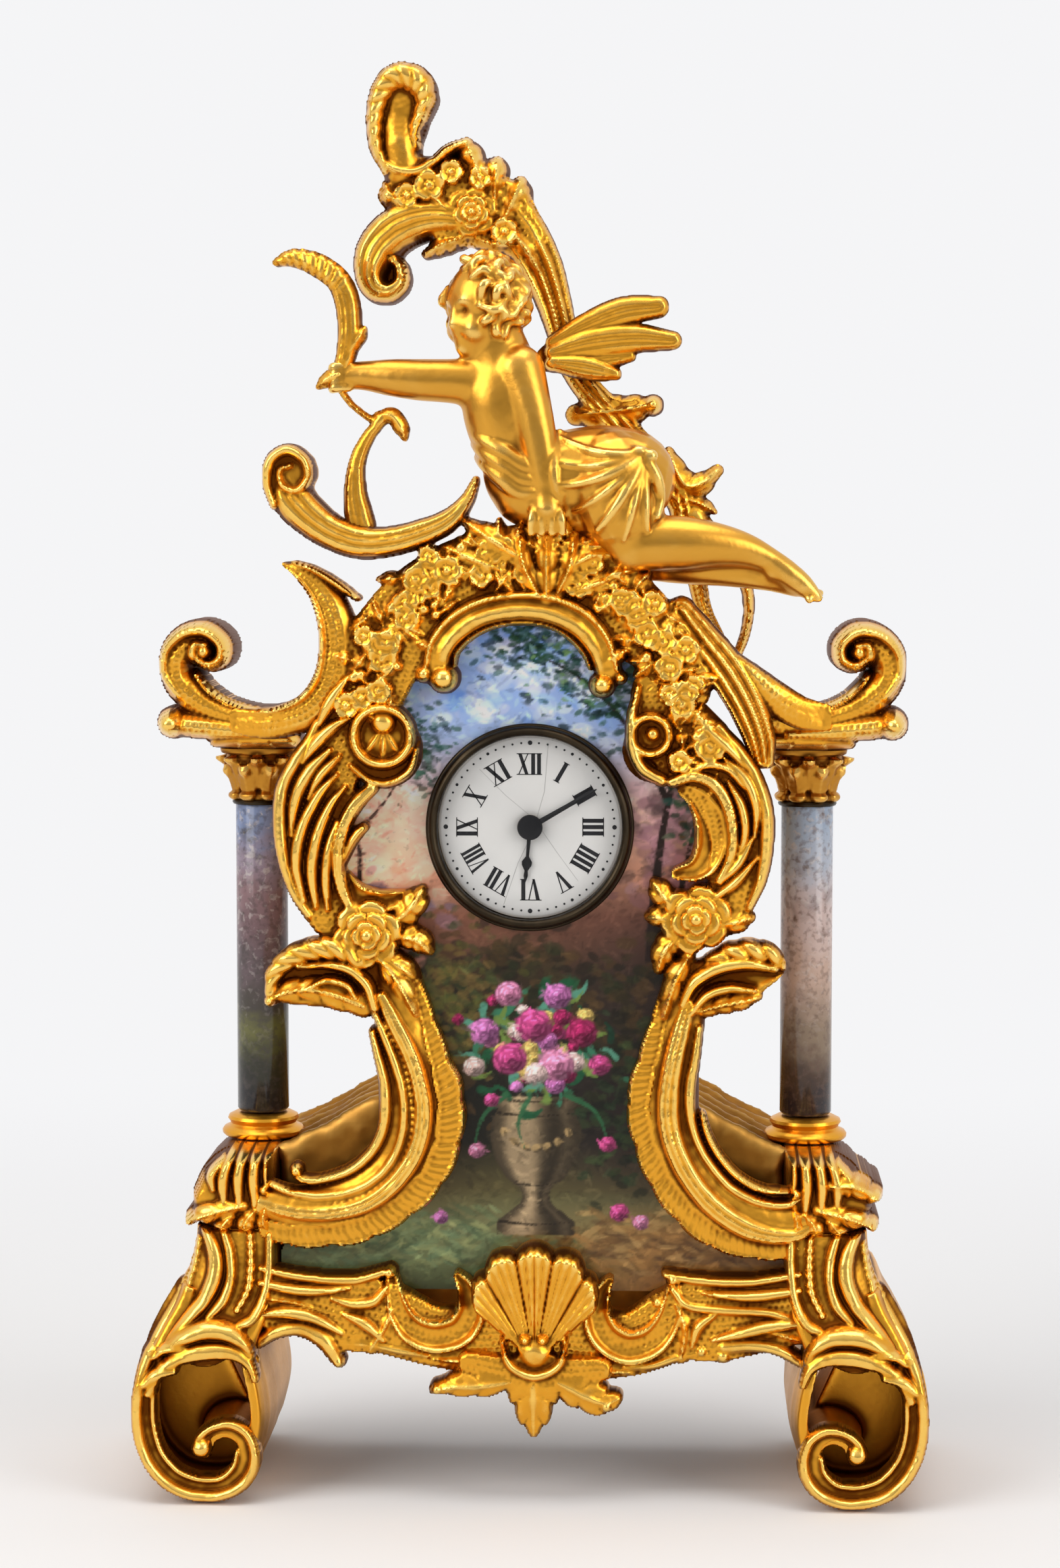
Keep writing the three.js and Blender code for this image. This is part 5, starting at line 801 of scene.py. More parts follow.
shell = {
    "grid": (-18, 18, 9, 46, 0.2), "form": (-17.4, castBack - 1),
    "layers": [(stippled, "skirt"), (leafy(3, 0.22, 0.1), "leaves"), (shellFan, "fan"), (lump, "knobs"),
        (rounded, "hem")],
    "reach": [(-48, 14.6), (-36, 17.8), (-22, 20), (0, 20.6), (22, 20), (36, 17.8), (48, 14.8)],
    "rise": [(0, 3.2), (0.3, 3.1), (0.55, 3.4), (0.8, 4.3), (0.93, 4.8), (1, 3.2)],
    "skirt": [(-10, 23.6, 2.2, 2.4), (-4, 22.4, 2.8, 2.8), (1, 22, 3.2, 3), (6, 22.2, 3, 2.8),
        (12, 22.6, 2.2, 2.4)],
    "leaves": [[(0.8, 22.6, 3, 3), (0.8, 18.6, 4.6, 3.4), (0.8, 15.2, 3.2, 3), (0.8, 11.4, 0.8, 2.2)],
        [(-3, 20.6, 2, 3), (-8, 19.9, 2.5, 3.4), (-12.6, 19.7, 2.1, 3.2), (-16, 18.9, 1, 2.6)],
        [(5, 20.6, 2.4, 3), (9, 18.6, 3.3, 3.4), (12.6, 17.2, 2.6, 3.2), (14.8, 17.8, 1.1, 2.6)]],
    "fan": [(1.0, 23.4, 48.0, 5)],
    "knobs": [(1, 25.4, 3.4, 4), (-0.6, 28, 1.2, 4.8), (2.4, 28, 1.2, 4.8), (13, 16.6, 1.3, 3.6),
        (-15.4, 19.2, 1.3, 3.4)],
    "hem": [(-4.4, 27.6, 0.7, 3.8), (-3, 23.6, 0.9, 4.2), (1, 21.8, 1, 4.4), (5, 23.6, 0.9, 4.2),
        (6.2, 27.8, 0.7, 3.8)],
}
castDrawing("shellCast", "shell_mount", shell)
print("apron and shell made")

# Crest behind the figure
crest = {
    "grid": (-32, 40, 134, 242), "form": (-4.4, -4.0, 0.5, 1.6),
    "layers": [(fluted, "stem strut"), (rounded, "loop"), (stippled, "body"), (rounded, "hood"),
        (lined, "volute"), (lump, "lobes tipKnob"), (leafy(4, 0.16), "leaves"),
        (gadroons(2.2, 0.6, 0.04, 0.05), "roll"), (rounded, "collar"), (flower, "blooms"),
        (lump, "voluteEye"), (rosette, "rosettes")],
    "loop": [(34, 140.4, 0.9, 3.2), (35.7, 144.8, 1, 3.6), (36.3, 149.4, 1.1, 3.8), (35.4, 154, 1.3, 3.8),
        (31, 160, 1.8, 4), (27, 164.6, 2.2, 4.2)],
    "strut": [(33, 141.6, 0.8, 3.2), (30.8, 145, 1.3, 3.8), (28.8, 149, 1.5, 4), (27.6, 154, 1.8, 4),
        (26, 161, 2.2, 4.2), (24.6, 168, 2.4, 4.4)],
    "stem": [(24.6, 167, 2.4, 4.4), (19, 175, 2.6, 4.6), (11.6, 183, 2.6, 4.8), (7, 189, 2.4, 4.8),
        (5, 195, 2.7, 5), (3.4, 200.6, 3.2, 5.2), (1.2, 206.4, 3.9, 5.4), (-2, 211.8, 4.4, 5.6),
        (-6.6, 216.4, 4.8, 5.6), (-12, 219.2, 4.6, 5.6), (-18, 219.8, 4.6, 5.4)],
    "body": [(-23.8, 217.6, 2, 5), (-18.6, 216.6, 4.6, 5.4), (-11.6, 216, 6.6, 5.6), (-5.4, 214.6, 5.8, 5.4),
        (-1.4, 211, 4, 5.2)],
    "hood": [(-21.2, 221.6, 3.6, 6), (-21.8, 226, 3.6, 6.4), (-21.8, 230.4, 4.9, 5.4),
        (-21.4, 234.4, 5.2, 6)],
    "roll": [(-24.2, 221.8, 1, 6.2), (-25.8, 225.6, 1.4, 7), (-26, 230.4, 1.7, 7.6), (-24.9, 234.4, 2.1, 8),
        (-22.2, 237, 2.5, 8.4), (-18.8, 236.2, 2.6, 8.4), (-17.4, 233.4, 2, 8), (-18.2, 230.6, 1.4, 7.2),
        (-19.2, 228.4, 1, 6.6), (-19, 225.6, 0.9, 6.2)],
    "volute": [(-10.6, 213.4, 2.6, 6), (-16.6, 213.8, 3.4, 6.6), (-22, 212.2, 4, 7), (-25.6, 208.8, 3.8, 7.2),
        (-26.9, 205, 2.9, 7.2), (-26, 202.3, 2.4, 7), (-23.6, 201.6, 1.9, 6.8), (-21.6, 203.2, 1.6, 6.6),
        (-21.8, 206, 1.4, 6.4), (-23.4, 207.2, 1, 6)],
    "collar": [(-25.2, 223.8, 0.8, 5.8), (-22.8, 221.8, 1.1, 6.4), (-19.2, 221.3, 1.2, 6.6),
        (-16.4, 222.8, 1.2, 6.6), (-13.8, 225, 1.3, 6.6), (-10.8, 226.2, 1.2, 6.4)],
    "leaves": [[(-8, 218, 1.4, 6), (-9, 221.8, 2, 6.8), (-10.6, 225.8, 1.2, 6)],
        [(-6, 216.4, 1.4, 6), (-5.8, 220, 2, 6.8), (-5.6, 223.2, 1, 6)],
        [(-4.6, 213, 1.4, 6), (-3, 216.6, 2, 6.8), (-1.8, 219.8, 1.2, 6)],
        [(-13, 214, 1.6, 5.8), (-16.4, 217.4, 2.4, 6.4), (-19.6, 220, 0.8, 5.4)],
        [(-19.6, 213.8, 1.4, 5.8), (-22.4, 216.4, 1.9, 6.2), (-24.4, 219.4, 0.8, 5.2)],
        [(-10, 210.8, 1.4, 5.4), (-14.4, 209.6, 1.9, 5.8), (-17.6, 208, 1, 5)],
        [(1.4, 204.8, 1.2, 5.6), (-1.6, 209.6, 1.9, 6.2), (-5.4, 213, 0.7, 5.4)],
        [(-1.4, 209, 1.2, 5.4), (-7, 209.6, 1.9, 5.6), (-11, 211.6, 0.8, 5)],
        [(7.4, 181.4, 2, 4), (12.4, 181.8, 3.1, 4.6), (17, 182.4, 2.6, 4.8), (20.6, 183.2, 1.6, 4.4)],
        [(22.8, 175.4, 1, 3.8), (25.2, 170, 2.8, 4.4), (28, 169.8, 2.3, 4.6), (31, 172.2, 1.2, 4)],
        [(25, 167.6, 1.8, 4), (28.6, 166.4, 1.5, 4), (30.6, 165.2, 0.6, 3.4)]],
    "lobes": [(-10.2, 224.2, 2.6, 6), (-6, 221.8, 2.5, 6), (-2.3, 218, 2.7, 6), (-13.4, 222.2, 2.2, 6),
        (-23.6, 217.4, 2, 6)],
    "tipKnob": [(20.2, 183, 2, 5.4)],
    "blooms": [(-16.8, 219, 2.7, 5, 1.6, 5.5, 0.4), (-13.2, 221.2, 2.2, 5, 1.6, 5.5, 1.1),
        (-20.6, 217.4, 2.2, 5, 1.6, 5.5, 0.2), (-4.4, 211.4, 2.4, 5, 1.6, 5.5, 0.7),
        (-8.4, 220.2, 2, 5, 1.6, 5.5, 0.9)],
    "voluteEye": [(-23.7, 204.8, 2.2, 0.6, 2.6)], "rosettes": [(-9.8, 214.6, 4.2, 4.9)],
}
castDrawing("crestCast", "crest", crest)
print("crest made")

# Rolled brackets on the capitals
arm = {
    "grid": (-66, -38, 124, 149), "form": (-8.8, -1.6, 0.8, 2.4),
    "layers": [(scaly, "body leaf"), (rounded, "seat edge coil"), (lump, "knobs")],
    "body": [(-36, 131.4, 3.2, 4), (-44, 130.4, 2.6, 4), (-50, 131.4, 2.6, 4.2), (-55.6, 133.6, 3, 4.4),
        (-59.2, 137.4, 3.2, 4.8), (-58.8, 142, 3.2, 5.2), (-55, 144, 2.8, 5.4)],
    "coil": [(-58.8, 134.6, 0.9, 4.8), (-61.3, 138.6, 1.2, 5.6), (-60.8, 142.6, 1.4, 6.4),
        (-57.8, 145.4, 1.6, 7), (-54, 145.8, 1.7, 7.4), (-51.2, 143.6, 1.6, 7.4), (-51.3, 140.8, 1.5, 7.2),
        (-53.6, 139.6, 1.3, 7), (-56, 141, 1.2, 6.8), (-55.8, 143.2, 1, 6.8), (-54, 143.2, 0.8, 6.8)],
    "edge": [(-38, 134, 0.8, 4.6), (-44, 132, 0.8, 4.8), (-50, 133.3, 0.8, 5), (-53.8, 135.6, 0.8, 5.2),
        (-56, 138.4, 0.7, 5)],
    "seat": [(-40, 127, 1.5, 3.6), (-46, 126.9, 1.5, 3.8), (-53, 127, 1.5, 3.6)],
    "leaf": [(-43, 128.4, 1.2, 4.2), (-50, 128.9, 1.9, 4.8), (-56, 129.4, 2.4, 5.4), (-60.4, 130, 2.2, 5.4)],
    "knobs": [(-60.2, 130, 3, 7.2), (-54.4, 142.1, 2, 6.6)],
}
for word, _, flip in bothSides:
    castDrawing(word + "ArmCast", word + "_arm", arm, flip)
print("arms made")

# Leafy shoulders under the columns, with one leaf more on the right
shoulder = {
    "grid": (-61, -42.5, 43.6, 58.5, 0.2), "form": (-13.6, 8.0, 0.5, 2.0),
    "layers": [(rounded, "block ribs"), (leafy(3, 0.16), "leaves"), (lump, "knobs")],
    "block": [(-43.6, 51, 7.2, 3.2), (-48.4, 51.4, 7.6, 3.4), (-52, 49.6, 5.6, 3)],
    "ribs": [[(-43.6, 58, 1, 4.4), (-43.8, 54.6, 1.2, 4.8), (-43.6, 51, 0.9, 4.2)],
        [(-45.8, 58.2, 1, 4.6), (-46.2, 54, 1.3, 5.2), (-46, 49.6, 0.9, 4.4)],
        [(-48, 58.2, 1, 4.6), (-48.7, 54, 1.3, 5.2), (-48.6, 49.4, 0.9, 4.4)],
        [(-50, 57.8, 0.9, 4.4), (-51.2, 54, 1.3, 5), (-51.2, 50, 0.9, 4.2)],
        [(-51.4, 57, 0.8, 4), (-53.2, 54.6, 1.1, 4.4), (-53, 52, 0.7, 3.8)]],
    "leaves": [[(-48, 49.4, 1.2, 4.6), (-51.8, 48.6, 1.9, 5), (-55, 47.6, 1.7, 4.8), (-57.6, 46.4, 1, 4.2)],
        [(-46, 48.6, 1, 4.4), (-47.6, 46.6, 1.7, 4.8), (-47.6, 44.6, 0.7, 4)],
        [(-50, 47.6, 1, 4.4), (-51.6, 45.8, 1.5, 4.6), (-52, 44.2, 0.7, 3.8)],
        [(-44, 49.6, 1, 4.4), (-44.6, 47, 1.5, 4.8), (-43.6, 44.8, 0.7, 4)]],
    "knobs": [(-57.2, 46.5, 1.6, 5), (-44.4, 52.2, 1.3, 5)],
    "rightLayers": [(lump, "rightKnob"), (leafy(3, 0.15), "rightLeaf")],
    "rightKnob": [(-57.6, 51.6, 1.9, 4.8)],
    "rightLeaf": [(-50, 53.6, 1.2, 4.8), (-54, 53.6, 2.2, 5.2), (-58.2, 51.6, 1.2, 4.4)],
}
for word, _, flip in bothSides:
    castDrawing(word + "ShoulderCast", word + "_shoulder", shoulder, flip)
print("shoulders made")


# Rounded volumes: closed ovals, limbs, sheets and lofts that a voxel remesh joins into one casting
def tubeFaces(rings, sides):
    faces = []
    for i in range(rings - 1):
        for j in range(sides):
            a, b = i * sides + j, i * sides + (j + 1) % sides
            faces.append((a, b, b + sides, a + sides))
    return faces + [tuple(range(sides))[::-1], tuple(range((rings - 1) * sides, rings * sides))]


def ovalMesh(centre, radii, wide=28, tall=16):
    places = []
    for i in range(tall + 1):
        lift = math.pi * i / tall
        for j in range(wide):
            a = 2 * math.pi * j / wide
            places.append((centre[0] + radii[0] * math.sin(lift) * math.cos(a),
                           centre[1] + radii[1] * math.sin(lift) * math.sin(a),
                           centre[2] + radii[2] * math.cos(lift)))
    return places, tubeFaces(tall + 1, wide)


def limbMesh(points, sides=20):
    fine = smoothLine(points)
    ahead = headings(fine[:, :3])
    rings = [(p[:3], a, p[3]) for p, a in zip(fine, ahead)]
    for end, direction in ((0, -1), (-1, 1)):
        caps = [(fine[end, :3] + ahead[end] * direction * fine[end, 3] * math.sin(a), ahead[end],
                 fine[end, 3] * math.cos(a)) for a in np.linspace(0.3, 1.5, 5)]
        rings = caps[::-1] + rings if direction < 0 else rings + caps
    places = []
    for centre, heading, radius in rings:
        first = np.cross(heading, (0.1, 1, 0.05))
        first /= np.linalg.norm(first)
        second = np.cross(heading, first)
        for j in range(sides):
            a = 2 * math.pi * j / sides
            places.append(tuple(centre + radius * (first * math.cos(a) + second * math.sin(a))))
    return places, tubeFaces(len(rings), sides)


def meshArrays(piece):
    mesh = piece.data
    co = np.empty(len(mesh.vertices) * 3)
    mesh.vertices.foreach_get("co", co)
    normal = np.empty(len(mesh.vertices) * 3)
    mesh.vertices.foreach_get("normal", normal)
    return co.reshape(-1, 3), normal.reshape(-1, 3)


def moveMesh(piece, co):
    piece.data.vertices.foreach_set("co", co.ravel())
    piece.data.update()


# Hollow share on a mesh: above zero in recesses, below zero on ridges; the gilt materials paint shade and
# highlight from it
def hollowOfMesh(piece, passes, gain, tone=0.0):
    co, normal = meshArrays(piece)
    edges = np.empty(len(piece.data.edges) * 2, int)
    piece.data.edges.foreach_get("vertices", edges)
    edges = edges.reshape(-1, 2)
    degree = np.bincount(edges.ravel(), minlength=len(co))[:, None]
    soft = co.copy()
    for _ in range(passes):
        soft = neighbourSums(soft, edges) / np.maximum(degree, 1)
    markHollow(piece, np.clip(((soft - co) * normal).sum(1) * gain + tone, -1, 1))


def merged(name, parts):
    places = []
    faces = []
    for partPlaces, partFaces in parts:
        start = len(places)
        places += [(x * mm, y * mm, z * mm) for x, y, z in partPlaces]
        faces += [tuple(start + i for i in face) for face in partFaces]
    return newPiece(name, places, faces)


def remeshed(name, parts, voxel, smoothing):
    piece = merged(name, parts)
    turnOutward(piece)
    remesh = piece.modifiers.new("union", "REMESH")
    remesh.mode = "VOXEL"
    remesh.voxel_size = voxel * mm
    bpy.ops.object.modifier_apply(modifier="union")
    smooth = piece.modifiers.new("smooth", "SMOOTH")
    smooth.factor = 0.5
    smooth.iterations = smoothing
    bpy.ops.object.modifier_apply(modifier="smooth")
    return piece


def dab(piece, centre, radius, push):
    co, normal = meshArrays(piece)
    far = np.linalg.norm(co / mm - np.array(centre), axis=1)
    moveMesh(piece, co + (np.exp(-(far / radius)**2) * push * mm)[:, None] * normal)


# Rolled feet: a sheet swept along the roll, its hollow closed half way back, and the leg above
foot = {
    "grid": (-68, -42, -0.6, 45.2, 0.22),
    "layers": [(stippled, "leg"), (rounded, "ring rims"), (gadroons(1.4, 0, 0.3), "beads"), (lump, "knob")],
    "roll": [(-58.2, 36), (-59.6, 32.6), (-62, 28.4), (-64.2, 23.5), (-65.3, 17.5), (-65.2, 11.5),
        (-63.2, 6.2), (-59.4, 2.6), (-54.8, 1.5), (-50, 2.2), (-46.9, 4.9), (-46, 8.6), (-47.4, 11.7),
        (-50.4, 13.1), (-53.6, 12.1), (-55.2, 9.8), (-54.2, 8.2)],
    "cheek": [(-45.6, 28), (-46, 24), (-44.8, 19), (-44.3, 14), (-45.1, 9.4), (-46.2, 7)],
    "depth": [(0, 21.4), (21, 21.4), (34, 17.6), (48, 16.4)], "thickness": 0.9, "web": 7.0,
    "outer": [(23, -64.4), (27, -62.4), (30, -60.8), (33, -59.2), (36, -58.1), (40, -57), (44, -56.6),
        (45.2, -56.6)],
    "inner": [(23, -46.4), (27, -45.6), (30, -44.2), (34, -42.9), (40, -42.5), (45.2, -42.7)],
    "front": [(23, -15), (25, -18.6), (27, -20.2), (30, -19.4), (34, -17.4), (40, -16.2), (45.2, -15.6)],
    "roof": [(-62, -18.4, 22.6, 1.2), (-58.6, -18.6, 25.4, 1.6), (-54, -18.6, 26.6, 1.8),
        (-49.6, -18.6, 26.2, 1.8), (-46.4, -18.4, 23.6, 1.3)],
    "plane": [(0, -20.6), (20, -20.6), (25, -19.6), (27, -19.8), (30, -19), (34, -17), (40, -15.8),
        (45.2, -15.2)],
    "corner": 5.2,
    "ring": [(-58.4, 34.6, 1.9, 0.9), (-61, 30, 2, 1), (-63, 25, 2, 1), (-64, 19, 2, 1), (-64.1, 13, 2, 1),
        (-62.6, 7.8, 2, 1), (-59.6, 4, 2, 1), (-55.4, 2.4, 2, 1), (-51.2, 2.6, 2, 1), (-48.2, 4.9, 1.9, 1),
        (-47.2, 8.4, 1.7, 1), (-48.2, 11.2, 1.5, 1), (-50.6, 12.4, 1.3, 1), (-53.2, 11.6, 1.2, 1),
        (-54.4, 9.6, 1, 1)],
    "rims": [[(-57.6, 36, 0.8, 2), (-59.8, 32, 0.9, 2.2), (-62.5, 27, 1, 2.4), (-64.5, 22, 1.1, 2.4),
        (-65.5, 16.5, 1.1, 2.4), (-65.2, 11, 1.1, 2.4), (-63.4, 6.3, 1.1, 2.4), (-60.3, 2.9, 1.1, 2.4),
        (-56.3, 1.2, 1.1, 2.4), (-51.9, 1.1, 1.1, 2.4), (-48.2, 2.7, 1.1, 2.4), (-46, 5.6, 1.1, 2.4),
        (-45.7, 8.9, 1, 2.4), (-46.9, 11.9, 1, 2.4), (-49.7, 13.5, 1, 2.4), (-53, 12.9, 0.9, 2.4),
        (-55.2, 10.8, 0.9, 2.4), (-55, 8.8, 0.8, 2.2)],
        [(-61.4, 25.4, 0.5, 1.6), (-62.4, 20, 0.7, 2), (-62.6, 14, 0.7, 2), (-61.4, 9, 0.7, 2),
        (-58.6, 5.5, 0.7, 2), (-55, 4.1, 0.7, 2), (-51.6, 4.3, 0.7, 2), (-49.4, 6.2, 0.6, 1.8),
        (-48.8, 8.6, 0.5, 1.6)],
        [(-63.4, 18.6, 0.9, 2.4), (-61.2, 22.4, 1.3, 3), (-57.8, 24.6, 1.5, 3.2), (-53.6, 25.6, 1.6, 3.3),
        (-49.6, 25.4, 1.5, 3.2), (-46.8, 23.8, 1.2, 2.8), (-45.6, 21, 0.9, 2.2)],
        [(-60.8, 25.6, 0.8, 2.6), (-57.4, 28, 1.4, 3.3), (-53.6, 29.2, 1.7, 3.6), (-50, 28.8, 1.6, 3.5),
        (-47.4, 27, 1.2, 3), (-46.2, 24.8, 0.8, 2.4)],
        [(-64.2, 20, 0.8, 2.6), (-62, 21.8, 1.2, 3.4), (-59, 22.4, 0.9, 3)],
        [(-62.6, 24.6, 0.7, 2.4), (-60, 26.2, 1.1, 3), (-57, 26, 0.8, 2.6)],
        [(-54.6, 45.2, 0.9, 2.2), (-53, 41.6, 1.3, 2.6), (-52.7, 38, 1.4, 2.7), (-54.2, 34.2, 1.3, 2.7),
        (-57, 30.8, 1.1, 2.5), (-60.4, 27, 0.8, 2)],
        [(-51.4, 45.2, 0.7, 2), (-50.3, 41.4, 0.9, 2.3), (-50.1, 37.4, 0.9, 2.4), (-51.2, 33.8, 1, 2.4),
        (-53.6, 31, 0.7, 2.2)],
        [(-43.6, 45.2, 0.8, 2), (-43.5, 40, 1, 2.3), (-44.1, 35, 1, 2.4), (-46, 31, 1, 2.4),
        (-48.8, 29.6, 0.7, 2.2)]],
    "leg": [(-49.6, 46, 6.6, 0.9), (-50, 40, 6.8, 1), (-51.6, 34, 6.6, 1), (-54.4, 29, 6.4, 1)],
    "beads": [[(-46.9, 44.8, 0.6, 2.1), (-46.7, 40, 0.7, 2.3), (-47.1, 35.6, 0.7, 2.3),
        (-48.8, 32.2, 0.6, 2.1)], [(-56, 43, 0.7, 1.9), (-57, 38.4, 0.8, 2.1), (-59, 33.8, 0.8, 2.1)]],
    "knob": [(-54.6, 9.4, 2, 3)],
}


def sheetMesh(points, inward):
    line = smoothLine(points, 6)
    ahead = headings(line)
    side = np.column_stack([-ahead[:, 1], ahead[:, 0]]) * inward
    wide = foot["thickness"]
    shares = np.array([-1, -0.97, -0.9, -0.75, -0.4, 0, 0.4, 0.75, 0.9, 0.97, 1])
    places = []
    for (x, z), (sx, sz) in zip(line, side):
        depth = along(foot["depth"], z)
        inset = 1.5 * np.abs(shares)**5
        for offset, order in ((-wide, shares), (wide, shares[::-1])):
            for share, bend in zip(order, inset if offset < 0 else inset[::-1]):
                shift = offset * (0.8 if abs(share) == 1 else 1) + bend
                places.append((x + sx * shift, share * depth, z + sz * shift))
    return places, tubeFaces(len(line), 2 * len(shares))


def legMesh(side):
    places = []
    levels = np.linspace(23, 45.2, 16)
    turns = np.linspace(0, math.pi / 2, 6)
    for z in levels:
        outer, inner, front = (along(foot[key], z) for key in ("outer", "inner", "front"))
        ring = []
        for x, y, way, radius in ((inner, front, (1, -1), 1.6), (outer, front, (-1, -1), foot["corner"]),
                                  (outer, 14, (-1, 1), 2.5), (inner, 14, (1, 1), 2.5)):
            arc = [(x - way[0] * radius * (1 - math.sin(a)), y - way[1] * radius * (1 - math.cos(a)))
                   for a in turns]
            ring += arc if way[0] * way[1] > 0 else arc[::-1]
        places += [(side * -x, y, z) for x, y in ring[::-1]]
    return places, tubeFaces(len(levels), len(ring))


def webMesh(points):
    line = smoothLine(points, 4)
    places = [(x, y, z) for y in (-foot["web"], foot["web"]) for x, z in line]
    return places, tubeFaces(2, len(line))


for word, side, flip in bothSides:
    roll = flip(foot["roll"])
    lip = [(x, 1.4 - along(foot["depth"], z), z, 1.2) for x, z in smoothLine(roll, 3)[9:]]
    parts = [sheetMesh(roll, -side), sheetMesh(flip(foot["cheek"]), side), legMesh(side), webMesh(roll[:12]),
             limbMesh(flip(foot["roof"])), limbMesh(lip, 14)]
    piece = remeshed(word + "FootCast", parts, voxel=0.4, smoothing=3)
    # The raised tone darkens the whole foot towards the recess colour: painted shade
    hollowOfMesh(piece, passes=10, gain=2400.0, tone=0.42)
    sheet = dressedSheet(foot, flip)
    gx, gz = np.meshgrid(np.abs(sheet["x"]), sheet["z"])
    past = np.clip((gx + along(foot["outer"], gz) + foot["corner"]) / foot["corner"], 0, 0.98) * (gz > 26)
    plane = along(foot["plane"], gz) + foot["corner"] * (1 - np.sqrt(1 - past**2))
    joinTo(piece, castPiece(word + "FootRelief", sheet, plane, plane + 2.2))
    settle(piece, gilt, [word + "_foot"], angle=180)
print("feet made")


# Turned pieces: a profile spun about an axis
def turned(name, profile, centre, axis, steps):
    places = [(Vector(centre) + Vector((1, 0, 0)) * r + Vector(axis) * a) * mm for r, a in profile]
    piece = newPiece(name, places, [], [(i, i + 1) for i in range(len(places) - 1)])
    choose(piece)
    bpy.ops.object.mode_set(mode="EDIT")
    bpy.ops.mesh.select_all(action="SELECT")
    bpy.ops.mesh.spin(steps=steps, angle=2 * math.pi, center=Vector(centre) * mm, axis=axis)
    bpy.ops.mesh.select_all(action="SELECT")
    bpy.ops.mesh.remove_doubles(threshold=1e-6)
    bpy.ops.object.mode_set(mode="OBJECT")
    turnOutward(piece)
    return piece


column = {
    "x": 46.5, "shoulder": 58.5,
    "foot": [(1.6, 0.1), (6.6, 0.1), (7, 0.5), (7.05, 1), (6.7, 1.5), (5.9, 1.8), (5.6, 2.2), (5.8, 2.6),
        (6.1, 3), (5.9, 3.5), (5.3, 3.8), (4.7, 4.1), (1.6, 4.1)],
    "shaft": [(1.6, 62.9), (4.1, 62.9), (4.4, 63.3), (4.4, 115.6), (4.1, 116), (1.6, 116)],
    "neck": [(4, 115.7), (4.8, 115.7), (5, 116.05), (4.8, 116.4), (4, 116.4), (4, 115.7)],
    "armSeat": [(1.6, 125.4), (5.9, 125.4), (6.2, 126), (5.9, 126.6), (5.2, 127), (4.8, 129), (1.6, 129),
        (1.6, 125.4)],
}


def columnMaterial(name, stops, shadow):
    made, place, shader = newMaterial(name, {"Coat Weight": 0.2, "Coat Roughness": 0.06,
                                             "Specular IOR Level": 0.3})
    upward = place.add("ShaderNodeSeparateXYZ", {}, {0: place}, "Z")
    drift = (noise(place, 95.0, 5.0, 0.8) - 0.5) * 0.012 + (noise(place, 420.0, 3.0) - 0.5) * 0.005
    height = upward + drift
    colour = stops[0][1]
    for (low, _), (high, tone) in zip(stops, stops[1:]):
        colour = height.between(low * mm, high * mm).blend(colour, tone)
    dapple = noise(place, 760.0, 3.0, 0.6).between(0.53, 0.66) * upward.between(66 * mm, 112 * mm) * 0.55
    colour = dapple.blend(colour, (0.62, 0.56, 0.53))
    coarse = noise(place, 260.0, 8.0, 0.6).between(0.5, 0.72)
    fine = noise(place, 980.0, 3.0).between(0.48, 0.66)
    (coarse * 0.5 + fine * 0.42).clamped().blend(colour, shadow).into(shader, "Base Color")
    (noise(place, 300.0) * 0.14 + 0.1).into(shader, "Roughness")
    return made


columnPaint = {
    "left": columnMaterial("leftColumnPaint", [
        (64, (0.015, 0.014, 0.016)), (70, (0.03, 0.03, 0.018)), (77, (0.13, 0.13, 0.04)),
        (82, (0.06, 0.05, 0.04)), (90, (0.13, 0.09, 0.1)), (100, (0.26, 0.16, 0.17)), (108, (0.3, 0.24, 0.3)),
        (113, (0.22, 0.28, 0.46))], (0.06, 0.05, 0.045)),
    "right": columnMaterial("rightColumnPaint", [
        (64, (0.02, 0.014, 0.018)), (69, (0.07, 0.04, 0.025)), (76, (0.25, 0.18, 0.12)),
        (86, (0.52, 0.36, 0.28)), (97, (0.6, 0.46, 0.42)), (107, (0.46, 0.5, 0.58)),
        (114, (0.36, 0.44, 0.56))], (0.13, 0.075, 0.055)),
}


def columnTurned(name, part, side, base, material, replaced):
    piece = turned(name, column[part], (side * column["x"], 0, base), (0, 0, 1), 48)
    settle(piece, material, replaced)


for word, side, _ in bothSides:
    columnTurned(word + "ColumnFoot", "foot", side, column["shoulder"], gilt, [word + "_column_foot"])
    columnTurned(word + "ColumnShaft", "shaft", side, 0, columnPaint[word], [word + "_column"])

# Capitals: acanthus leaves wrapped round a bell, under a four-cornered top
capital = {
    "low": 116.4, "tall": 9.2, "girth": 37.6, "lip": 0.84, "corners": 0.9,
    "bell": [(0, 4.5), (0.06, 5), (0.12, 4.9), (0.17, 4.2), (0.4, 4.4), (0.62, 5), (0.74, 5.9), (0.8, 6.1),
        (0.84, 5.8), (0.88, 6.9), (0.97, 7.1), (1, 6.8)],
    "lowLeaf": [(1.4, 1.8, 0.9), (3.4, 2.2, 1.3), (4.8, 1.5, 1.9)], "lowKnob": (4.9, 1.1, 2),
    "highLeaf": [(3.4, 1.4, 0.9), (5.6, 1.9, 1.3), (6.8, 1.2, 1.7)], "highKnob": (6.9, 1, 1.9),
}
sheet = newSheet(0, capital["girth"], 0, capital["tall"], 0.235)
for i in range(-1, 10):
    for shift, leaf, knob in ((0.5, "lowLeaf", "lowKnob"), (0, "highLeaf", "highKnob")):
        x = (i + shift) * capital["girth"] / 8
        band(sheet, [(x,) + row for row in capital[leaf]], leafy(3, 0.25))
        lump(sheet, x, *capital[knob])
everywhere = np.ones_like(sheet["h"], bool)
sheet["h"] = blurred(sheet["h"], everywhere, 0.6)
marks = hollowOf(sheet, everywhere)
around = 2 * np.pi * sheet["x"] / capital["girth"]
share = sheet["z"] / capital["tall"]
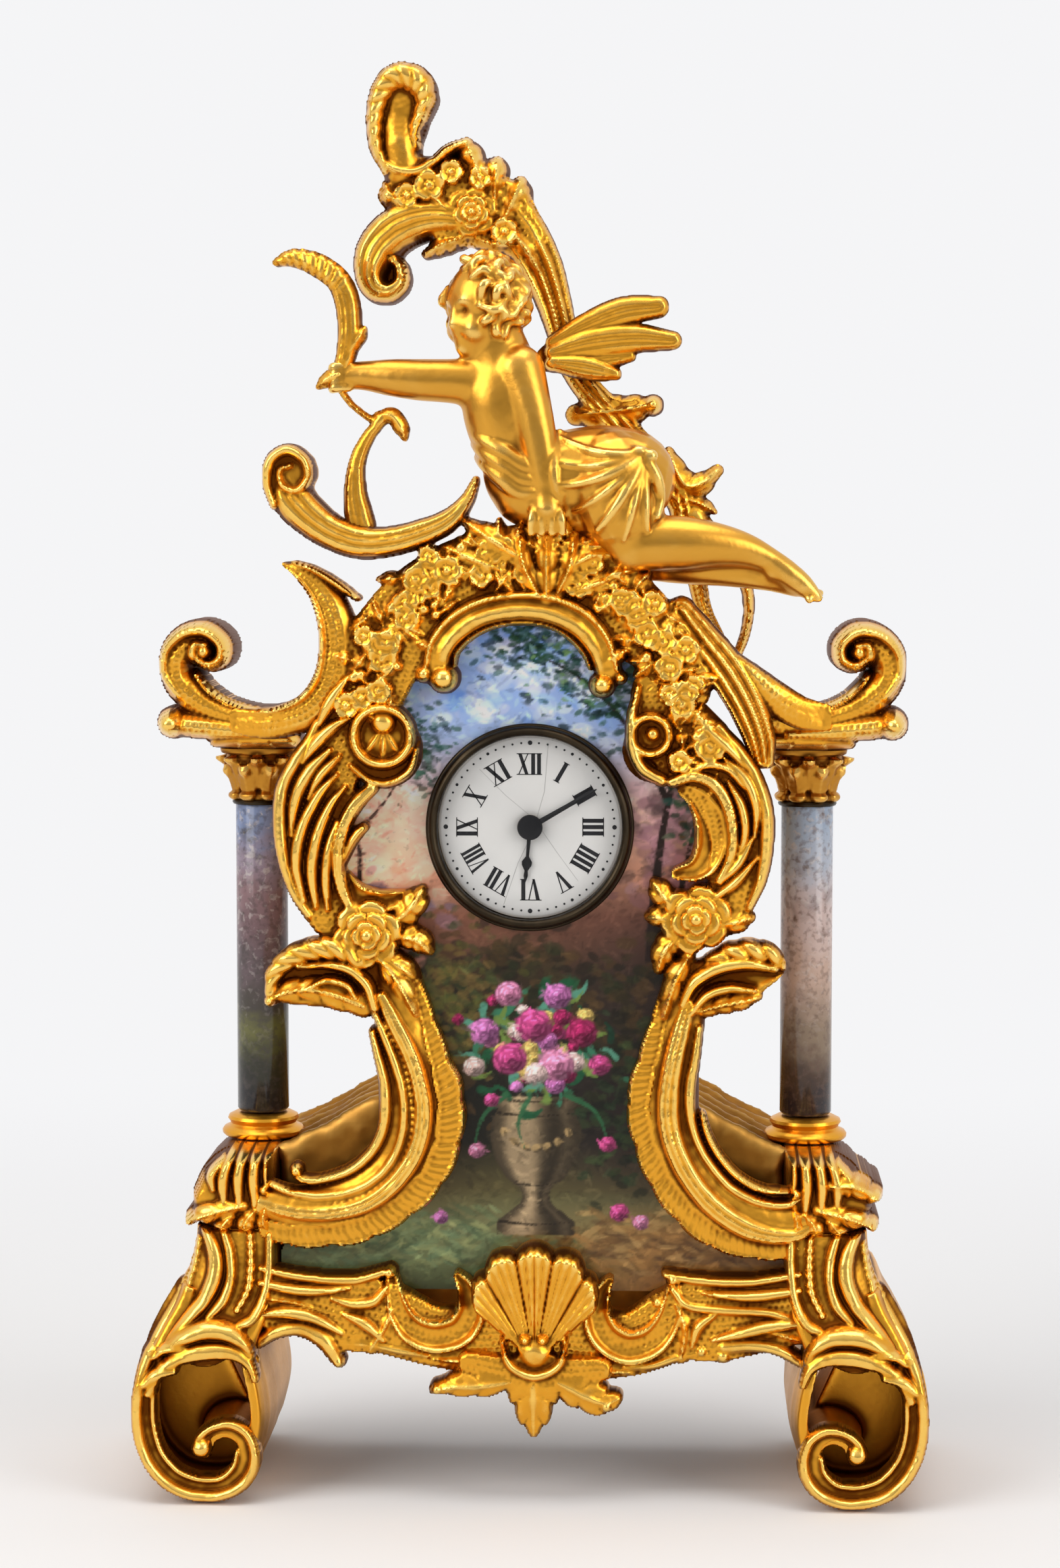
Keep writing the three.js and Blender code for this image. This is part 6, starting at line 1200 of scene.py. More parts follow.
underLip = np.clip((capital["lip"] - share) / 0.04, 0, 1)[:, None]
overLip = np.clip((share - capital["lip"]) / 0.06, 0, 1)[:, None]
radius = along(capital["bell"], share)[:, None] + sheet["h"] * underLip
radius = radius + capital["corners"] * overLip * np.cos(4 * (around - np.pi / 4))
height = np.repeat(capital["low"] + sheet["z"][:, None], len(around), 1)
for word, side, _ in bothSides:
    places = np.stack([side * column["x"] + radius * np.cos(around), radius * np.sin(around), height], -1)
    piece = newPiece(word + "CapitalCast", (places.reshape(-1, 3) * mm).tolist(), tubeFaces(*radius.shape))
    markHollow(piece, marks.ravel())
    settle(piece, brownGilt, [word + "_capital"])
    columnTurned(word + "ArmSeat", "armSeat", side, 0, gilt, [])
    columnTurned(word + "CapitalRing", "neck", side, 0, darkBronze, [])
print("columns made")


# Winged figure, modelled with soft dabs after the remesh
figure = {
    "y": -14.2, "head": (-7.2, -0.6, 198.4), "gaze": (-0.8, -0.58, -0.16), "skull": (6.4, 6.2, 7.0),
    "face": [(2.2, 0, -2.2, (4.7, 4.7, 4.9)), (4.2, 2.4, -2.8, (2.2, 2.2, 2.2)),
        (4.2, -2.4, -2.8, (2.2, 2.2, 2.2)), (5.0, 0, -5.6, (1.8, 1.8, 1.6)), (6.7, 0, -1.6, (1.0, 1.0, 1.1)),
        (6.1, 0, -3.8, (1.15, 1.15, 0.6))],
    "nose": [(6.0, 0, 1.4, 0.6), (6.7, 0, -1.2, 0.75)],
    "dabs": [(5.9, 2.1, 0.5, 1.0, -0.75), (5.9, -2.1, 0.5, 1.0, -0.75), (6.2, 2.0, 0.4, 0.55, 0.35),
        (6.2, -2.0, 0.4, 0.55, 0.35), (6.4, 0, -3.8, 0.45, -0.4), (6.2, 1.4, -3.7, 0.5, -0.3),
        (6.2, -1.4, -3.7, 0.5, -0.3), (5.8, 2.2, 2.0, 1.1, 0.25), (5.8, -2.2, 2.0, 1.1, 0.25)],
    "limbs": [[(-6.6, 0.2, 195, 5), (-4.8, 0.6, 189, 5.9)],
        [(-4.6, 0.2, 188.8, 5.4), (-5.1, -0.2, 184, 6.2), (-4.5, -0.2, 179.4, 6), (-3, 0, 175, 5.4),
        (-1.4, 0, 171, 6.3), (1.4, 0, 168.4, 6.4)],
        [(0, 0, 169, 6.4), (6, 0.2, 171.6, 6.8), (11.6, 0.2, 171.6, 7.2), (15.8, 0.2, 170.8, 7.6)],
        [(-6.6, -0.6, 186.3, 4.4), (-13, -1, 186.7, 3.7), (-18, -1, 186.9, 3.5), (-23, -0.8, 187.3, 3.1),
        (-27, -0.6, 187.6, 2.5), (-30, -0.4, 187.6, 2.3)],
        [(-1.8, -2.2, 188.2, 4.5), (0.2, -3.8, 182.4, 3.6), (1.6, -4.6, 177, 3.1), (2.5, -4.8, 171.6, 2.8),
        (2.9, -5, 168, 2.4), (3.1, -5.2, 165.8, 2.7)],
        [(13.4, -1.2, 171, 7.2), (14.7, -2, 166.6, 6.6), (16, -2.4, 162.6, 5.6), (17.2, -2.6, 159.8, 4.6)],
        [(8.4, 0.6, 171, 5.8), (9.8, 0.8, 165.6, 5.2), (12.2, 1, 160.8, 4.4), (15, 1.2, 158.2, 3.8)],
        [(17, -2.6, 159.9, 4.5), (22, -2.6, 160.2, 4.6), (27, -2.3, 160.1, 4.3), (32, -1.8, 159.7, 3.5),
        (36, -1.2, 158.8, 2.8), (39.6, -0.8, 157.2, 2.2), (42.4, -0.6, 155.2, 2.2), (45.2, -0.4, 153, 1.9),
        (47.4, -0.4, 151.2, 1.1)],
        [(16, 1.6, 158, 3.6), (24, 1.4, 156.4, 3), (32, 1.2, 155.4, 2.5), (39, 1, 154.2, 2),
        (44, 0.9, 152.4, 1.3)]],
    "heel": (40.2, -0.8, 155.6), "heelSize": (1.9, 1.8, 1.8), "hair": (6.7, 6.5, 7.3), "locks": 150,
}


def at(x, y, z, *more):
    return (x, figure["y"] + y, z) + more


def unit(vector):
    return vector / np.linalg.norm(vector)


head = np.array(at(*figure["head"]))
faceWay = unit(np.array(figure["gaze"]))
faceSide = unit(np.cross((0, 0, 1), faceWay))
faceUp = np.cross(faceWay, faceSide)
crown = head + faceUp * 1.2


def onFace(forward, sideways, upward):
    return tuple(head + faceWay * forward + faceSide * sideways + faceUp * upward)


parts = [ovalMesh(crown, figure["skull"])]
parts += [ovalMesh(onFace(*place), radii) for *place, radii in figure["face"]]
parts.append(limbMesh([onFace(*place) + (girth,) for *place, girth in figure["nose"]]))
parts += [limbMesh([at(*row) for row in rows]) for rows in figure["limbs"]]
parts.append(ovalMesh(at(*figure["heel"]), figure["heelSize"]))
body = remeshed("body", parts, voxel=0.4, smoothing=16)
parts = [(meshArrays(body)[0] / mm, [tuple(face.vertices) for face in body.data.polygons])]
bpy.data.objects.remove(body)
for i in range(4):  # fingers of both hands
    spread = i - 1.5
    drop = i * 1.15
    parts.append(limbMesh([at(3 + spread * 1.3, -5.6, 166.2, 0.9), at(3 + spread * 1.6, -6.6, 164, 0.8),
                           at(3 + spread * 1.7, -6, 161.9, 0.7)], 10))
    parts.append(limbMesh([at(-29.8, -1.4, 189.2 - drop, 0.9), at(-32, -2, 189 - drop, 0.85),
                           at(-32.6, -0.4, 188.8 - drop, 0.75)], 10))
for i in range(3):  # folds of the sash
    drop = 2.3 * i
    parts.append(limbMesh([at(-9.4 + 0.6 * i, 2, 178.8 - drop, 1.2), at(-8 + 0.6 * i, -2.6, 177.8 - drop, 1.6),
                           at(-5 + 0.3 * i, -4.6, 175.6 - drop, 1.7), at(-1.4, -5, 173.2 - drop, 1.6),
                           at(3, -5.6, 171.6 - drop * 0.7, 1.4), at(5.4, -6, 171 - drop * 0.6, 1)], 14))

# Hip cloth: a shell over hip and thighs, folds that spread from a knot, and a loose end
cloth = {
    "shell": [[(4.8, 0.1, 171.2, 7.3), (11.6, 0.2, 171.6, 7.9), (15.8, 0.2, 170.8, 8.2)],
        [(13.4, -1.2, 171, 8), (14.7, -2, 166.8, 7.4), (15.1, -2.1, 165.4, 7.2)],
        [(8.4, 0.6, 171, 6.6), (9.8, 0.7, 166, 6)]],
    "knot": (18.8, 174.6),
    "ends": [(4.9, 177.4, 0.9), (4.4, 173.4, 0.75), (5.2, 169.6, 1), (7.4, 165.4, 0.8), (11.4, 162.4, 1),
        (15.6, 160.6, 0.75), (19.4, 161.4, 0.9)],
    "belt": [(5, 178), (4.2, 174), (4.6, 169), (6.2, 165)],
    "tail": [(19.4, 173.4, 1.2), (21, 170.4, 1.1), (21.4, 167.4, 1), (21, 164.6, 0.7)],
}
balls = [np.array(a) + (np.array(b) - a) * t for rows in cloth["shell"] for a, b in zip(rows, rows[1:])
         for t in np.linspace(0, 1, 9)]


def clothFront(x, z):
    spans = [(ball, ball[3]**2 - (ball[0] - x)**2 - (ball[2] - z)**2) for ball in balls]
    return min([ball[1] - math.sqrt(span) for ball, span in spans if span > 0] + [-0.5])


parts += [limbMesh([at(*row) for row in rows]) for rows in cloth["shell"]]
knotX, knotZ = cloth["knot"]
for x, z, girth in cloth["ends"]:
    rows = []
    for t in np.linspace(0, 1, 8):
        spot = (knotX + (x - knotX) * t, knotZ + (z - knotZ) * t - 5 * t * (1 - t))
        rows.append(at(spot[0], clothFront(*spot) + 0.15, spot[1], girth * (1.15 - 0.55 * t)))
    parts.append(limbMesh(rows, 12))
parts.append(limbMesh([at(x, clothFront(x, z) + 0.2, z, 0.9) for x, z in cloth["belt"]], 12))
parts.append(limbMesh([at(x, clothFront(x, z) - 0.3, z, girth) for x, z, girth in cloth["tail"]], 12))
knotY = clothFront(knotX, knotZ) - 0.5
parts += [ovalMesh(at(knotX + dx, knotY, knotZ + dz), (1.5, 1.3, 1.2)) for dx, dz in ((-0.8, 0.3), (0.9, -0.3))]
for i in range(figure["locks"]):  # curls all over the head, clear of face and neck
    lift = 1 - 2 * (i + 0.5) / figure["locks"]
    spin = i * 2.39996
    level = math.sqrt(1 - lift * lift)
    out = np.array((level * math.cos(spin), level * math.sin(spin), lift))
    if out @ faceWay > 0.55 - 0.5 * max(out[2] - 0.3, 0) or out[2] < -0.72:
        continue
    spot = crown + out * np.array(figure["hair"])
    lock = np.cross(out, (dice.uniform(-1, 1), dice.uniform(-1, 1), dice.uniform(-1, 1)))
    lock *= dice.uniform(1.5, 2.4) / np.linalg.norm(lock)
    middle = spot + out * 0.5 + np.cross(out, lock) * 0.6
    parts.append(limbMesh([tuple(spot - lock - out * 0.6) + (0.6,), tuple(middle) + (0.85,),
                           tuple(spot + lock - out * 0.6) + (0.55,)], 8))
for i in range(5):  # toes
    parts.append(ovalMesh(at(46 + 0.45 * i, -1.4 + 0.5 * i, 150.9 + 0.25 * i), (0.75, 0.7, 0.7), 10, 6))
piece = remeshed("figureCast", parts, voxel=0.3, smoothing=4)
for *place, radius, push in figure["dabs"]:
    dab(piece, onFace(*place), radius, push)
hollowOfMesh(piece, passes=14, gain=2600.0)
settle(piece, figureGilt, ["winged_figure"], angle=180)

wings = {
    "grid": (0, 28, 185, 203, 0.2), "form": (-9.4, -9.0, 0.5, 1.0, (0.02, 0.03)),
    "layers": [(rounded, "ground"), (lined, "feathers")],
    "ground": [(3, 190.6, 2.4, 1), (8.6, 192.2, 4.2, 1.2), (13.6, 193.4, 4.4, 1.2)],
    "feathers": [[(3.6, 193.2, 1.4, 2), (9, 196, 2.1, 2.4), (15, 198.3, 2.5, 2.6), (21, 199, 2, 2.2)],
        [(3.6, 191.6, 1.4, 2.6), (10, 193.2, 2.6, 3), (17, 193.9, 2.6, 3), (23.4, 193.5, 1.7, 2.4)],
        [(4, 190.6, 1.2, 2.4), (10, 190.6, 2, 2.6), (16.4, 191, 1.2, 2.2)],
        [(3.6, 189.8, 1.4, 3), (9, 189.1, 2.2, 3.4), (14, 188, 1.2, 2.6)]],
}
castDrawing("wingsCast", "wings", wings)

bow = {
    "grid": (-45, -18, 160, 211, 0.22), "form": (-14.6, -14.4, 0.8, 1.2),
    "layers": [(lined, "tip lower"), (gadroons(1.5, 0.5, 0.12, 0.14), "tipLeaf"), (rounded, "string"),
        (leafy(3, 0.15), "leaves")],
    "tip": [(-41.6, 206.2, 0.7, 2), (-39, 206.9, 1.4, 2.4), (-35.4, 206, 1.9, 2.6), (-32, 203.8, 2.1, 2.6),
        (-30.2, 200.4, 2.2, 2.6), (-29.6, 195.6, 2.1, 2.6), (-30.2, 191, 1.8, 2.4), (-31.4, 187.6, 1.4, 2)],
    "tipLeaf": [(-41.8, 206, 0.7, 2.3), (-39, 206.8, 1.6, 3), (-35.4, 205.9, 2.1, 3.2),
        (-32.2, 203.8, 2.2, 3), (-30.8, 201.6, 1.6, 2.6)],
    "leaves": [[(-29.4, 191.6, 0.8, 2.4), (-28, 193.8, 1.3, 2.6), (-27, 195.4, 0.5, 2)],
        [(-31.4, 187.8, 1.2, 2.6), (-33.2, 187, 1.5, 2.6), (-35, 185.6, 0.5, 2)],
        [(-25, 181, 0.9, 2), (-22.6, 181, 1.6, 2.4), (-21, 178.8, 1.4, 2.2), (-20.6, 177, 0.5, 1.8)]],
    "string": [(-31.6, 186, 0.75, 1.8), (-29.6, 183.2, 0.7, 1.8), (-27, 181, 0.7, 1.8),
        (-25, 179.8, 0.8, 1.8)],
    "lower": [(-24.4, 180.2, 1, 2.2), (-26.6, 177.6, 1.2, 2.2), (-28.4, 173.6, 1.5, 2.4),
        (-28.8, 168.6, 2, 2.6), (-28.2, 164.6, 2.5, 2.8), (-27.9, 162.8, 2.7, 2.8)],
}
castDrawing("bowCast", "bow", bow)
print("figure made")


# Enamel plaque, with its painting on a fine sheet: a garden urn of roses before a dusk landscape
plaque = {
    "grid": (-43, 43, 34, 152.4),
    "outline": [(-41.6, 36), (-42, 41.4), (-38, 45.4), (-30, 48), (-23, 54), (-18.6, 62), (-18.2, 71),
        (-21, 79.6), (-24.4, 86.6), (-26, 93), (-31, 98.6), (-35.6, 105.4), (-36, 114), (-32, 122),
        (-26, 130), (-21.6, 138), (-16.4, 145.6), (-8, 150.4), (0, 151.6), (7, 150.2), (14.6, 145.4),
        (20.6, 138), (25.6, 130), (31.6, 122), (35.4, 114), (35.2, 105.6), (31, 99.4), (26.6, 93), (25, 86.6),
        (23, 79), (21.6, 70.6), (22, 62), (25.4, 54.6), (31, 49), (38, 44.6), (42, 41.4), (41.6, 36),
        (22, 34.8), (0, 34.4), (-22, 34.8)],
    "front": -13.38, "rear": -12.2, "dial": (0.0, 113.0), "hole": 16.8,
}


def insideOutline(gx, gz, outline):
    found = np.zeros(gx.shape, bool)
    for (x0, z0), (x1, z1) in zip(outline, outline[1:] + outline[:1]):
        if z0 != z1:
            crossing = (gz > z0) != (gz > z1)
            found ^= crossing & (gx < (x1 - x0) * (gz - z0) / (z1 - z0) + x0)
    return found


def plaqueArea(sheet):
    gx, gz = np.meshgrid(sheet["x"], sheet["z"])
    outline, _ = sampleLine([row + (0, 0) for row in plaque["outline"] + plaque["outline"][:1]], 0.6)
    pierced = np.hypot(gx - plaque["dial"][0], gz - plaque["dial"][1]) > plaque["hole"]
    return gx, gz, insideOutline(gx, gz, [tuple(p) for p in outline[:-1, :2]]) & pierced


sheet = newSheet(*plaque["grid"], 0.5)
sheet["h"] = np.where(plaqueArea(sheet)[2], 0.01, 0.0)
piece = castPiece("plaqueBody", sheet, plaque["front"], plaque["rear"], rounding=0.5, chasing=(0, 0))
enamelGround = cloudedMaterial("enamelGround", {"Coat Weight": 0.4}, 300.0, (0.08, 0.06, 0.05),
                               (0.14, 0.11, 0.09), (240.0, 0.12, 0.14))
settle(piece, enamelGround, ["enamel_plaque"])

sheet = newSheet(*plaque["grid"], 0.25)
gx, gz, area = plaqueArea(sheet)
brush = np.random.default_rng(5)


def dabPaint(x, z, wide, tall, tilt, colour, strength):
    (rows, columns), px, pz = windowAround(sheet, x, z, 1.1 * max(wide, tall))
    if not px.size:
        return
    a = ((px - x) * math.cos(tilt) + (pz - z) * math.sin(tilt)) / wide
    b = ((pz - z) * math.cos(tilt) - (px - x) * math.sin(tilt)) / tall
    cover = (strength * np.clip(2 - 2 * (a * a + b * b), 0, 1))[..., None]
    canvas[rows, columns] = canvas[rows, columns] * (1 - cover) + np.array(colour) * cover


def dabCloud(count, x, z, wide, tall, size, colours, strength, flat=0.6):
    for _ in range(count):
        colour = np.array(colours[brush.integers(len(colours))]) * brush.uniform(0.8, 1.2)
        across = size * brush.uniform(0.5, 1.3)
        dabPaint(x + wide * brush.normal() * 0.5, z + tall * brush.normal() * 0.5, across, across * flat,
                 brush.uniform(-0.7, 0.7), np.clip(colour, 0, 1), strength)


def strokePaint(points, wide, colour, strength):
    line, _ = sampleLine([p + (0, 0) for p in points], 0.35)
    for i, (x, z, _, _) in enumerate(line):
        taper = wide * (1 - 0.75 * i / len(line))
        dabPaint(x, z, taper, taper, 0, colour, strength)


levels = [34, 40, 46, 52, 60, 74, 88, 98, 106, 116, 128, 152]  # from the grass up to the sky
tones = np.array([
    (0.05, 0.06, 0.025), (0.13, 0.15, 0.08), (0.17, 0.17, 0.09), (0.1, 0.085, 0.04), (0.022, 0.02, 0.014),
    (0.022, 0.02, 0.014), (0.05, 0.034, 0.02), (0.22, 0.11, 0.075), (0.6, 0.34, 0.24), (0.62, 0.44, 0.37),
    (0.3, 0.37, 0.52), (0.16, 0.27, 0.52)])
canvas = np.stack([np.interp(gz, levels, tones[:, k]) for k in range(3)], -1)
lean = (np.clip((gx + 4) / 30, 0, 1) * np.clip((124 - gz) / 30, 0, 1)
        * np.clip((gz - 46) / 10, 0, 1))[..., None]
canvas = canvas * (1 - 0.7 * lean) + np.array((0.045, 0.03, 0.03)) * 0.7 * lean
ochre = (np.clip((gx + 6) / 26, 0, 1) * np.clip((50 - gz) / 6, 0, 1))[..., None]
canvas = canvas * (1 - ochre) + np.array((0.22, 0.13, 0.05)) * ochre
dabCloud(200, -27, 109, 12, 16, 3, [(0.72, 0.44, 0.32), (0.66, 0.36, 0.3), (0.8, 0.58, 0.46)], 0.35)
dabCloud(220, 0, 141, 22, 14, 2.6, [(0.32, 0.44, 0.68), (0.14, 0.26, 0.55), (0.6, 0.64, 0.74),
                                    (0.5, 0.5, 0.6)], 0.4)
dabCloud(90, -29, 99, 10, 4, 2.2, [(0.2, 0.15, 0.22), (0.28, 0.18, 0.22), (0.16, 0.14, 0.2)], 0.5)
dabCloud(240, 26, 112, 9, 12, 2, [(0.3, 0.17, 0.2), (0.2, 0.11, 0.12), (0.4, 0.26, 0.28),
                                  (0.1, 0.07, 0.07)], 0.5)
for points, wide in (([(20, 88), (20.6, 100), (22, 112), (24, 124), (22, 134)], 1.1),
                     ([(24, 92), (25.4, 104), (28, 116), (29, 122)], 0.8),
                     ([(22.6, 118), (16, 130), (8, 138), (-2, 143)], 0.7),
                     ([(17, 129), (18, 137), (14, 145)], 0.5),
                     ([(-29, 99), (-28.4, 108), (-29.6, 116), (-27, 123)], 0.6),
                     ([(-28.6, 112), (-23, 119), (-20, 127)], 0.4)):  # trunks and boughs
    strokePaint(points, wide, (0.035, 0.022, 0.018), 0.85)
greens = [(0.012, 0.05, 0.025), (0.006, 0.025, 0.014), (0.04, 0.1, 0.05), (0.02, 0.075, 0.06)]
dabCloud(380, 19, 136, 15, 9, 1.0, greens, 0.75, 0.5)
dabCloud(260, 2, 144, 13, 6, 0.9, greens, 0.7, 0.5)
dabCloud(220, -22, 126, 9, 8, 0.9, greens + [(0.05, 0.14, 0.1)], 0.7, 0.5)
dabCloud(160, 29, 118, 5, 9, 1.0, greens + [(0.12, 0.07, 0.03)], 0.7)
dabCloud(90, 12, 140, 16, 8, 0.7, [(0.1, 0.2, 0.1), (0.16, 0.26, 0.12)], 0.7, 0.5)
dabCloud(420, 2, 82, 26, 14, 1.8, [(0.05, 0.04, 0.02), (0.03, 0.035, 0.016), (0.085, 0.055, 0.025),
                                   (0.02, 0.018, 0.012)], 0.6)
dabCloud(260, -13, 84, 8, 13, 1.2, [(0.1, 0.1, 0.03), (0.06, 0.075, 0.03), (0.15, 0.11, 0.04)], 0.5)
dabCloud(140, 16, 66, 7, 16, 1.3, [(0.03, 0.05, 0.025), (0.05, 0.07, 0.03), (0.015, 0.02, 0.012)], 0.6)
grass = [(0.12, 0.17, 0.1), (0.18, 0.22, 0.12), (0.08, 0.11, 0.06), (0.22, 0.24, 0.12)]
path = [(0.26, 0.16, 0.065), (0.16, 0.095, 0.04), (0.32, 0.22, 0.1), (0.1, 0.06, 0.03)]
dabCloud(260, -22, 43, 22, 5, 2.2, grass, 0.5, 0.25)
dabCloud(260, 20, 42, 22, 5, 2.2, path, 0.5, 0.25)
urn = [(44.5, 6.2), (46.4, 6.2), (47, 5.2), (48, 4), (49.4, 2.2), (51, 1.8), (52.4, 2.4), (54, 4.6), (57, 6.4),
       (60, 7.2), (62.6, 7.2), (64.6, 6.4), (65.6, 5.8), (66.4, 6.8), (67.6, 7.2)]
for z in np.arange(44.5, 67.6, 0.3):  # urn, lit from the left
    half = along(urn, z)
    for x in np.arange(-half, half, 0.35):
        across = x / half
        shade = 0.04 + 0.3 * math.exp(-((across + 0.35) / 0.45)**2)
        shade += 0.06 * math.exp(-((across - 0.8) / 0.15)**2)
        if 53 < z < 64:
            shade *= 0.86 + 0.14 * math.cos(9 * math.asin(max(-1, min(1, across))))
        dabPaint(x + 1, z, 0.55, 0.45, 0, (shade, shade * 0.78, shade * 0.5), 0.9)
for z in (46.4, 53, 64.8, 67.2):
    half = along(urn, z)
    strokePaint([(1 - half, z), (1, z - 0.5), (1 + half, z)], 0.35, (0.03, 0.022, 0.014), 0.8)
for x, z in ((-4.4, 61.6), (-2.6, 60), (-0.8, 59.2), (1, 59), (2.8, 59.2), (4.6, 60), (6.4, 61.6)):  # swag
    dabPaint(x, z, 0.9, 0.7, 0.3 * x, (0.34, 0.25, 0.13), 0.8)
    dabPaint(x + 0.3, z - 0.5, 0.8, 0.3, 0.3 * x, (0.06, 0.045, 0.025), 0.7)
leafTones = [(0.02, 0.09, 0.045), (0.05, 0.16, 0.1), (0.1, 0.24, 0.18), (0.015, 0.05, 0.03), (0.14, 0.2, 0.06)]
for _ in range(90):  # leaves of the bunch
    x = 1 + 11.5 * brush.normal() * 0.55
    z = 76 + 9 * brush.normal() * 0.55
    turn = brush.uniform(0, 6.28)
    tone = leafTones[brush.integers(len(leafTones))]
    bend = (x + 1.6 * math.cos(turn), z + 1.6 * math.sin(turn))
    tip = (x + 3 * math.cos(turn + 0.3), z + 3 * math.sin(turn + 0.3))
    strokePaint([(x, z), bend, tip], brush.uniform(0.5, 1.0), tone, 0.8)
for points in ([(-4, 68), (-8, 64), (-9.6, 58)], [(6, 68), (11, 65), (13.4, 59)],
               [(0, 68), (-2, 63), (-1, 59)]):  # trailing stems
    strokePaint(points, 0.6, (0.04, 0.12, 0.06), 0.8)
roseTones = [(0.62, 0.12, 0.32), (0.42, 0.04, 0.16), (0.78, 0.34, 0.52), (0.6, 0.24, 0.5), (0.8, 0.62, 0.58),
             (0.72, 0.55, 0.2)]
roses = [(-3.4, 74, 3.2, 0), (4.4, 73, 3.3, 2), (0.6, 79.6, 3.4, 0), (-7.6, 78.6, 2.7, 3), (8.6, 78.4, 2.9, 1),
         (4.6, 84.6, 2.6, 3), (-3.6, 85, 2.5, 2), (11.6, 73, 2.1, 0), (-9.4, 72.6, 2, 4), (1, 71.4, 2.2, 4),
         (-9, 58.4, 1.5, 2), (13, 59.6, 1.6, 0), (15, 48, 1.8, 0), (18.6, 46.4, 1.5, 2), (-15, 47, 1.4, 3)]


def rose(x, z, size, tone):
    tone = np.array(tone)
    dabPaint(x, z, size, size * 0.9, 0, tone * 0.3, 0.95)
    for far, count, wide, dim in ((0.66, 6, 0.46, 0.75), (0.4, 5, 0.36, 0.95), (0.16, 3, 0.26, 1.1)):
        for k in range(count):
            turn = 2 * math.pi * k / count + 1.7 * x + 3 * far
            lit = tone * dim * (0.7 + 0.45 * math.cos(turn - 2.2))
            px = x + size * far * math.cos(turn)
            pz = z + size * far * 0.9 * math.sin(turn)
            rimX, rimZ = px + size * 0.1 * math.cos(turn), pz + size * 0.1 * math.sin(turn)
            petal = size * wide
            dabPaint(px, pz, petal, petal * 0.62, turn + 1.57, np.clip(lit * 0.7, 0, 1), 0.9)
            dabPaint(rimX, rimZ, petal * 0.8, petal * 0.2, turn + 1.57, np.clip(lit * 1.15 + 0.02, 0, 1), 0.8)


for _ in range(40):
    rose(1 + 10.5 * brush.normal() * 0.55, 77 + 8 * brush.normal() * 0.55, brush.uniform(1.1, 2.0),
         roseTones[brush.integers(6)])
for x, z, size, tone in roses:
    rose(x, z, size, roseTones[tone])
for _ in range(9000):  # loose strokes all over bind the dabs
    across = brush.integers(canvas.shape[1])
    row = brush.integers(canvas.shape[0])
    dabPaint(sheet["x"][across], sheet["z"][row], brush.uniform(0.5, 1.3), brush.uniform(0.2, 0.4),
             brush.normal() * 0.8, np.clip(canvas[row, across] * brush.uniform(0.6, 1.5), 0, 1), 0.5)
contrast = {"grey": 0.15, "power": 1.32, "lightest": 0.8}
canvas = np.clip(contrast["grey"] * (canvas / contrast["grey"])**contrast["power"], 0, contrast["lightest"])
ones = np.ones(int(area.sum()))
places = np.column_stack([gx[area], (plaque["front"] - 0.04) * ones, gz[area]]) * mm
piece = newPiece("plaquePainting", places.tolist(), cellQuads(area, wholeCells(area)).tolist())
shades = np.column_stack([canvas[area], ones])
piece.data.color_attributes.new("paint", "FLOAT_COLOR", "POINT").data.foreach_set("color", shades.ravel())
plaqueEnamel, place, shader = newMaterial("plaqueEnamel", {"Coat Weight": 0.08, "Coat Roughness": 0.05,
                                                           "Specular IOR Level": 0.16})
painted = place.add("ShaderNodeAttribute", {"attribute_name": "paint"}, {}, "Color")
speck = noise(place, 900.0, 3.0).between(0.6, 0.72) * 0.22
speck.blend(painted, (0.03, 0.025, 0.02)).into(shader, "Base Color")
(noise(place, 240.0) * 0.12 + 0.16).into(shader, "Roughness")
bump(noise(place, 160.0, 2.0), 0.05, 0.0003).into(shader, "Normal")
settle(piece, plaqueEnamel, [])
print("plaque painted")


# Dial: white enamel disc with plain numerals, minute dots and two fine cracks
dial = {"z": 113.0, "radius": 15.3, "front": -13.7, "numeralAt": 10.5, "numeralTall": 3.6, "dots": 14.05,
        "thick": 0.34, "serif": 0.15, "widths": {"I": 1.05, "V": 2.3, "X": 2.2},
        "cracks": [[(-8.4, 9.6), (-4, 5.2), (0.6, 1.4), (4.6, -4.4), (8, -9)],
                   [(-4.4, -13), (-2, -6), (0.4, -1), (2.4, 6), (3, 13.6)]]}


def dialTurned(name, profile, steps, material, replaced, y=dial["front"], angle=40):
    settle(turned(name, profile, (0, y, dial["z"]), (0, 1, 0), steps), material, replaced, angle=angle)


dialEnamel = cloudedMaterial("dialEnamel", {"Coat Weight": 0.4, "Coat Roughness": 0.04}, 130.0,
                             (0.9, 0.89, 0.86), (0.85, 0.845, 0.82), (200.0, 0.1, 0.14), 4.0, (0.35, 0.75))
dialInk = cloudedMaterial("dialInk", {"Specular IOR Level": 0.4}, 600.0, (0.006, 0.006, 0.008),
                          (0.02, 0.02, 0.024), (500.0, 0.2, 0.25))
dialCracks = cloudedMaterial("dialCracks", {"Roughness": 0.4}, 300.0, (0.3, 0.29, 0.28), (0.5, 0.49, 0.47),
                             edges=(0.3, 0.7))
edge = dial["radius"]
disc = [(2.0, 0.8), (edge, 0.8), (edge, 0.25), (edge - 0.3, 0.06), (14.8, 0), (2.2, 0), (2.0, 0.1), (2.0, 0.8)]
dialTurned("dialDisc", disc, 96, dialEnamel, ["dial"], angle=30)


def inkPiece(name, polygons, thickness, material):
    levels = (dial["front"] + 0.02, dial["front"] - thickness)
    parts = [([(x, y, dial["z"] + z) for y in levels for x, z in points], tubeFaces(2, len(points)))
             for points in polygons]
    settle(merged(name, parts), material, [])


def slant(low, lowWide, high, highWide, tall):
    return [(low, 0), (low + lowWide, 0), (high + highWide, tall), (high, tall)]


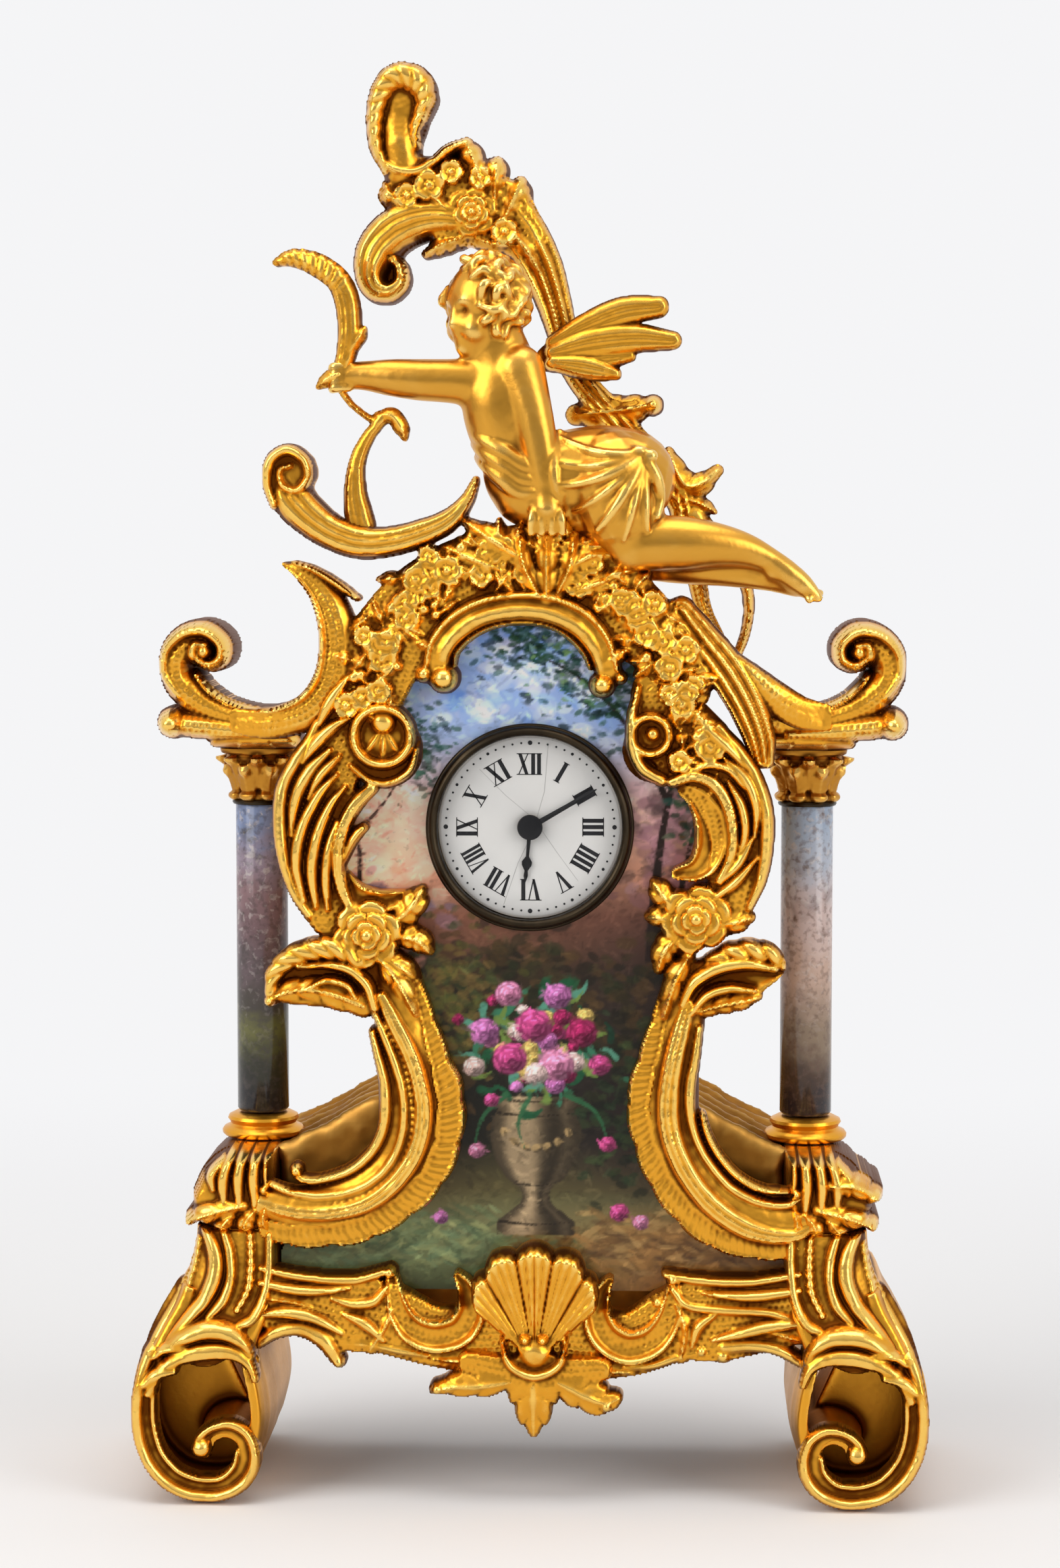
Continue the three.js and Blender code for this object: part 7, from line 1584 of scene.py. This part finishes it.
def serifs(left, right, *levels):
    return [[(left, z), (right, z), (right, z + dial["serif"]), (left, z + dial["serif"])] for z in levels]


def strokesOf(letter, left, tall):
    right = left + dial["widths"][letter] - 0.3
    top = tall - dial["serif"]
    if letter == "I":
        start, wide = left + 0.5 - dial["thick"], 2 * dial["thick"]
        return [slant(start, wide, start, wide, tall)] + serifs(left - 0.05, left + 1.05, 0, top)
    thin = (right - 0.2, 0.2, tall)
    ends = (left - 0.25, right + 0.25)
    if letter == "V":
        tip = (left + right) / 2
        return [slant(tip - 0.1, 0.4, left, 0.66, tall), slant(tip, 0.2, *thin)] + serifs(*ends, top)
    return [slant(right - 0.62, 0.62, left, 0.62, tall), slant(left, 0.2, *thin)] + serifs(*ends, 0, top)


polygons = []
for hour, word in enumerate(("XII", "I", "II", "III", "IIII", "V", "VI", "VII", "VIII", "IX", "X", "XI")):
    spin = -math.radians(30 * hour)
    total = sum(dial["widths"][letter] for letter in word)
    squeeze = min(1.0, 4.0 / total)
    left = -total / 2
    for letter in word:
        for stroke in strokesOf(letter, left, dial["numeralTall"]):
            points = [(x * squeeze, z + dial["numeralAt"] - dial["numeralTall"] / 2) for x, z in stroke]
            polygons.append([(x * math.cos(spin) - z * math.sin(spin), x * math.sin(spin) + z * math.cos(spin))
                             for x, z in points])
        left += dial["widths"][letter]
for minute in range(60):
    a = 2 * math.pi * minute / 60
    size = 0.4 if minute % 15 == 0 else 0.27 if minute % 5 == 0 else 0.19
    x, z = dial["dots"] * math.sin(a), dial["dots"] * math.cos(a)
    polygons.append([(x + size * math.cos(b), z + size * math.sin(b))
                     for b in np.linspace(0, 2 * np.pi, 9)[:-1]])
inkPiece("dialNumerals", polygons, 0.03, dialInk)
polygons = [[(x0 - 0.04, z0), (x0 + 0.04, z0), (x1 + 0.04, z1), (x1 - 0.04, z1)]
            for line in dial["cracks"] for (x0, z0), (x1, z1) in zip(line, line[1:])]
inkPiece("dialCrackLines", polygons, 0.012, dialCracks)

hands = {
    "minute": {"degrees": 60, "back": -14.5, "edge": -14.66, "ridge": -14.8,
               "rows": [(1.2, 0.46), (7.5, 0.36), (11.4, 0.42), (12.8, 0.08)],
               "hub": [(0, -14.5), (2.1, -14.5), (2.1, -14.76), (1.95, -14.95), (1.3, -15.08), (0, -15.12)]},
    "hour": {"degrees": 185, "back": -14.05, "edge": -14.2, "ridge": -14.34,
             "rows": [(1.7, 0.34), (4.9, 0.26), (5.8, 0.86), (6.4, 0.8), (7.3, 0.28), (8.2, 0.36), (9.3, 0.06)],
             "hub": [(1.6, -14.05), (1.95, -14.05), (1.95, -14.32), (1.6, -14.32), (1.6, -14.05)]},
}
for word, hand in hands.items():
    turn = math.radians(hand["degrees"])
    back, edge, ridge = hand["back"], hand["edge"], hand["ridge"]
    places = []
    for reach, half in hand["rows"]:
        for across, y in ((-half, back), (-half, edge), (0, ridge), (half, edge), (half, back)):
            places.append((mm * (reach * math.sin(turn) + across * math.cos(turn)), mm * y,
                           mm * (dial["z"] + reach * math.cos(turn) - across * math.sin(turn))))
    blade = newPiece(word + "HandBlade", places, tubeFaces(len(hand["rows"]), 5))
    piece = turned(word + "Hand", hand["hub"], (0, 0, dial["z"]), (0, 1, 0), 48)
    joinTo(piece, blade)
    turnOutward(piece)
    settle(piece, blackSteel, [word + "_hand"], word + "_work", 30)

bezel = [(15.6, -0.3), (17.3, -0.3), (17.35, -0.8), (17.3, -1.3), (17.1, -1.5), (16.95, -1.55), (16.9, -1.75),
         (16.75, -2.2), (16.4, -2.65), (16.0, -2.8), (15.6, -2.6), (15.35, -2.1), (15.3, -1.6), (15.45, -1.5),
         (15.6, -0.3)]
dialTurned("bezelRing", bezel, 128, darkBronze, ["bezel"])
clearGlass, place, shader = newMaterial("glass", {"Base Color": (0.02, 0.02, 0.02, 1), "Roughness": 0.02,
                                                  "IOR": 1.3})
(noise(place, 40.0) * 0.03 + 0.05).into(shader, "Alpha")
dome = [(0, -2.9), (5, -2.86), (10, -2.66), (14, -2.25), (15.1, -2.05), (15.1, -1.7), (14, -1.9), (10, -2.3),
        (5, -2.5), (0, -2.54)]
dialTurned("glassDome", dome, 96, clearGlass, ["glass"], angle=60)
print("dial made")

# Drum and clamp ring behind the dial, and the finish of the plates, wheels and arbors
drumShell = [(15.6, 0.1), (16.4, 0.1), (16.4, 19.4), (16.1, 19.9), (16.4, 20.4), (16.4, 20.9), (15.6, 20.9),
             (15.6, 0.1)]
dialTurned("drumShell", drumShell, 96, brass, ["drum_case"], angle=30)
clampRing = [(16.8, 0), (18.6, 0), (19, 0.4), (19, 1.3), (18.6, 1.7), (17.2, 1.7), (16.8, 1.4), (16.8, 0)]
dialTurned("clampRingTurned", clampRing, 96, brass, ["clamp_ring"], -10.4, 30)
for name in ("drum_cap", "backing_plate", "pillar_plate", "back_plate", "mainspring_barrel", "centre_wheel",
             "third_wheel", "fourth_wheel", "escape_wheel", "balance_wheel", "balance_cock", "minute_wheel",
             "hour_wheel", "winding_key", "setting_knob"):
    finishWith(nodes[name], brass)
for name in ("left_tie_rod", "right_tie_rod", "barrel_arbor", "click", "centre_arbor", "pallet_lever",
             "hairspring", "cannon_pinion"):
    finishWith(nodes[name], steel)

# Base: the hollow body with softened edges, uneven faces and mouldings along its roof
roof = {"slope": [(43, 57.4), (38.4, 59.6), (33.2, 62.2), (28.2, 65.2), (22, 66.6), (0, 66.9)],
        "rails": (-8.8, -2.0, 4.6, 11.4, 18.2), "radius": 1.0, "unevenness": 0.3, "unevenSize": 3.4}
source = nodes["base_casting"]
parts = [([source.matrix_world @ vertex.co / mm for vertex in source.data.vertices],
          [tuple(face.vertices) for face in source.data.polygons])]
for y in roof["rails"]:
    for side in (-1, 1):
        parts.append(limbMesh([(side * x, y, z, roof["radius"]) for x, z in roof["slope"]], 12))
piece = remeshed("baseCast", parts, voxel=0.7, smoothing=6)
co, normal = meshArrays(piece)
uneven = np.array([fractal(Vector(place) / (roof["unevenSize"] * mm), 1.0, 2.0, 3) for place in co])
moveMesh(piece, co + (uneven * roof["unevenness"] * mm)[:, None] * normal)
hollowOfMesh(piece, passes=10, gain=1400.0)
settle(piece, oldGilt, ["base_casting"], angle=180)
print("back made")


# Studio: pale floor that fades into a white ground, soft lights, camera
def seenBy(place):
    camera, glossy, through = (place.add("ShaderNodeLightPath", {}, {}, "Is %s Ray" % kind)
                               for kind in ("Camera", "Glossy", "Transmission"))
    return (camera + glossy + through).clamped()


whiteGround = (0.913, 0.913, 0.925)
bpy.ops.object.select_all(action="DESELECT")
bpy.ops.mesh.primitive_plane_add(size=6, location=(0, 0, -0.0002))
floor = bpy.context.object
floor.name = "floor"
floorPaint, place, shader = newMaterial("floor", {"Roughness": 0.7, "Specular IOR Level": 0.1})
noise(place, 6.0).blend((0.86, 0.85, 0.845), (0.88, 0.875, 0.87)).into(shader, "Base Color")
tree = floorPaint.node_tree
away = place.add("ShaderNodeSeparateXYZ", {}, {0: place}, "Y")
fade = away.between(0.0, 0.4) * seenBy(place)
white = place.add("ShaderNodeEmission", {}, {"Color": whiteGround + (1,)})
mixed = place.add("ShaderNodeMixShader", {}, {0: fade, 1: Wire(tree, shader.outputs[0]), 2: white})
mixed.into(tree.nodes["Material Output"], "Surface")
floor.data.materials.append(floorPaint)

world = bpy.data.worlds.new("studio")
bpy.context.scene.world = world
world.use_nodes = True
tree = world.node_tree
ground = tree.nodes["Background"]
ground.inputs["Strength"].default_value = 1.0
direction = Wire(tree, tree.nodes.new("ShaderNodeTexCoord").outputs["Generated"])
behind = direction.add("ShaderNodeSeparateXYZ", {}, {0: direction}, "Y")
above = direction.add("ShaderNodeSeparateXYZ", {}, {0: direction}, "Z")
room = above.between(-0.4, 0.9).blend((0.22, 0.21, 0.2), (0.8, 0.8, 0.81))
backdrop = behind.between(-0.3, 0.3).blend(room, whiteGround)
seenBy(direction).blend((0.32, 0.32, 0.325), backdrop).into(ground, "Color")


def aimed(made, place, aim):
    made.location = place
    made.rotation_euler = (Vector(aim) - Vector(place)).to_track_quat("-Z", "Y").to_euler()
    return made


def softbox(name, place, aim, size, power, colour):
    light = bpy.data.lights.new(name, "AREA")
    light.shape = "RECTANGLE"
    light.size, light.size_y = size
    light.energy = power
    light.color = colour
    aimed(linked(name, light), place, aim)


softbox("leftSoftbox", (-0.9, -0.7, 0.7), (0, 0, 0.12), (0.8, 0.9), 8.0, (1, 0.98, 0.96))
softbox("rightSoftbox", (0.95, -0.6, 0.5), (0, 0, 0.12), (0.6, 0.9), 5.2, (1, 0.98, 0.97))
softbox("topSoftbox", (0.0, -0.1, 1.1), (0, 0, 0.1), (1.0, 0.7), 6.0, (1, 1, 1))

view = {"away": 0.56, "height": 0.165, "right": 0.024, "frontPlane": -0.014, "spanTall": 0.2594,
        "aim": (0.0, -0.014, 0.1202), "sensor": 36}
lens = bpy.data.cameras.new("camera")
lens.sensor_width = view["sensor"]
lens.lens = view["sensor"] * view["away"] / view["spanTall"]
eye = (view["right"], view["frontPlane"] - view["away"], view["height"])
bpy.context.scene.camera = aimed(linked("camera", lens), eye, view["aim"])
bpy.context.scene.view_settings.view_transform = "Standard"
